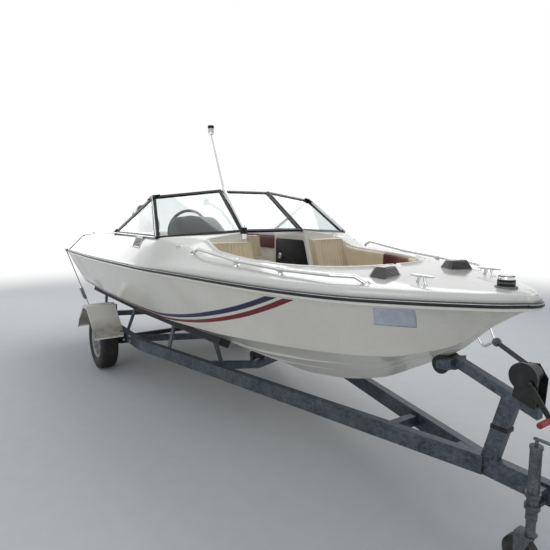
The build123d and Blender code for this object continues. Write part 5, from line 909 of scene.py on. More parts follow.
side_out = np.cross(SIDE_TOP - AFT_BASE, SIDE_BASE - AFT_BASE)
side_out *= np.sign(side_out[1])
front_out = np.cross(SIDE_TOP - SIDE_BASE, POST_BASE - SIDE_BASE)
front_out *= np.sign(front_out[0])
trims = mirrored(strip(AFT_BASE + (0.04, 0, 0.006), SIDE_BASE + (-0.01, 0, 0.006), side_out, 0.009, 0.022),
                 strip(SIDE_BASE + (0, 0, 0.01), SIDE_TOP, unit(side_out) + unit(front_out), 0.005, 0.026))
# The port post has none, because the centre window folds against it there
post_trim = strip(POST_BASE + (0.004, 0, 0.012), POST_TOP + (0.004, 0, -0.012), front_out, 0.004, 0.022)
make("screen_trims", trims + mirrored(post_trim)[1:], bright_alloy, sharp=50)

# Gussets: black plates in the corners of the panes that hold the extrusions together, cut to a hollow
# curve between the two bars.
GUSSETS = (
    (SIDE_TOP, SIDE_BASE, AFT_BASE, 0.085, side_out), (SIDE_TOP, SIDE_BASE, POST_TOP, 0.060, front_out),
    (AFT_BASE, SIDE_TOP, SIDE_BASE, 0.110, side_out), (SIDE_BASE, SIDE_TOP, POST_BASE, 0.055, front_out),
)


def gusset(corner, first, second, leg, outward):
    """A plate in a corner between two bars, whose open edge is an arc that is drawn into the corner."""
    a, b = unit(first - corner), unit(second - corner)
    t = np.linspace(0, 1, 14)[:, None]
    rim = np.concatenate([corner[None], corner + leg * (a * (1 - t) ** 2 + b * t ** 2
                                                        + (a + b) * 0.36 * t * (1 - t))])
    middle = rim.mean(0)
    layers = [middle + (rim + unit(outward) * out - middle) * share
              for out, share in ((-0.0095, 0.99), (-0.0085, 1), (0.0085, 1), (0.0095, 0.99))]
    return surface(np.stack(layers), wrap=True, ends=True)


make("screen_gussets", mirrored(*[gusset(*row) for row in GUSSETS]), black_alloy)

# Instrument hood: a moulded black plastic brow over the helm's dials, textured against glare, with a face
# plate that carries two large dials, two small ones and a row of rocker switches.
HOOD_Y = -0.500
HOOD_HALF = 0.200
HOOD_FLOOR = 1.395
FACE_LOW = np.array((2.585, HOOD_Y, 1.335))
FACE_HIGH = np.array((2.535, HOOD_Y, 1.540))
HOOD_MIDDLE = 2.660
HOOD_LINE = np.array([(2.590, 1.395), (2.548, 1.535), (2.525, 1.548), (2.545, 1.562), (2.600, 1.566),
                      (2.655, 1.552), (2.720, 1.512), (2.785, 1.455), (2.812, 1.395)])
face_up = unit(FACE_HIGH - FACE_LOW)
face_out = np.array((-face_up[2], 0, face_up[0]))
face_middle = (FACE_LOW + FACE_HIGH) / 2


def turned(profile, centre, axis, count=40, paint=0):
    """A profile of (distance along the axis, radius) pairs turned about an axis through a centre."""
    axis = unit(axis)
    first = unit(np.cross(axis, (0, 0, 1) if abs(axis[2]) < 0.8 else (1, 0, 0)))
    angle = full_turn(count)[:, None]
    ring = np.cos(angle) * first + np.sin(angle) * np.cross(axis, first)
    along, radius = np.array(profile, float).T[..., None, None]
    grid = np.asarray(centre) + along * axis + np.maximum(radius, 1e-5) * ring
    return surface(grid, wrap=True, paint=paint)


# Black ABS with a spark-eroded grain: matt, dusty on top, a little grey where hands rest
black_plastic = finish("black moulded ABS", "#101113", "#2b2c2e", 0.09, (0.42, 0.62), 0.0012, 0.00025,
                       ior=1.30)
line = rounded(points(HOOD_LINE[:, 0], 0, HOOD_LINE[:, 1]), 0.02, 5)
spread = np.sin(np.linspace(-1, 1, 41) * math.pi / 2)
height = (1 - np.abs(spread) ** 9) ** 0.4
hood = points(HOOD_MIDDLE + (line[:, None, 0] - HOOD_MIDDLE) * (0.78 + 0.22 * height),
              HOOD_Y + HOOD_HALF * spread, HOOD_FLOOR + (line[:, None, 2] - HOOD_FLOOR) * height)
# A low hump near the middle of the brow
hood[..., 2] += 0.010 * np.exp(-((hood[..., 1] - HOOD_Y + 0.03) / 0.05) ** 2
                               - ((hood[..., 0] - 2.60) / 0.05) ** 2)
make("hood_shell", [surface(hood)], black_plastic, stands_for=["instrument_hood"],
     closed=False, solid=0.003, sharp=60)


def round_corners(half_x, half_y, corner):
    """Both places of the outline of a rectangle with round corners, as columns."""
    turn = full_turn(32)[:, None]
    return (np.sign(np.cos(turn)) * (half_x - corner) + np.cos(turn) * corner,
            np.sign(np.sin(turn)) * (half_y - corner) + np.sin(turn) * corner)


def plate(centre, across, upward, wide, tall, thick, corner, paint=0, edge=0.0015):
    """A flat plate with round corners and eased edges: its face lies square to across and upward."""
    across, upward = unit(across), unit(upward)
    px, py = round_corners(wide / 2, tall / 2, corner)
    layers = [np.asarray(centre) + np.cross(across, upward) * out + across * px * (1 - 2 * inset / wide)
              + upward * py * (1 - 2 * inset / tall)
              for out, inset in ((0, 0), (thick - edge, 0), (thick, edge))]
    return surface(np.stack(layers), wrap=True, ends=True, paint=paint)


# White dial faces under clear lenses, chromed bezels
dial_white = finish("printed dial face, white", "#e9e7de", "#cfccc0", 0.02, (0.4, 0.5), 0.001, 0.00002)
TO_PORT = np.array((0, 1.0, 0))
HAND_AT = 0.9
SWITCHES = 5
# Across the face, up it, and radius
DIALS = ((-0.095, 0.035, 0.043), (0.0, 0.045, 0.043), (0.085, 0.050, 0.027), (0.135, 0.012, 0.027))
dash = [plate(face_middle - face_out * 0.004, TO_PORT, face_up, 0.350, 0.170, 0.006, 0.03)]
for y, up, radius in DIALS:
    centre = face_middle + face_up * up + (0, y, 0)
    bezel = [(0, 0), (0, radius + 0.004), (0.006, radius + 0.004), (0.008, radius), (0.004, radius - 0.003),
             (0.002, radius - 0.004), (0.002, 0)]
    dial = [(0.0022, radius - 0.005), (0.0026, radius - 0.005), (0.0026, 0)]
    dash += [turned(bezel, centre, face_out, paint=1), turned(dial, centre, face_out, paint=2)]
    for angle in np.radians(np.linspace(-130, 130, 14)):
        spoke = face_up * math.cos(angle) + TO_PORT * math.sin(angle)
        mark = centre + face_out * 0.0028
        dash.append(strip(mark + spoke * radius * 0.66, mark + spoke * radius * 0.82, face_out, 0.0012,
                          0.0006))
    hand = face_up * math.cos(HAND_AT) - TO_PORT * math.sin(HAND_AT)
    pin = centre + face_out * 0.0034
    dash.append(strip(pin - hand * 0.006, pin + hand * radius * 0.7, face_out, 0.0016, 0.0008, paint=3))
for i in range(SWITCHES):
    centre = face_middle - face_up * 0.055 + (0, 0.045 * i - 0.10, 0) + face_out * 0.002
    dash += [plate(centre, TO_PORT, face_up, 0.018, 0.030, 0.004, 0.003, paint=1),
             plate(centre, TO_PORT, face_up + face_out * 0.12, 0.013, 0.024, 0.008, 0.003)]
hand_red = finish("red enamel", "#b3221c", "#7d1813", 0.02, (0.3, 0.4), 0.001, 0.00002)
make("dials", dash, [black_plastic, bright_alloy, dial_white, hand_red])

# Helm wheel: foam polyurethane moulded on a steel ring, three pressed spokes and a padded hub; its column
# passes into the face plate, and the throttle stands in a plastic box on the starboard coaming.
soft_black = finish("black polyurethane foam, self-skinned", "#121214", "#2e2d2c", 0.06, (0.38, 0.58), 0.0015,
                    0.0002)
softened("helm_wheel", soft_black, 0.003, 3)
softened("throttle_control", black_plastic, 0.004, 3)

# Locker door: a black moulded door with rounded corners and a bright finger latch, on the port console's
# wall beside the walkway. It covers nearly all of that wall, more than a door would, so that its black also
# stands for the shade in the walkway: partly painted shade.
DOOR_AFT = 2.625
DOOR_MIDDLE = np.array((2.820, 0, 1.120))
LATCH_AT = np.array((2.700, WALK_HALF - 0.009, 1.220))
# The outline reaches forward to the console's face: the black there is painted shade.
door = points((DOOR_AFT, CONSOLE_X + 0.125, CONSOLE_X - 0.030, DOOR_AFT, DOOR_AFT), 0,
              (0.905, 0.905, 1.375, 1.375, 0.905))
door = rounded(door, 0.03, 5)[:-1]
layers = [DOOR_MIDDLE + (door - DOOR_MIDDLE) * share + (0, WALK_HALF - out, 0)
          for out, share in ((0.0, 1.0), (0.007, 1.0), (0.009, 0.985))]
latch = [turned([(0, 0.0), (0, 0.026), (0.004, 0.026), (0.006, 0.022), (0.003, 0.019), (0.003, 0)],
                LATCH_AT, (0, -1, 0), 32, paint=1),
         plate(LATCH_AT - TO_PORT * 0.003, (1, 0, 0), (0, 0, 1), 0.012, 0.034, 0.006, 0.004, paint=1)]
make("locker_door_and_shade", [surface(np.stack(layers), wrap=True, ends=True)] + latch, [black_plastic, bright_alloy])

# Seat boxes: plywood under white gelcoat, screwed down over the carpet, with their corners rounded over.
softened("seat_boxes", liner_gelcoat, 0.012, 3)

# Cushions and backs: cut foam on plywood, wrapped in beige marine vinyl that is pulled down and stapled
# underneath. Each cover is swelled by its foam, sewn into channels and edged with a welt of the same vinyl.
SWELL_FRAMES = 20
SWELL_CAP = 0.014
CORNER_ROUND = 0.020
WELT = 0.0038
CHANNEL_DEEP = 0.0050
CHANNEL_WIDE = 0.0065


def block_mesh(us, vs, ws, corner):
    """Points and quads of a closed box divided at the given places, its edges and corners rounded: each
    point of the box is drawn back to a ball of the corner's radius about the nearest inner point."""
    size = np.array([us[-1], vs[-1], ws[-1]])
    parts, quads, start = [], [], 0
    for axis, lines in enumerate(((vs, ws), (us, ws), (us, vs))):
        for side in (0, 1):
            a, b = np.meshgrid(*lines, indexing="ij")
            grid = np.empty(a.shape + (3,))
            others = [i for i in range(3) if i != axis]
            grid[..., axis], grid[..., others[0]], grid[..., others[1]] = size[axis] * side, a, b
            v, f, _ = surface(grid, flip=(side == 1) == (axis == 1))
            parts.append(v)
            quads.append(np.array(f) + start)
            start += len(v)
    flat = np.concatenate(parts)
    keep, index = np.unique(np.round(flat, 6), axis=0, return_inverse=True)
    inside = np.clip(keep, corner, size - corner)
    away = keep - inside
    drawn = inside + away / np.maximum(np.linalg.norm(away, axis=1, keepdims=True), 1e-9) * corner
    low, high = np.abs(keep) < 1e-6, np.abs(keep - size) < 1e-6
    rim = high[:, 2] & (low | high)[:, :2].any(1)
    return keep, drawn, index.reshape(-1)[np.concatenate(quads)], np.nonzero(rim)[0]


def lines_with(long, pitch, seams=()):
    """Places along a length, about a pitch apart, with one on each seam and one on either side of it."""
    plain = np.linspace(0, long, max(int(round(long / pitch)), 3) + 1)
    seams = np.asarray(seams, float)
    near = np.concatenate([seams - CHANNEL_WIDE, seams, seams + CHANNEL_WIDE]) if len(seams) else seams
    clear = [p for p in plain if not len(near) or np.abs(near - p).min() > 0.004 or p in (0, long)]
    return np.unique(np.round(np.concatenate([clear, near]), 5))


def swelled(shapes):
    """Swells each shape's cover as its foam does: all are sewn as cloth, held at the bottom and pressed
    from inside for twenty steps, and no point moves further than the cap."""
    covers = []
    for name, shape in shapes.items():
        mesh = bpy.data.meshes.new(name + "_cover")
        mesh.from_pydata((shape["drawn"] + (0, 0, 5)).tolist(), [], shape["quads"].tolist())
        cover = bpy.data.objects.new(name + "_cover", mesh)
        SCENE.collection.objects.link(cover)
        held = cover.vertex_groups.new(name="board")
        held.add(np.nonzero(shape["flat"][:, 2] < 0.001)[0].tolist(), 1.0, "REPLACE")
        cloth = cover.modifiers.new("foam", "CLOTH").settings
        cloth.quality = 4
        cloth.use_pressure = True
        cloth.uniform_pressure_force = 4.0
        cloth.vertex_group_mass = "board"
        cloth.effector_weights.gravity = 0.0
        covers.append((cover, shape))
    for step in range(1, SWELL_FRAMES + 1):
        SCENE.frame_set(step)
    graph = bpy.context.evaluated_depsgraph_get()
    for cover, shape in covers:
        worn = cover.evaluated_get(graph).data
        places = np.empty(len(worn.vertices) * 3)
        worn.vertices.foreach_get("co", places)
        move = places.reshape(-1, 3) - (0, 0, 5) - shape["drawn"]
        far = np.linalg.norm(move, axis=1, keepdims=True)
        shape["points"] = shape["drawn"] + move * np.minimum(1, SWELL_CAP / np.maximum(far, 1e-9))
        bpy.data.objects.remove(cover)
    SCENE.frame_set(1)


def pad_shape(long, wide, thick, seams=(), pitch=0.019):
    """What a cushion's cover starts from: its divisions, with a place across it for each sewn channel."""
    inset = 0.003
    long, wide, thick = long - 2 * inset, wide - 2 * inset, thick - 2 * inset
    us, vs = lines_with(long, pitch), lines_with(wide, pitch, seams)
    ws = np.linspace(0, thick, max(int(round(thick / pitch)), 3) + 1)
    flat, drawn, quads, rim = block_mesh(us, vs, ws, min(CORNER_ROUND, thick * 0.4))
    return {"size": np.array([long, wide, thick]), "flat": flat, "drawn": drawn, "quads": quads, "rim": rim,
            "seams": seams, "inset": inset}


def channel(distance, spread):
    """How deep a sewn channel is at a distance from its seam: a narrow valley with soft shoulders."""
    return np.exp(-(distance / spread) ** 2) + 0.22 * np.exp(-(distance / (spread * 2.6)) ** 2)


def vinyl(name, colour, worn):
    """Expanded vinyl on knit cloth: an embossed leather grain of 1.5 mm cells, a soft sheen, a darker tone
    in patches from sun and hands, and fine scuffs."""
    made, tree, shader, spot = start_material(name)
    cells = add(tree, "TexVoronoi", {"Vector": spot, "Scale": 640.0}, feature="DISTANCE_TO_EDGE")
    creases = add(tree, "TexNoise", {"Vector": spot, "Scale": 90.0, "Detail": 4.0})
    tone = add(tree, "TexNoise", {"Vector": spot, "Scale": 6.0, "Detail": 6.0})
    aged = add(tree, "MapRange", {"Value": tone, "From Min": 0.4, "From Max": 0.78, "To Max": 0.7})
    grain = add(tree, "Bump", {"Height": cells, "Strength": 0.5, "Distance": 0.0004})
    bump = add(tree, "Bump", {"Height": creases, "Strength": 0.3, "Distance": 0.0012, "Normal": grain})
    put(tree, shader, {"Base Color": blended(tree, aged, colour, worn),
                       "Roughness": add(tree, "MapRange", {"Value": creases, "To Min": 0.36, "To Max": 0.54}),
                       "IOR": 1.48, "Sheen Weight": 0.08, "Normal": bump})
    return made


beige_vinyl = vinyl("marine vinyl, beige", "#dccdb0", "#c8b695")
# The maroon is darker than the vinyl's own colour, to stand for the shade on the bolsters and on the side
# pads' band: partly painted shade.
maroon_vinyl_and_shade = vinyl("marine vinyl, maroon, darkened as painted shade", "#591820", "#44151a")
russet_vinyl = vinyl("marine vinyl, russet", "#7e4234", "#6a362b")


def evenly(start, end, count):
    """Places that part a run into a number of equal shares."""
    return np.linspace(start, end, count + 1)[1:-1]


# Each pad's length, width and thickness in metres, then the places of its channels across the width
BACK_TALL = 0.2545
BENCH_TALL = 0.2395
REST_TALL = 0.364
REST_WIDE = 0.328
PAD_END = 4.080
PAD_FOOT = 1.036
SIDE_TALL = 0.294
REST_THICK = 0.105
REST_TAPER = 0.010
REST_OUT = 0.6195
CUSHION_Z = 0.951
CUSHION_IN = 0.262
CUSHION_END = 3.878
FRONT_FROM = 3.884
FRONT_LONG = 0.372
FRONT_HALF = 0.570
WALL_IN = 0.008
pads = {
    "seat": pad_shape(0.430, 0.450, 0.105, evenly(0.05, 0.394, 6)),
    "back": pad_shape(BACK_TALL, 0.450, 0.100, evenly(0.05, 0.394, 6)),
    "bench": pad_shape(0.430, 1.380, 0.105, np.linspace(0.11, 1.264, 14)),
    "bench_back": pad_shape(BENCH_TALL, 1.380, 0.095, np.linspace(0.11, 1.264, 14)),
    "rest": pad_shape(REST_TALL, REST_WIDE, 0.098, 0.084 + 0.030 * np.arange(8)),
    "side": pad_shape(0.840, SIDE_TALL, 0.056, pitch=0.022),
    "bow_side": pad_shape(0.690, 0.350, 0.084, pitch=0.022),
    "bow_front": pad_shape(0.380, 1.110, 0.084, pitch=0.024),
    "bolster": pad_shape(1.060, 0.150, 0.049, pitch=0.022),
}
swelled(pads)


def bow_wall_y(x):
    """Half width of the bow cockpit inside its liner at x."""
    t = np.clip((np.asarray(x, float) - BOW_STRAIGHT) / (BOW_END - BOW_STRAIGHT), 0, 1)
    return BOW_HALF * (1 - t ** BOW_POWER) ** (1 / BOW_POWER) - WALL_IN


def on_flat(x, y, z):
    """Lays a pad flat: length forward, width to port and thickness up, from a corner."""
    return lambda u, v, w, size: points(x + u, y + v, z + w)


def on_back(foot, head, y, z, tall):
    """Stands a pad up: length up, width to port, and its thickness forward between two lines, which are
    given as the places of the rear and front faces at foot and head."""
    def place(u, v, w, size):
        share = u / tall
        rear, front = foot[0] + (head[0] - foot[0]) * share, foot[1] + (head[1] - foot[1]) * share
        return points(rear + (front - rear) * w / size[2], y + v, z + u)
    return place


def in_rest(u, v, w, size):
    """Stands a bow backrest against the console's leaning face."""
    z = PAD_FOOT + u
    thick = REST_THICK - REST_TAPER * u / REST_TALL
    return points(console_face(z) + 0.001 + thick * w / size[2], REST_OUT - REST_WIDE + v, z)


def on_wall(u, v, w, size):
    """Bends a side pad along the bow cockpit's wall, its thickness inwards, from the backrest's leaning
    face to its own end, and draws it out to reach up under the rim."""
    start = console_face(PAD_FOOT + v) + REST_THICK + 0.005 - REST_TAPER * v / REST_TALL
    middle = console_face(1.19) + REST_THICK
    x = middle + (PAD_END - middle) * u / size[0] + (start - middle) * np.clip(1 - u / size[0], 0, 1) ** 6
    crest = np.max([deck_height(x, bow_wall_y(x) + out) for out in (0.03, 0.06, 0.09, 0.12)], axis=0)
    z = PAD_FOOT + v / size[1] * (crest - 0.002 - PAD_FOOT)
    slope = (bow_wall_y(x + 0.001) - bow_wall_y(x - 0.001)) / 0.002
    out = 1 / np.hypot(1, slope)
    return points(x + slope * out * w, bow_wall_y(x) - 0.001 - out * w, z)


def on_side_seat(u, v, w, size):
    """Fits a bow side cushion between the footwell and the curved wall."""
    start = console_face(0.99) + 0.001
    x = start + u * (CUSHION_END - start) / size[0]
    return points(x, CUSHION_IN + v / size[1] * (bow_wall_y(x) - CUSHION_IN), CUSHION_Z + w)


def on_front_seat(u, v, w, size):
    """Fits the front cushion into the rounded bow: a half disc drawn from a square."""
    a, b = np.clip(u / size[0], 0, 1), 2 * v / size[1] - 1
    ahead, across = a * np.sqrt(1 - b * b / 2), b * np.sqrt(1 - a * a / 2)
    return points(FRONT_FROM + FRONT_LONG * ahead, FRONT_HALF * across * (1 - 0.06 * ahead), CUSHION_Z + w)


def upholstered(name, node, shape, place, paint=beige_vinyl, mirror=False, welt=True,
                deep=CHANNEL_DEEP):
    """A finished pad: the swelled cover with its channels pressed in, put in its place, and a welt that
    follows the cover's upper edge all round."""
    size, seen = shape["size"], shape["points"].copy()
    face_on = np.clip((shape["flat"][:, 2] / size[2] - 0.55) / 0.3, 0, 1)
    along, across = shape["flat"][:, 0], shape["flat"][:, 1]
    fade = np.clip(np.minimum(along - 0.012, size[0] - 0.012 - along) / 0.02, 0.25, 1)
    for seam in shape["seams"]:
        seen[:, 2] -= deep * channel(across - seam, CHANNEL_WIDE * 0.8) * face_on * fade
    placed = place(*(seen + shape["inset"]).T, size + 2 * shape["inset"])
    faces = shape["quads"].tolist()
    out = shape["flat"][shape["rim"]] / size - 0.5
    loop = placed[shape["rim"][np.argsort(np.arctan2(out[:, 1], out[:, 0]))]]
    ahead = unit(np.roll(loop, -1, 0) - np.roll(loop, 1, 0))
    away = loop - placed.mean(0)
    away = unit(away - ahead * (away * ahead).sum(1, keepdims=True))
    turn = full_turn(8)[:, None]
    around = away[:, None] * np.cos(turn) + np.cross(ahead, away)[:, None] * np.sin(turn)
    tube = loop[:, None] + WELT * around
    made = []
    for side in ((1, -1) if mirror else (1,)):
        cover = (placed * (1, side, 1), faces, 0)
        piece = make(name if side == 1 else name + "_starboard", [cover], paint, sharp=180)
        rounder = piece.modifiers.new("smooth", "SUBSURF")
        rounder.levels = rounder.render_levels = 1
        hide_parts(node)
        made.append(piece)
        if welt:
            edging = surface(tube * (1, side, 1), wrap=True, loop=True)
            made.append(make(piece.name + "_welt", [edging], paint, sharp=180))
    return made


SEAT_Z = 1.0105
BACK_Z = 1.1155
for name, side in (("port", 1), ("helm", -1)):
    low_y = side * 0.460 - 0.225
    upholstered("seat_cushion_" + name, "seat_cushions", pads["seat"], on_flat(1.685, low_y, SEAT_Z))
    upholstered("seat_back_" + name, "seat_backs", pads["back"],
                on_back((1.685, 1.805), (1.660, 1.745), low_y, BACK_Z, BACK_TALL))
upholstered("bench_cushion", "seat_cushions", pads["bench"], on_flat(0.641, -0.690, SEAT_Z))
upholstered("bench_back", "seat_backs", pads["bench_back"],
            on_back((0.641, 0.755), (0.641, 0.720), -0.690, BACK_Z, BENCH_TALL))
upholstered("bow_backrest", "bow_backrests", pads["rest"], in_rest, mirror=True, deep=0.012)
# The side pads are sewn from beige, maroon and russet vinyl, which meet at these places along the boat;
# the maroon is darkened as painted shade.
BANDS = (3.665, 3.805, 3.960)
for piece in upholstered("bow_side_pad", "bow_side_pads", pads["side"], on_wall, mirror=True, welt=False):
    piece.data.materials.append(maroon_vinyl_and_shade)
    piece.data.materials.append(russet_vinyl)
    middles = np.zeros(3 * len(piece.data.polygons))
    piece.data.polygons.foreach_get("center", middles)
    shade = np.searchsorted(BANDS, middles[::3] - AFT) % 3
    piece.data.polygons.foreach_set("material_index", shade.astype(np.int32))
upholstered("bow_side_cushion", "bow_cushions", pads["bow_side"], on_side_seat, mirror=True)
upholstered("bow_front_cushion", "bow_cushions", pads["bow_front"], on_front_seat)


def on_coaming(u, v, w, size):
    """Lays a bolster along the cockpit's side, its thickness inwards."""
    return points(1.180 + u, 0.7995 - w, 1.215 + v)


# The bolsters' dark maroon is partly painted shade.
upholstered("side_bolster", "side_bolsters", pads["bolster"], on_coaming, maroon_vinyl_and_shade,
            mirror=True)

# Bow rails: 22 mm stainless tube bent by hand, flattened on to cast bases and held by two stanchions a
# side. Mirror polished, with faint rubbing lines along the tube and tea stain where salt has dried.


def stainless(name, rough):
    """Polished stainless steel: a near mirror drawn out in fine lines, with a film of handling marks."""
    return finish(name, "#d3d4d4", "#9a9488", 0.035, (rough, rough + 0.16), 0.004, 0.00004, metal=1.0,
                  share=(0.6, 0.95))


rail_steel = stainless("stainless tube, polished", 0.07)
cast_steel = stainless("stainless casting, tumbled", 0.16)
refit("bow_rails", rail_steel)
RAIL_LINE = np.array([(3.220, 0.805, 1.322), (3.290, 0.800, 1.360), (3.710, 0.744, 1.311),
                      (4.100, 0.670, 1.289), (4.370, 0.590, 1.285), (4.480, 0.520, 1.284),
                      (4.540, 0.495, 1.250)])
STANCHIONS = (3.700, 4.065)


def on_rail(x):
    """The rail's middle line at x."""
    return np.array([np.interp(x, RAIL_LINE[:, 0], column) for column in RAIL_LINE.T])


def seat_of(x, y):
    """A point of the deck's skin and the direction that stands square to it there."""
    step = 0.004
    rise_x = (deck_height(x + step, y) - deck_height(x - step, y)) / (2 * step)
    rise_y = (deck_height(x, y + step) - deck_height(x, y - step)) / (2 * step)
    return np.array((x, y, float(deck_height(x, y)))), unit((-float(rise_x), -float(rise_y), 1))


SCREW_HEAD = [(-0.001, 0), (-0.001, 0.0045), (0.0008, 0.0045), (0.0016, 0.003), (0.0019, 0.0012),
              (0.0008, 0.0008), (0.0008, 0)]
BASE = [(-0.012, 0.0), (-0.012, 0.026), (0.002, 0.026), (0.004, 0.024), (0.005, 0.017), (0.011, 0.0125),
        (0.016, 0.0112)]
parts = []
for x, y in [RAIL_LINE[0, :2], RAIL_LINE[-1, :2]] + [on_rail(x)[:2] for x in STANCHIONS]:
    ground, square = seat_of(x, y)
    parts.append(turned(BASE, ground, square))
    flat_way = unit(np.cross(square, TO_PORT))
    for angle in (0.5, 2.6, 4.7):
        spoke = flat_way * math.cos(angle) + np.cross(square, flat_way) * math.sin(angle)
        parts.append(turned(SCREW_HEAD, ground + square * 0.0035 + spoke * 0.0195, square, 12))
for x in STANCHIONS:
    ahead = on_rail(x + 0.02) - on_rail(x - 0.02)
    parts.append(turned([(-0.024, 0.0105), (-0.022, 0.0145), (-0.018, 0.0155), (0.018, 0.0155),
                         (0.022, 0.0145), (0.024, 0.0105)], on_rail(x), ahead))
    parts.append(turned([(0, 0.0112), (0.016, 0.0112), (0.026, 0.0125)], on_rail(x) - (0, 0, 0.034),
                        (0, 0, 1)))
make("rail_bases", mirrored(*parts), cast_steel, closed=False)

# Mooring cleats: open-based horn cleats cast in stainless steel, four countersunk screws in each.
HORN = [(-0.068, 0), (-0.068, 0.0030), (-0.063, 0.0048), (-0.030, 0.0072), (0.030, 0.0072), (0.063, 0.0048),
        (0.068, 0.0030), (0.068, 0)]
turn = full_turn(12)
leg_outline = np.stack([0.0075 * np.cos(turn), 0.0055 * np.sin(turn)], 1)
parts = []
for x, y in ((4.693, 0.285), (0.110, 0.700)):
    ground, square = seat_of(x, y)
    parts.append(turned(HORN, ground + (0, 0, 0.041), (1, 0, 0), 16))
    for dx in (-1, 1):
        foot, _ = seat_of(x + 0.028 * dx, y)
        parts.append(plate(foot - square * 0.002, np.cross(TO_PORT, square), TO_PORT, 0.030, 0.028, 0.006,
                           0.008))
        leg = rounded(points((x + 0.028 * dx, x + 0.018 * dx, x + 0.015 * dx), y,
                             foot[2] + np.array((0.001, 0.016, 0.040))), 0.02, 6)
        parts.append(carried(leg, leg_outline, TO_PORT))
        parts.append(turned(SCREW_HEAD, foot + (0.007 * dx, 0.006, 0.0045), square, 12))
make("cleat_castings", mirrored(*parts), cast_steel, stands_for=["cleats"],
     closed=False)

# Clamshell vents on the foredeck and louvres in the side decks: black mouldings with slats, the louvres
# in a pale frame, each held by small stainless screws.
vent_sheen = finish("black moulded ABS, glossy", "#101113", "#26282b", 0.05, (0.05, 0.14), 0.004, 0.00002,
                    coat=1.0)
softened("deck_vents", vent_sheen, 0.006, 3)
pale_plastic = finish("white moulded ABS", "#e6e4dc", "#c3bfb2", 0.05, (0.35, 0.5), 0.001, 0.0001)
VENT_PLACE = (4.475, 0.302)
VENT_TURN = math.radians(13)
SLATS = 6
vent_ground, _ = seat_of(*VENT_PLACE)
vent_short = np.array((math.cos(VENT_TURN), -math.sin(VENT_TURN), 0))
vent_long = np.array((math.sin(VENT_TURN), math.cos(VENT_TURN), 0))
parts = []
for row in range(SLATS):
    share = 0.16 + 0.13 * row
    reach = vent_long * (0.156 - 0.062 * share) / 2
    for end in (1, -1):
        middle = vent_ground + vent_short * end * (0.0525 - 0.0205 * share) + (0, 0, 0.052 * share)
        parts.append(strip(middle - reach, middle + reach, vent_short * end + (0, 0, 0.4), 0.0030, 0.003))
parts.append(plate(vent_ground + (0, 0, 0.0515), vent_short, vent_long, 0.054, 0.118, 0.0018, 0.010, paint=1))
make("vent_slats", mirrored(*parts), [black_plastic, vent_sheen])

LOUVRE_X = 2.500
_, _, shoulder, shoulder_z, top, top_z, _ = [float(v) for v in deck_lines(LOUVRE_X)]
louvre_middle = np.array((LOUVRE_X, (shoulder + top) / 2, (shoulder_z + top_z) / 2))
louvre_up = unit((0, top - shoulder, top_z - shoulder_z))
louvre_out = np.array((0, louvre_up[2], -louvre_up[1]))
ring = []
for out, grow in ((0.000, 0.010), (0.004, 0.010), (0.0055, 0.0085), (0.0055, 0.001), (0.003, 0.0)):
    px, py = round_corners(0.070 + grow, 0.039 + grow, 0.010)
    ring.append(louvre_middle + louvre_out * (out + 0.003) + np.array((1, 0, 0)) * px + louvre_up * py)
parts = [surface(np.stack(ring), wrap=True, paint=1)]
for i in range(SLATS):
    middle = louvre_middle + louvre_up * (0.011 * i - 0.0275) + louvre_out * 0.0075
    parts.append(strip(middle - (0.062, 0, 0), middle + (0.062, 0, 0), louvre_out + louvre_up * 0.9, 0.009,
                       0.002))
for dx, dy in ((0.074, 0.042), (-0.074, 0.042), (0.074, -0.042), (-0.074, -0.042)):
    place = louvre_middle + (dx, 0, 0) + louvre_up * dy + louvre_out * 0.0078
    parts.append(turned(SCREW_HEAD, place, louvre_out, 10, paint=2))
make("side_louvres", mirrored(*parts), [black_plastic, pale_plastic, cast_steel],
     closed=False)

# Snap studs for the bow cover round the rim of the bow cockpit, and a stainless catch on each side deck.
STUD = [(-0.001, 0), (-0.001, 0.0075), (0.001, 0.0075), (0.0018, 0.006), (0.0035, 0.0042), (0.0058, 0.0046),
        (0.0066, 0.0035), (0.0066, 0)]
CATCH_AT = (3.056, 0.839)
stud_places = [(x, float(bow_wall_y(x)) + WALL_IN + 0.042) for x in (3.25, 3.50, 3.74, 3.90)]
stud_places += [np.array(bow_edge(angle)) + 0.045 * np.array((math.sin(angle), math.cos(angle)))
                for angle in (0.95, 1.30)]
stud_places += [(x, COCKPIT_HALF + 0.038) for x in (0.90, 1.25, 1.60, 1.95, 2.30)]
parts = [turned(STUD, *seat_of(*place), 16) for place in stud_places]
ground, square = seat_of(*CATCH_AT)
along_side = unit(np.cross(square, (0, 0, 1)))
bar = ground + square * 0.010
parts += [plate(ground - square * 0.001, along_side, np.cross(square, along_side), 0.058, 0.030, 0.004,
                0.006),
          strip(bar - along_side * 0.020, bar + along_side * 0.020, square, 0.009, 0.006),
          turned([(0.002, 0.007), (0.008, 0.006), (0.012, 0.006)], ground + along_side * 0.012, square, 16)]
make("snap_studs", mirrored(*parts), cast_steel, closed=False)

# Bow lining: beige vinyl glued over thin foam inside the rounded front of the bow cockpit, where the side
# pads end, its upper edge welted under the moulding's pale lip and its lower edge behind the cushions.
LINING_FROM = 3.862
LINING_FOOT = 1.030
lined = bow_rim[:, 0] > LINING_FROM
lining_edge = (bow_wall[lined][:, 3] + way[lined] * 0.0035)[:, None]
down = np.linspace(0, 1, 10)
puff = 0.004 * np.sin(np.clip(down * 1.2, 0, 1) * math.pi) ** 0.5
high = lining_edge[..., 2] - 0.024
lining = points(lining_edge[..., 0], lining_edge[..., 1], high + (LINING_FOOT - high) * down)
lining += way[lined][:, None] * puff[:, None]
trim_profile = 0.0035 * np.stack([np.cos(full_turn(8)), np.sin(full_turn(8))], 1)
make("bow_lining", mirrored(surface(lining), carried(lining[:, 0], trim_profile)), beige_vinyl,
     closed=False, solid=0.002, sharp=60)

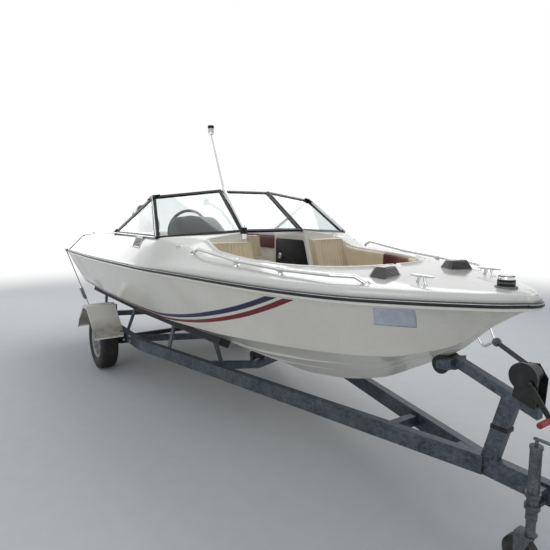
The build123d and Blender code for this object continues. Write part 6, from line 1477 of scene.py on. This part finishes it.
# Bow light: a black base with red and green lenses under a chromed cap; stern light on its bent pole, a
# white lens in a black collar; bow eye and pole in polished stainless steel.
softened("bow_light", black_plastic, 0.004, 3)
LIGHT_X = 4.954
light_foot = np.array((LIGHT_X, 0, float(deck_height(LIGHT_X, 0.0))))
red_lens = finish("red acrylic lens, unlit", "#5c0d11", "#43090c", 0.02, (0.08, 0.2), 0.003, 0.0001, coat=0.6)
green_lens = finish("green acrylic lens, unlit", "#08382a", "#062a1e", 0.02, (0.08, 0.2), 0.003, 0.0001,
                    coat=0.6)
grey_plastic = finish("grey moulded ABS", "#77797a", "#5d5f60", 0.05, (0.4, 0.6), 0.001, 0.0001)
lamp = [turned([(0.0425, 0.0), (0.0425, 0.0365), (0.0550, 0.0368), (0.0590, 0.0340), (0.0605, 0.0260),
                (0.0608, 0)], light_foot, (0, 0, 1)),
        turned([(-0.006, 0), (-0.006, 0.0510), (0.006, 0.0520), (0.011, 0.0495), (0.013, 0.0405)],
               light_foot, (0, 0, 1), paint=3)]
for side, paint in ((1, 1), (-1, 2)):
    sweep = np.radians(np.linspace(4, 112, 20))[:, None] * side
    arc = points(0.0404 * np.cos(sweep), 0.0404 * np.sin(sweep), 0.022 + 0.010 * np.linspace(0, 1, 5))
    lamp.append(surface(light_foot + arc, flip=side == -1, paint=paint))
make("bow_light_lenses", lamp, [rail_steel, red_lens, green_lens, grey_plastic],
     closed=False, solid=0.001)
refit("light_pole", rail_steel)
refit("bow_eye", cast_steel)
POLE_TOP = np.array((2.500, -0.290, 2.250))
POLE_FOOT = (3.062, -0.312)
clear_lens = finish("white acrylic lens", "#eef0ee", "#d2d4d0", 0.03, (0.1, 0.2), 0.003, 0.0001, coat=0.5)
pole_ground = seat_of(*POLE_FOOT)[0] - (0, 0, 0.004)
make("pole_lamp", [
    turned([(0.0, 0.0125), (0.001, 0.0248), (0.012, 0.0252), (0.014, 0.0252)], POLE_TOP, (0, 0, 1)),
    turned([(0.014, 0.0252), (0.050, 0.0252)], POLE_TOP, (0, 0, 1), paint=1),
    turned([(0.050, 0.0252), (0.052, 0.0262), (0.070, 0.0262), (0.0755, 0.022), (0.0762, 0.0)],
           POLE_TOP, (0, 0, 1), paint=2),
    turned([(0.0, 0.0), (0.0, 0.0285), (0.006, 0.0285), (0.010, 0.0262), (0.046, 0.0245), (0.048, 0.014)],
           pole_ground, (0, 0, 1), paint=2)],
     [rail_steel, clear_lens, black_plastic], closed=False)

# Card: a sheet of pale laminated paper, blank, taped flat to the hull's side and following its curve.
CARD_CORNERS = ((4.571, 1.138), (4.719, 1.138), (4.668, 1.030), (4.524, 1.039))
CARD_LIFT = 0.0012
u, v = np.meshgrid(np.linspace(0, 1, 16), np.linspace(0, 1, 12), indexing="ij")
card_x, card_z = [(1 - v) * ((1 - u) * a + u * b) + v * ((1 - u) * d + u * c)
                  for a, b, c, d in zip(*CARD_CORNERS)]
_, _, low_z, _, high_z = hull_lines(card_x)
share = (card_z - low_z) / (high_z - low_z)
for _ in range(6):
    share = share + (card_z - hull_side(card_x, share, CARD_LIFT)[1]) / (high_z - low_z)
card_y, card_z = hull_side(card_x, share, CARD_LIFT)
card_paper = finish("laminated paper, pale lilac, blank", "#bcc2d0", "#cdd2de", 0.12, (0.12, 0.24), 0.03,
                    0.0004, coat=0.3)
make("card_sheet", [surface(points(card_x, -card_y, card_z), flip=True)], card_paper,
     stands_for=["bow_card"], closed=False, solid=0.0006, sharp=60)

# Motor cowl and lower pan: glass-filled nylon mouldings painted gloss black, closed on a rubber seal. The
# cowl has a raised shoulder, and dark slots near its aft end let the motor's air in.
TILT_TURN = math.radians(42)
TILT_AT = np.array((-0.030, 0, 1.015))
FORE = np.array((math.cos(TILT_TURN), 0, -math.sin(TILT_TURN)))
UP = np.array((math.sin(TILT_TURN), 0, math.cos(TILT_TURN)))
COWL_ROWS = np.array([
    (0.1515, -0.051, -0.494, 0.1440), (0.156, -0.046, -0.499, 0.1490), (0.200, -0.043, -0.503, 0.1510),
    (0.238, -0.042, -0.506, 0.1510), (0.246, -0.048, -0.501, 0.1460), (0.330, -0.050, -0.507, 0.1445),
    (0.420, -0.058, -0.510, 0.1390), (0.470, -0.073, -0.504, 0.1300), (0.503, -0.098, -0.488, 0.1140),
    (0.522, -0.138, -0.458, 0.0880), (0.530, -0.190, -0.400, 0.0520), (0.532, -0.285, -0.305, 0.0060)])
PAN_ROWS = np.array([
    (0.0755, -0.085, -0.440, 0.110), (0.080, -0.073, -0.456, 0.122), (0.110, -0.058, -0.478, 0.137),
    (0.140, -0.047, -0.497, 0.1475), (0.1475, -0.048, -0.496, 0.1465), (0.1490, -0.052, -0.492, 0.1420)])
COWL_POWER = 0.62


def on_engine(x, y, z):
    """Points given from the tilt pin in the raised motor's own directions, put into the boat's."""
    x, y, z = np.broadcast_arrays(x, y, z)
    return TILT_AT + x[..., None] * FORE + y[..., None] * TO_PORT + z[..., None] * UP


def cover(rows, count):
    """A cover with oval sections from rows of height, fore end, aft end and half width."""
    share = np.linspace(0, len(rows) - 1, count)
    z, fore, aft, half = [smooth(np.arange(len(rows)), column, share)[:, None] for column in rows.T]
    along, out = oval(full_turn(72), COWL_POWER)
    grid = on_engine((fore + aft) / 2 + (fore - aft) / 2 * along, half * out, z)
    return surface(grid, wrap=True, ends=True)


cowl_paint = finish("gloss black paint on moulded nylon", "#0b0c0e", "#1c1e21", 0.18, (0.10, 0.24), 0.002,
                    0.00003, coat=0.5)
seal_rubber = finish("black neoprene seal", "#151516", "#2a2a2b", 0.05, (0.5, 0.7), 0.002, 0.0001)
make("cowl_cover", [cover(COWL_ROWS, 70)], cowl_paint, body="engine",
     stands_for=["engine_cowl"], sharp=50)
make("lower_pan", [cover(PAN_ROWS, 24)], cowl_paint, body="engine",
     stands_for=["engine_pan"], sharp=50)
SEAL_ROWS = np.array([(0.1480, -0.056, -0.488, 0.1385), (0.1500, -0.054, -0.490, 0.1405),
                      (0.1525, -0.056, -0.488, 0.1385)])
make("cowl_seal", [cover(SEAL_ROWS, 7)], seal_rubber, body="engine", sharp=35)
slots = [plate(on_engine(-0.345 - 0.026 * row, side * 0.1405, 0.385), FORE * side, UP + FORE * 0.25,
               0.012, 0.075, 0.0035, 0.005, edge=0.001) for row in range(5) for side in (1, -1)]
make("cowl_air_slots", slots, black_plastic, body="engine", sharp=50)
latch = plate(on_engine(-0.5010, 0, 0.176), (0, -1, 0), UP, 0.052, 0.034, 0.009, 0.006, edge=0.002)
make("cowl_latch", [latch], black_plastic, body="engine", sharp=50)

# Leg, brackets and motor block: pressure-cast aluminium with a baked black enamel, cast iron inside. The
# leg hangs in the swivel bracket, which the clamp bracket carries with bolts through the transom.
motor_paint = finish("baked black enamel on cast aluminium", "#121315", "#303235", 0.07, (0.28, 0.48), 0.0014,
                     0.00016)
raw_iron = finish("cast iron, oiled", "#2c2b2a", "#3d3630", 0.03, (0.4, 0.6), 0.001, 0.0003, metal=0.6)
softened("engine_leg", motor_paint, 0.007, 4)
softened("swivel_bracket", motor_paint, 0.004, 3)
softened("clamp_bracket", motor_paint, 0.004, 3)
softened("engine_block", raw_iron, 0.010, 2)

# Propeller: cast aluminium, three blades of one screw surface round a hollow hub, painted black and bare
# where sand has worn the tips and leading edges.
PROP_PITCH = 0.280
PROP_ROOT = 0.032
PROP_TIP = 0.161
PROP_PLACE = (-0.452, -0.715)
propeller_paint = finish("black enamel on cast aluminium, worn", "#17181a", "#4b4e52", 0.03, (0.22, 0.45),
                         0.002, 0.00008, share=(0.55, 0.8))
reach = np.linspace(0, 1, 30)[:, None]
radius = PROP_ROOT + (PROP_TIP - PROP_ROOT) * reach
half_chord = smooth(np.array([0, 0.45, 0.75, 0.92, 1.0]), np.array([0.038, 0.061, 0.056, 0.036, 0.004]),
                    reach)
around = full_turn(40)
chord = np.cos(around)
wall = np.sin(around) * np.sqrt(np.abs(np.sin(around))) * (0.0042 - 0.0026 * reach)
turn = (half_chord * chord - 0.012 * reach ** 2) / radius * 0.92
ahead = PROP_PITCH / (2 * math.pi) * turn + wall - 0.012 * reach
blades = []
for blade in range(3):
    angle = math.radians(90 + 120 * blade) + turn
    blades.append(surface(on_engine(PROP_PLACE[0] + ahead, radius * np.cos(angle),
                                    PROP_PLACE[1] + radius * np.sin(angle)), wrap=True, ends=True))
HUB_PROFILE = [(0, 0.0105), (0, 0.036), (-0.003, 0.038), (-0.088, 0.0345), (-0.098, 0.0335), (-0.100, 0.0325),
               (-0.100, 0.0285), (-0.060, 0.0270), (-0.060, 0.0180), (-0.082, 0.0165), (-0.084, 0.0105),
               (0, 0.0105)]
blades.append(turned(HUB_PROFILE, on_engine(-0.405, 0, PROP_PLACE[1]), FORE, 48))
make("propeller_casting", blades, propeller_paint, body="propeller",
     stands_for=["propeller"], sharp=42)

# Trailer frame, coupling, brackets and posts: rolled steel sections, welded, then dipped in molten zinc.
# The zinc froze into spangles and has dulled to blue-grey under road dirt, with rust at a few edges.


def galvanised(name, dark, light, shine=(0.38, 0.62)):
    """Zinc spangles of about 12 mm, each of its own grey, under a dull bloom in patches of about 150 mm,
    with brown rust where a finer noise peaks."""
    made, tree, shader, spot = start_material(name)
    bend = add(tree, "TexNoise", {"Vector": spot, "Scale": 30.0, "Detail": 3.0}).node.outputs["Color"]
    warped = add(tree, "Mix", {0: 0.06, 4: spot, 5: bend}, data_type="VECTOR").node.outputs[1]
    flake = add(tree, "TexVoronoi", {"Vector": warped, "Scale": 80.0}).node.outputs["Color"]
    tone = add(tree, "SeparateColor", {"Color": flake})
    bloom = add(tree, "TexNoise", {"Vector": spot, "Scale": 6.5, "Detail": 7.0, "Roughness": 0.65})
    dulled = add(tree, "MapRange", {"Value": bloom, "From Min": 0.4, "From Max": 0.7})
    lighter = add(tree, "Math", {0: dulled, 1: 0.45}, operation="MULTIPLY")
    mixed = add(tree, "Math", {0: tone, 1: 0.55, 2: lighter}, operation="MULTIPLY_ADD")
    pits = add(tree, "TexNoise", {"Vector": spot, "Scale": 24.0, "Detail": 8.0, "Roughness": 0.7})
    rust = add(tree, "MapRange", {"Value": pits, "From Min": 0.66, "From Max": 0.74, "To Max": 0.8})
    zinc = blended(tree, mixed, dark, light)
    bump = add(tree, "Bump", {"Height": pits, "Strength": 0.4, "Distance": 0.0006})
    put(tree, shader, {"Base Color": blended(tree, rust, zinc, "#6b4630"),
                       "Metallic": add(tree, "MapRange", {"Value": rust, "To Min": 0.65, "To Max": 0.0}),
                       "Roughness": add(tree, "MapRange", {"Value": mixed, "To Min": shine[0],
                                                           "To Max": shine[1]}),
                       "Normal": bump})
    return made


zinc_frame = galvanised("hot-dip galvanised steel, dulled", "#3d444c", "#727a83")
zinc_dull = galvanised("zinc-plated tube, dulled", "#4d5355", "#7f8688", (0.35, 0.55))
zinc_plate = galvanised("zinc-plated steel, bright", "#8b9095", "#bfc3c6", (0.25, 0.45))
for node, width in (("trailer_frame", 0.005), ("coupler", 0.004), ("bunk_posts", 0.002),
                    ("winch_post", 0.004), ("fender_brackets", 0.001)):
    softened(node, zinc_frame, width, 2)

# Axle, springs and U-bolts: black chassis paint over steel, dusty and chipped to rust. Three leaves lie
# under each rail, shorter from one to the next, and two U-bolts hold them to the axle.
chassis_black = finish("black chassis enamel on steel, chipped", "#141516", "#4a3a30", 0.04, (0.4, 0.65),
                       0.003, 0.0003, share=(0.62, 0.85))
softened("axle", chassis_black, 0.002, 2)
WHEEL_AT = (1.180, 0.913, 0.287)
SPRING_Y = 0.750
LEAF_OUTLINE = ((0.0225, 0.0018), (0.0225, -0.0018), (-0.0225, -0.0018), (-0.0225, 0.0018))
BOLT_ROWS = ((0, 0), (0, 0.0055), (0.105, 0.0055), (0.107, 0.0045), (0.107, 0))
NUT_ON_BOLT = ((0.003, 0), (0.003, 0.0095), (0.012, 0.0095), (0.012, 0))
leaves = []
for level in range(3):
    x = np.linspace(-0.290 + 0.07 * level, 0.290 - 0.07 * level, 30)
    path = points(WHEEL_AT[0] + x, SPRING_Y, 0.256 + 0.060 * (x / 0.295) ** 2 - 0.0045 * level)
    leaves.append(carried(path, LEAF_OUTLINE, (0, 0, 1)))
for fore in (-0.027, 0.027):
    for out in (-0.026, 0.026):
        foot = np.array((WHEEL_AT[0] + fore, SPRING_Y + out, 0.225))
        leaves += [turned(BOLT_ROWS, foot, (0, 0, 1), 12), turned(NUT_ON_BOLT, foot, (0, 0, 1), 6)]
make("spring_leaves", mirrored(*leaves), chassis_black, sharp=45)

# Tyres: rubber over a steel carcass, with three grooves round the tread, slanted cross grooves that leave
# blocks, and moulded rings on the side walls. Grey dust sits in the grooves and on the walls.
# Millimetres out from the middle and of radius, then the depth of the long and of the cross grooves
TYRE_ROWS = [
    (61.5, 156.6, 0, 0), (65, 161, 0, 0), (63, 172, 0, 0), (70, 180, 0, 0), (77, 190, 0, 0), (83, 203, 0, 0),
    (86, 214, 0, 0), (86.2, 216, 0, 0), (87.4, 217, 0, 0), (87.4, 221, 0, 0), (86.4, 222, 0, 0),
    (86.4, 236, 0, 0), (84.5, 250, 0, 0), (83.6, 253, 0, 0.2), (81, 262, 0, 0.7), (77, 271, 0, 1),
    (71, 279, 0, 1), (62, 283.5, 0, 1), (45, 285.5, 0, 1), (44, 285.5, 1, 1), (38, 285.8, 1, 1),
    (37, 285.8, 0, 1), (20, 286.6, 0, 1), (19, 286.6, 0, 0.5), (16, 286.6, 0, 0.5), (15, 286.6, 1, 1),
    (9, 286.8, 1, 1), (8, 286.8, 0, 0.4), (0, 287, 0, 0.4)]
PITCHES = 64
GROOVE = 0.0062
out, radius, long_cut, cross_cut = np.array(TYRE_ROWS + [(-y, *row) for y, *row in TYRE_ROWS[-2::-1]]).T
pitch = 2 * math.pi / PITCHES
angle = (np.arange(PITCHES)[:, None] + (0, 0.03, 0.17, 0.20, 0.60)).ravel() * pitch
dip = np.tile((0, 1, 1, 0, 0), PITCHES)[:, None]
tread_turn = angle[:, None] + 0.55 * out / 70 * pitch * (np.abs(out) < 80)
tread = radius / 1000 - np.maximum(long_cut, dip * cross_cut) * GROOVE
tyre_grid = WHEEL_AT + points(tread * np.cos(tread_turn), out / 1000, tread * np.sin(tread_turn))
tyre_rubber = finish("carbon-black tyre rubber, dusty", "#161616", "#45423d", 0.09, (0.55, 0.85), 0.004,
                     0.0003, share=(0.4, 0.85))
for side, name in ((1, "port"), (-1, "starboard")):
    make("tyre_tread_" + name, [surface(tyre_grid * (1, side, 1), loop=True)], tyre_rubber,
         body="wheel_" + name, stands_for=["tyre_" + name], closed=False, sharp=30)

# Wheels: pressed steel discs with windows, welded into rolled rims and painted silver, with a zinc hub cap
# and five tapered nuts.
WINDOWS = 10
# The silver is darker than the wheels' own paint, to stand for the shade behind the mudguards: partly painted
# shade.
wheel_silver_and_shade = finish("silver enamel on steel, road dirt", "#a7a9a9", "#5f594f", 0.06, (0.3, 0.5), 0.003,
                      0.0001, share=(0.5, 0.8))
WINDOW_STEPS = 16
RIM_ROWS = [(0.018, 0.1490), (0.062, 0.1500), (0.068, 0.158), (0.0690, 0.1690), (0.0720, 0.1715),
            (0.0735, 0.1700), (0.0730, 0.1665), (0.0700, 0.1560), (0.0640, 0.1465), (0.0200, 0.1440),
            (-0.0640, 0.1465), (-0.0700, 0.1560), (-0.0730, 0.1665), (-0.0735, 0.1700), (-0.0720, 0.1715),
            (-0.0690, 0.1690), (-0.068, 0.158), (-0.062, 0.1500), (0.018, 0.1490)]
DISC_ROWS = np.array([(0.0200, 0.040), (0.0200, 0.052), (0.0215, 0.066), (0.0260, 0.080), (0.0295, 0.092),
                      (0.0300, 0.104), (0.0290, 0.114), (0.0262, 0.124), (0.0225, 0.132), (0.0185, 0.140),
                      (0.0175, 0.1452)])
NUT_ROWS = [(0, 0), (0, 0.011), (0.013, 0.010), (0.018, 0.007), (0.018, 0)]
CAP_ROWS = [(-0.075, 0.0300), (0.030, 0.0330), (0.032, 0.0335), (0.034, 0.0300), (0.046, 0.0290),
            (0.0560, 0.0240), (0.0600, 0.014), (0.0600, 0)]


def handed(surfaces, side):
    """Surfaces as they are for the port side, or their mirror images for starboard."""
    return surfaces if side > 0 else mirrored(*surfaces)[len(surfaces):]


out, radius = DISC_ROWS.T
turn = full_turn(WINDOWS * WINDOW_STEPS)[:, None]
disc_points, disc_faces, _ = surface(WHEEL_AT + points(radius * np.cos(turn), out, radius * np.sin(turn)),
                                     loop=True)
slice_at, band = np.divmod(np.arange(len(disc_faces)), len(DISC_ROWS) - 1)
slice_at = slice_at % WINDOW_STEPS
open_here = ((band >= 5) & (band <= 7) & (slice_at >= 4) & (slice_at <= 11)) | (
    (band >= 4) & (band <= 8) & (slice_at >= 5) & (slice_at <= 10))
disc_left = [face for face, gone in zip(disc_faces, open_here) if not gone]
rim = turned(RIM_ROWS, WHEEL_AT, TO_PORT, 96)
turn = np.radians(90 + 72 * np.arange(5))
nut_places = WHEEL_AT + points(0.057 * np.cos(turn), 0.0205, 0.057 * np.sin(turn))
metal = [turned(NUT_ROWS, place, TO_PORT, 6) for place in nut_places]
metal.append(turned(CAP_ROWS, WHEEL_AT, TO_PORT, 40))
for side, name in ((1, "port"), (-1, "starboard")):
    make("wheel_disc_" + name, handed([(disc_points, disc_left, 0)], side), wheel_silver_and_shade,
         body="wheel_" + name, stands_for=["wheel_" + name], closed=False, solid=0.004,
         bevel=0.0012, sharp=35)
    make("wheel_rim_" + name, handed([rim], side), wheel_silver_and_shade, body="wheel_" + name,
         sharp=45)
    make("wheel_nuts_" + name, handed(metal, side), zinc_plate, body="wheel_" + name)

# Mudguards: steel plate bent in five flats with a lip turned down at the outer edge, painted off-white.
# Road dirt has browned the front flat and the lower edges.


def fender_coat():
    """Off-white enamel that browns towards the low ends of the mudguard, broken up by spatter."""
    made, tree, shader, spot = start_material("off-white enamel on steel plate, road dirt")
    splash = add(tree, "TexNoise", {"Vector": spot, "Scale": 18.0, "Detail": 8.0, "Roughness": 0.7})
    height = add(tree, "SeparateXYZ", {0: spot}).node.outputs["Z"]
    low = add(tree, "MapRange", {"Value": height, "From Min": 0.56, "From Max": 0.47, "To Max": 0.62})
    patchy = add(tree, "MapRange", {"Value": splash, "From Min": 0.35, "From Max": 0.65, "To Min": 0.6,
                                    "To Max": 1.2})
    dirt = add(tree, "Math", {0: low, 1: patchy}, operation="MULTIPLY", use_clamp=True)
    put(tree, shader, {"Base Color": blended(tree, dirt, "#dcdad2", "#6f5f4d"),
                       "Roughness": add(tree, "MapRange", {"Value": dirt, "To Min": 0.3, "To Max": 0.7}),
                       "Coat Weight": 0.2,
                       "Normal": add(tree, "Bump", {"Height": splash, "Strength": 0.2, "Distance": 0.0004})})
    return made


softened("fenders", fender_coat(), 0.0014, 2)
lip_paint = finish("off-white enamel, bent edge", "#e2e0d8", "#b9b4a8", 0.05, (0.25, 0.45), 0.003, 0.0001)
lips = [strip((x, 0.801, 0.394), (x, 1.082, 0.394), (way, 0, 0.4), 0.022, 0.0035)
        for x, way in ((1.5315, 1), (0.8245, -1))]
make("fender_lips", mirrored(*lips), lip_paint)

# Frame bolts: zinc-plated hexagon heads on washers in the outer face of each rail, at two of the cross
# members and either side of the axle.
BOLT = 0.011
bolt_places = [(x, 0.7765, z) for x in (0.225, 0.255, 1.625, 1.655) for z in (0.352, 0.408)]
bolt_places += [(x, 0.7825, z) for x in (1.130, 1.230) for z in (0.365, 0.415)]
washer = [(-0.002, 0), (-0.002, BOLT), (0.0014, BOLT), (0.002, BOLT * 0.94), (0.002, 0)]
head = [(0.001, 0), (0.001, BOLT * 0.66), (BOLT * 0.50, BOLT * 0.66), (BOLT * 0.62, BOLT * 0.54),
        (BOLT * 0.62, 0)]
bolts = [turned(rows, place, TO_PORT, count) for place in bolt_places
         for rows, count in ((washer, 20), (head, 6))]
make("frame_bolts", mirrored(*bolts), zinc_plate)

# Bunks: timber boards wrapped in looped marine carpet, stapled underneath. Rollers: moulded black rubber
# on steel pins, polished where the keel runs on them.
softened("bunks", carpet("looped bunk carpet, charcoal", "#17171a", "#3a3a3d"), 0.007, 3)
roller_rubber = finish("black natural rubber", "#131314", "#2f2e2d", 0.05, (0.42, 0.7), 0.003, 0.0002)
softened("rollers", roller_rubber, 0.003, 3)

# Winch: pressed steel cheeks painted black, a plated drum and gears, a webbing strap to the bow eye and a
# crank with a moulded red grip.
winch_enamel = finish("black enamel on pressed steel", "#121314", "#33322f", 0.05, (0.3, 0.5), 0.002, 0.0001)
softened("winch_frame", winch_enamel, 0.0012, 2)
softened("winch_drum", winch_enamel, 0.0015, 2)
softened("winch_crank", winch_enamel, 0.0020, 2)
softened("strap_hook", zinc_dull, 0.0020, 3)
grip_red = finish("red polypropylene moulding", "#a3161c", "#7c1216", 0.03, (0.3, 0.5), 0.001, 0.0001)
softened("crank_grip", grip_red, 0.003, 3)


def webbing(name, colour, worn, ribs):
    """Woven polyester: ribs of a given number to the metre, crossed by a slanting weft, faded and dirty in
    patches. The dips between the threads are darker: painted shade."""
    made, tree, shader, spot = start_material(name)
    warp = add(tree, "TexWave", {"Vector": spot, "Scale": ribs / 6.28, "Distortion": 0.2}, wave_type="BANDS",
               bands_direction="X")
    weft = add(tree, "TexWave", {"Vector": spot, "Scale": ribs / 9.0, "Distortion": 0.3}, wave_type="BANDS",
               bands_direction="DIAGONAL")
    cloth = add(tree, "Math", {0: warp, 1: weft}, operation="MULTIPLY")
    grime = add(tree, "TexNoise", {"Vector": spot, "Scale": 12.0, "Detail": 7.0})
    faded = add(tree, "MapRange", {"Value": grime, "From Min": 0.4, "From Max": 0.75})
    body = blended(tree, faded, colour, worn)
    # Painted shade: the colour darkens in the dips of the weave.
    dark = add(tree, "MapRange", {"Value": cloth, "To Min": 0.55, "To Max": 1.0})
    shaded = add(tree, "VectorMath", {0: body, 1: add(tree, "CombineXYZ", {0: dark, 1: dark, 2: dark})},
                 operation="MULTIPLY")
    put(tree, shader, {"Base Color": shaded, "Roughness": 0.85, "Sheen Weight": 0.2,
                       "Normal": add(tree, "Bump", {"Height": cloth, "Strength": 0.8, "Distance": 0.0006})})
    return made


black_webbing = webbing("black polyester webbing", "#17181b", "#35363a", 420)
softened("winch_strap", black_webbing, 0.0006, 1)
# A turn of the same webbing, buckled round the leaning post half way up: the post's x at head and foot
BAND_Z = 0.560
band_x = np.interp(BAND_Z, (0.390, 0.718), (4.932, 5.020))
band = points(band_x + np.array((-0.0415, 0.0415, 0.0415, -0.0415)), (-0.0265, -0.0265, 0.0265, 0.0265),
              BAND_Z)
middle = band.mean(0)
band = np.stack([middle + (band - middle) * grow + (0.0010 * k, 0, 0.011 * k)
                 for grow, k in ((1, -1), (1, 1), (1.06, 1), (1.06, -1))])
make("post_band", [surface(band, wrap=True, loop=True)], black_webbing, sharp=30)

# Tie-downs: dark red webbing from the stern cleat over the gunwale's curve, then straight down to the
# rail, pulled tight by a plated ratchet.
TIE_X = 0.150
_, _, _, tie_sheer, tie_sheer_z = [float(v) for v in hull_lines(TIE_X)]
deck_y = np.linspace(0.742, tie_sheer - 0.012, 16)
on_deck = [ground + square * 0.007 for ground, square in (seat_of(TIE_X, y) for y in deck_y)]
past_sheer = [(TIE_X, tie_sheer + out, tie_sheer_z + up)
              for out, up in ((0.0225, 0.0145), (0.0240, 0.006), (0.0240, -0.010))]
tie_path = np.concatenate([on_deck, past_sheer, [(TIE_X, 0.784, 0.410)]])
strap_edge = [(0.0011, 0.0225), (0.0014, 0.0200), (0.0014, -0.0200), (0.0011, -0.0225), (-0.0011, -0.0225),
              (-0.0014, -0.0200), (-0.0014, 0.0200), (-0.0011, 0.0225)]
make("tie_straps", mirrored(carried(tie_path, strap_edge, (1, 0, 0))),
     webbing("dark red polyester webbing", "#5a1720", "#7a3a40", 420),
     stands_for=["tie_down_straps"], sharp=50)
softened("tie_ratchets", zinc_plate, 0.003, 2)

# Jack: drawn steel tubes, zinc-plated and greased, on a swivel bracket bolted to the drawbar, with a
# rubber-tyred jockey wheel in a pressed fork.
for node, width in (("jack_tube", 0.0015), ("jockey_leg", 0.001), ("jockey_fork", 0.0015)):
    softened(node, zinc_dull, width, 2)
jockey_rubber = finish("grey-black jockey wheel rubber", "#1a1a1b", "#4a4741", 0.04, (0.5, 0.8), 0.003,
                       0.0003)
softened("jockey_wheel", jockey_rubber, 0.004, 3)

# Tail lamps: moulded red acrylic over a black base, ribbed inside to spread the light, one near each end
# of the rear cross member.
LAMP_RIBS = 22
red_acrylic = finish("red acrylic lens", "#8f0f14", "#6a0c10", 0.02, (0.08, 0.18), 0.0008, 0.00002, coat=0.5)
lamp_base = finish("black moulded lamp base", "#141415", "#2a2a2b", 0.03, (0.45, 0.6), 0.001, 0.0001)
softened("tail_lamps", lamp_base, 0.003, 3)
LAMP_Y = 0.750
LAMP_Z = 0.380
along = np.linspace(-0.084, 0.084, LAMP_RIBS * 8 + 1)[:, None]
ribbed = 0.0016 * np.abs(np.cos(along / 0.168 * math.pi * LAMP_RIBS))
lens = points(0.0135 - ribbed, LAMP_Y + along, LAMP_Z + np.linspace(-0.042, 0.042, 3))
lens = np.concatenate([lens, lens[:, ::-1] + (0.004, 0, 0)], 1)
make("lamp_lenses", mirrored(surface(lens, wrap=True, ends=True)), red_acrylic, sharp=25)
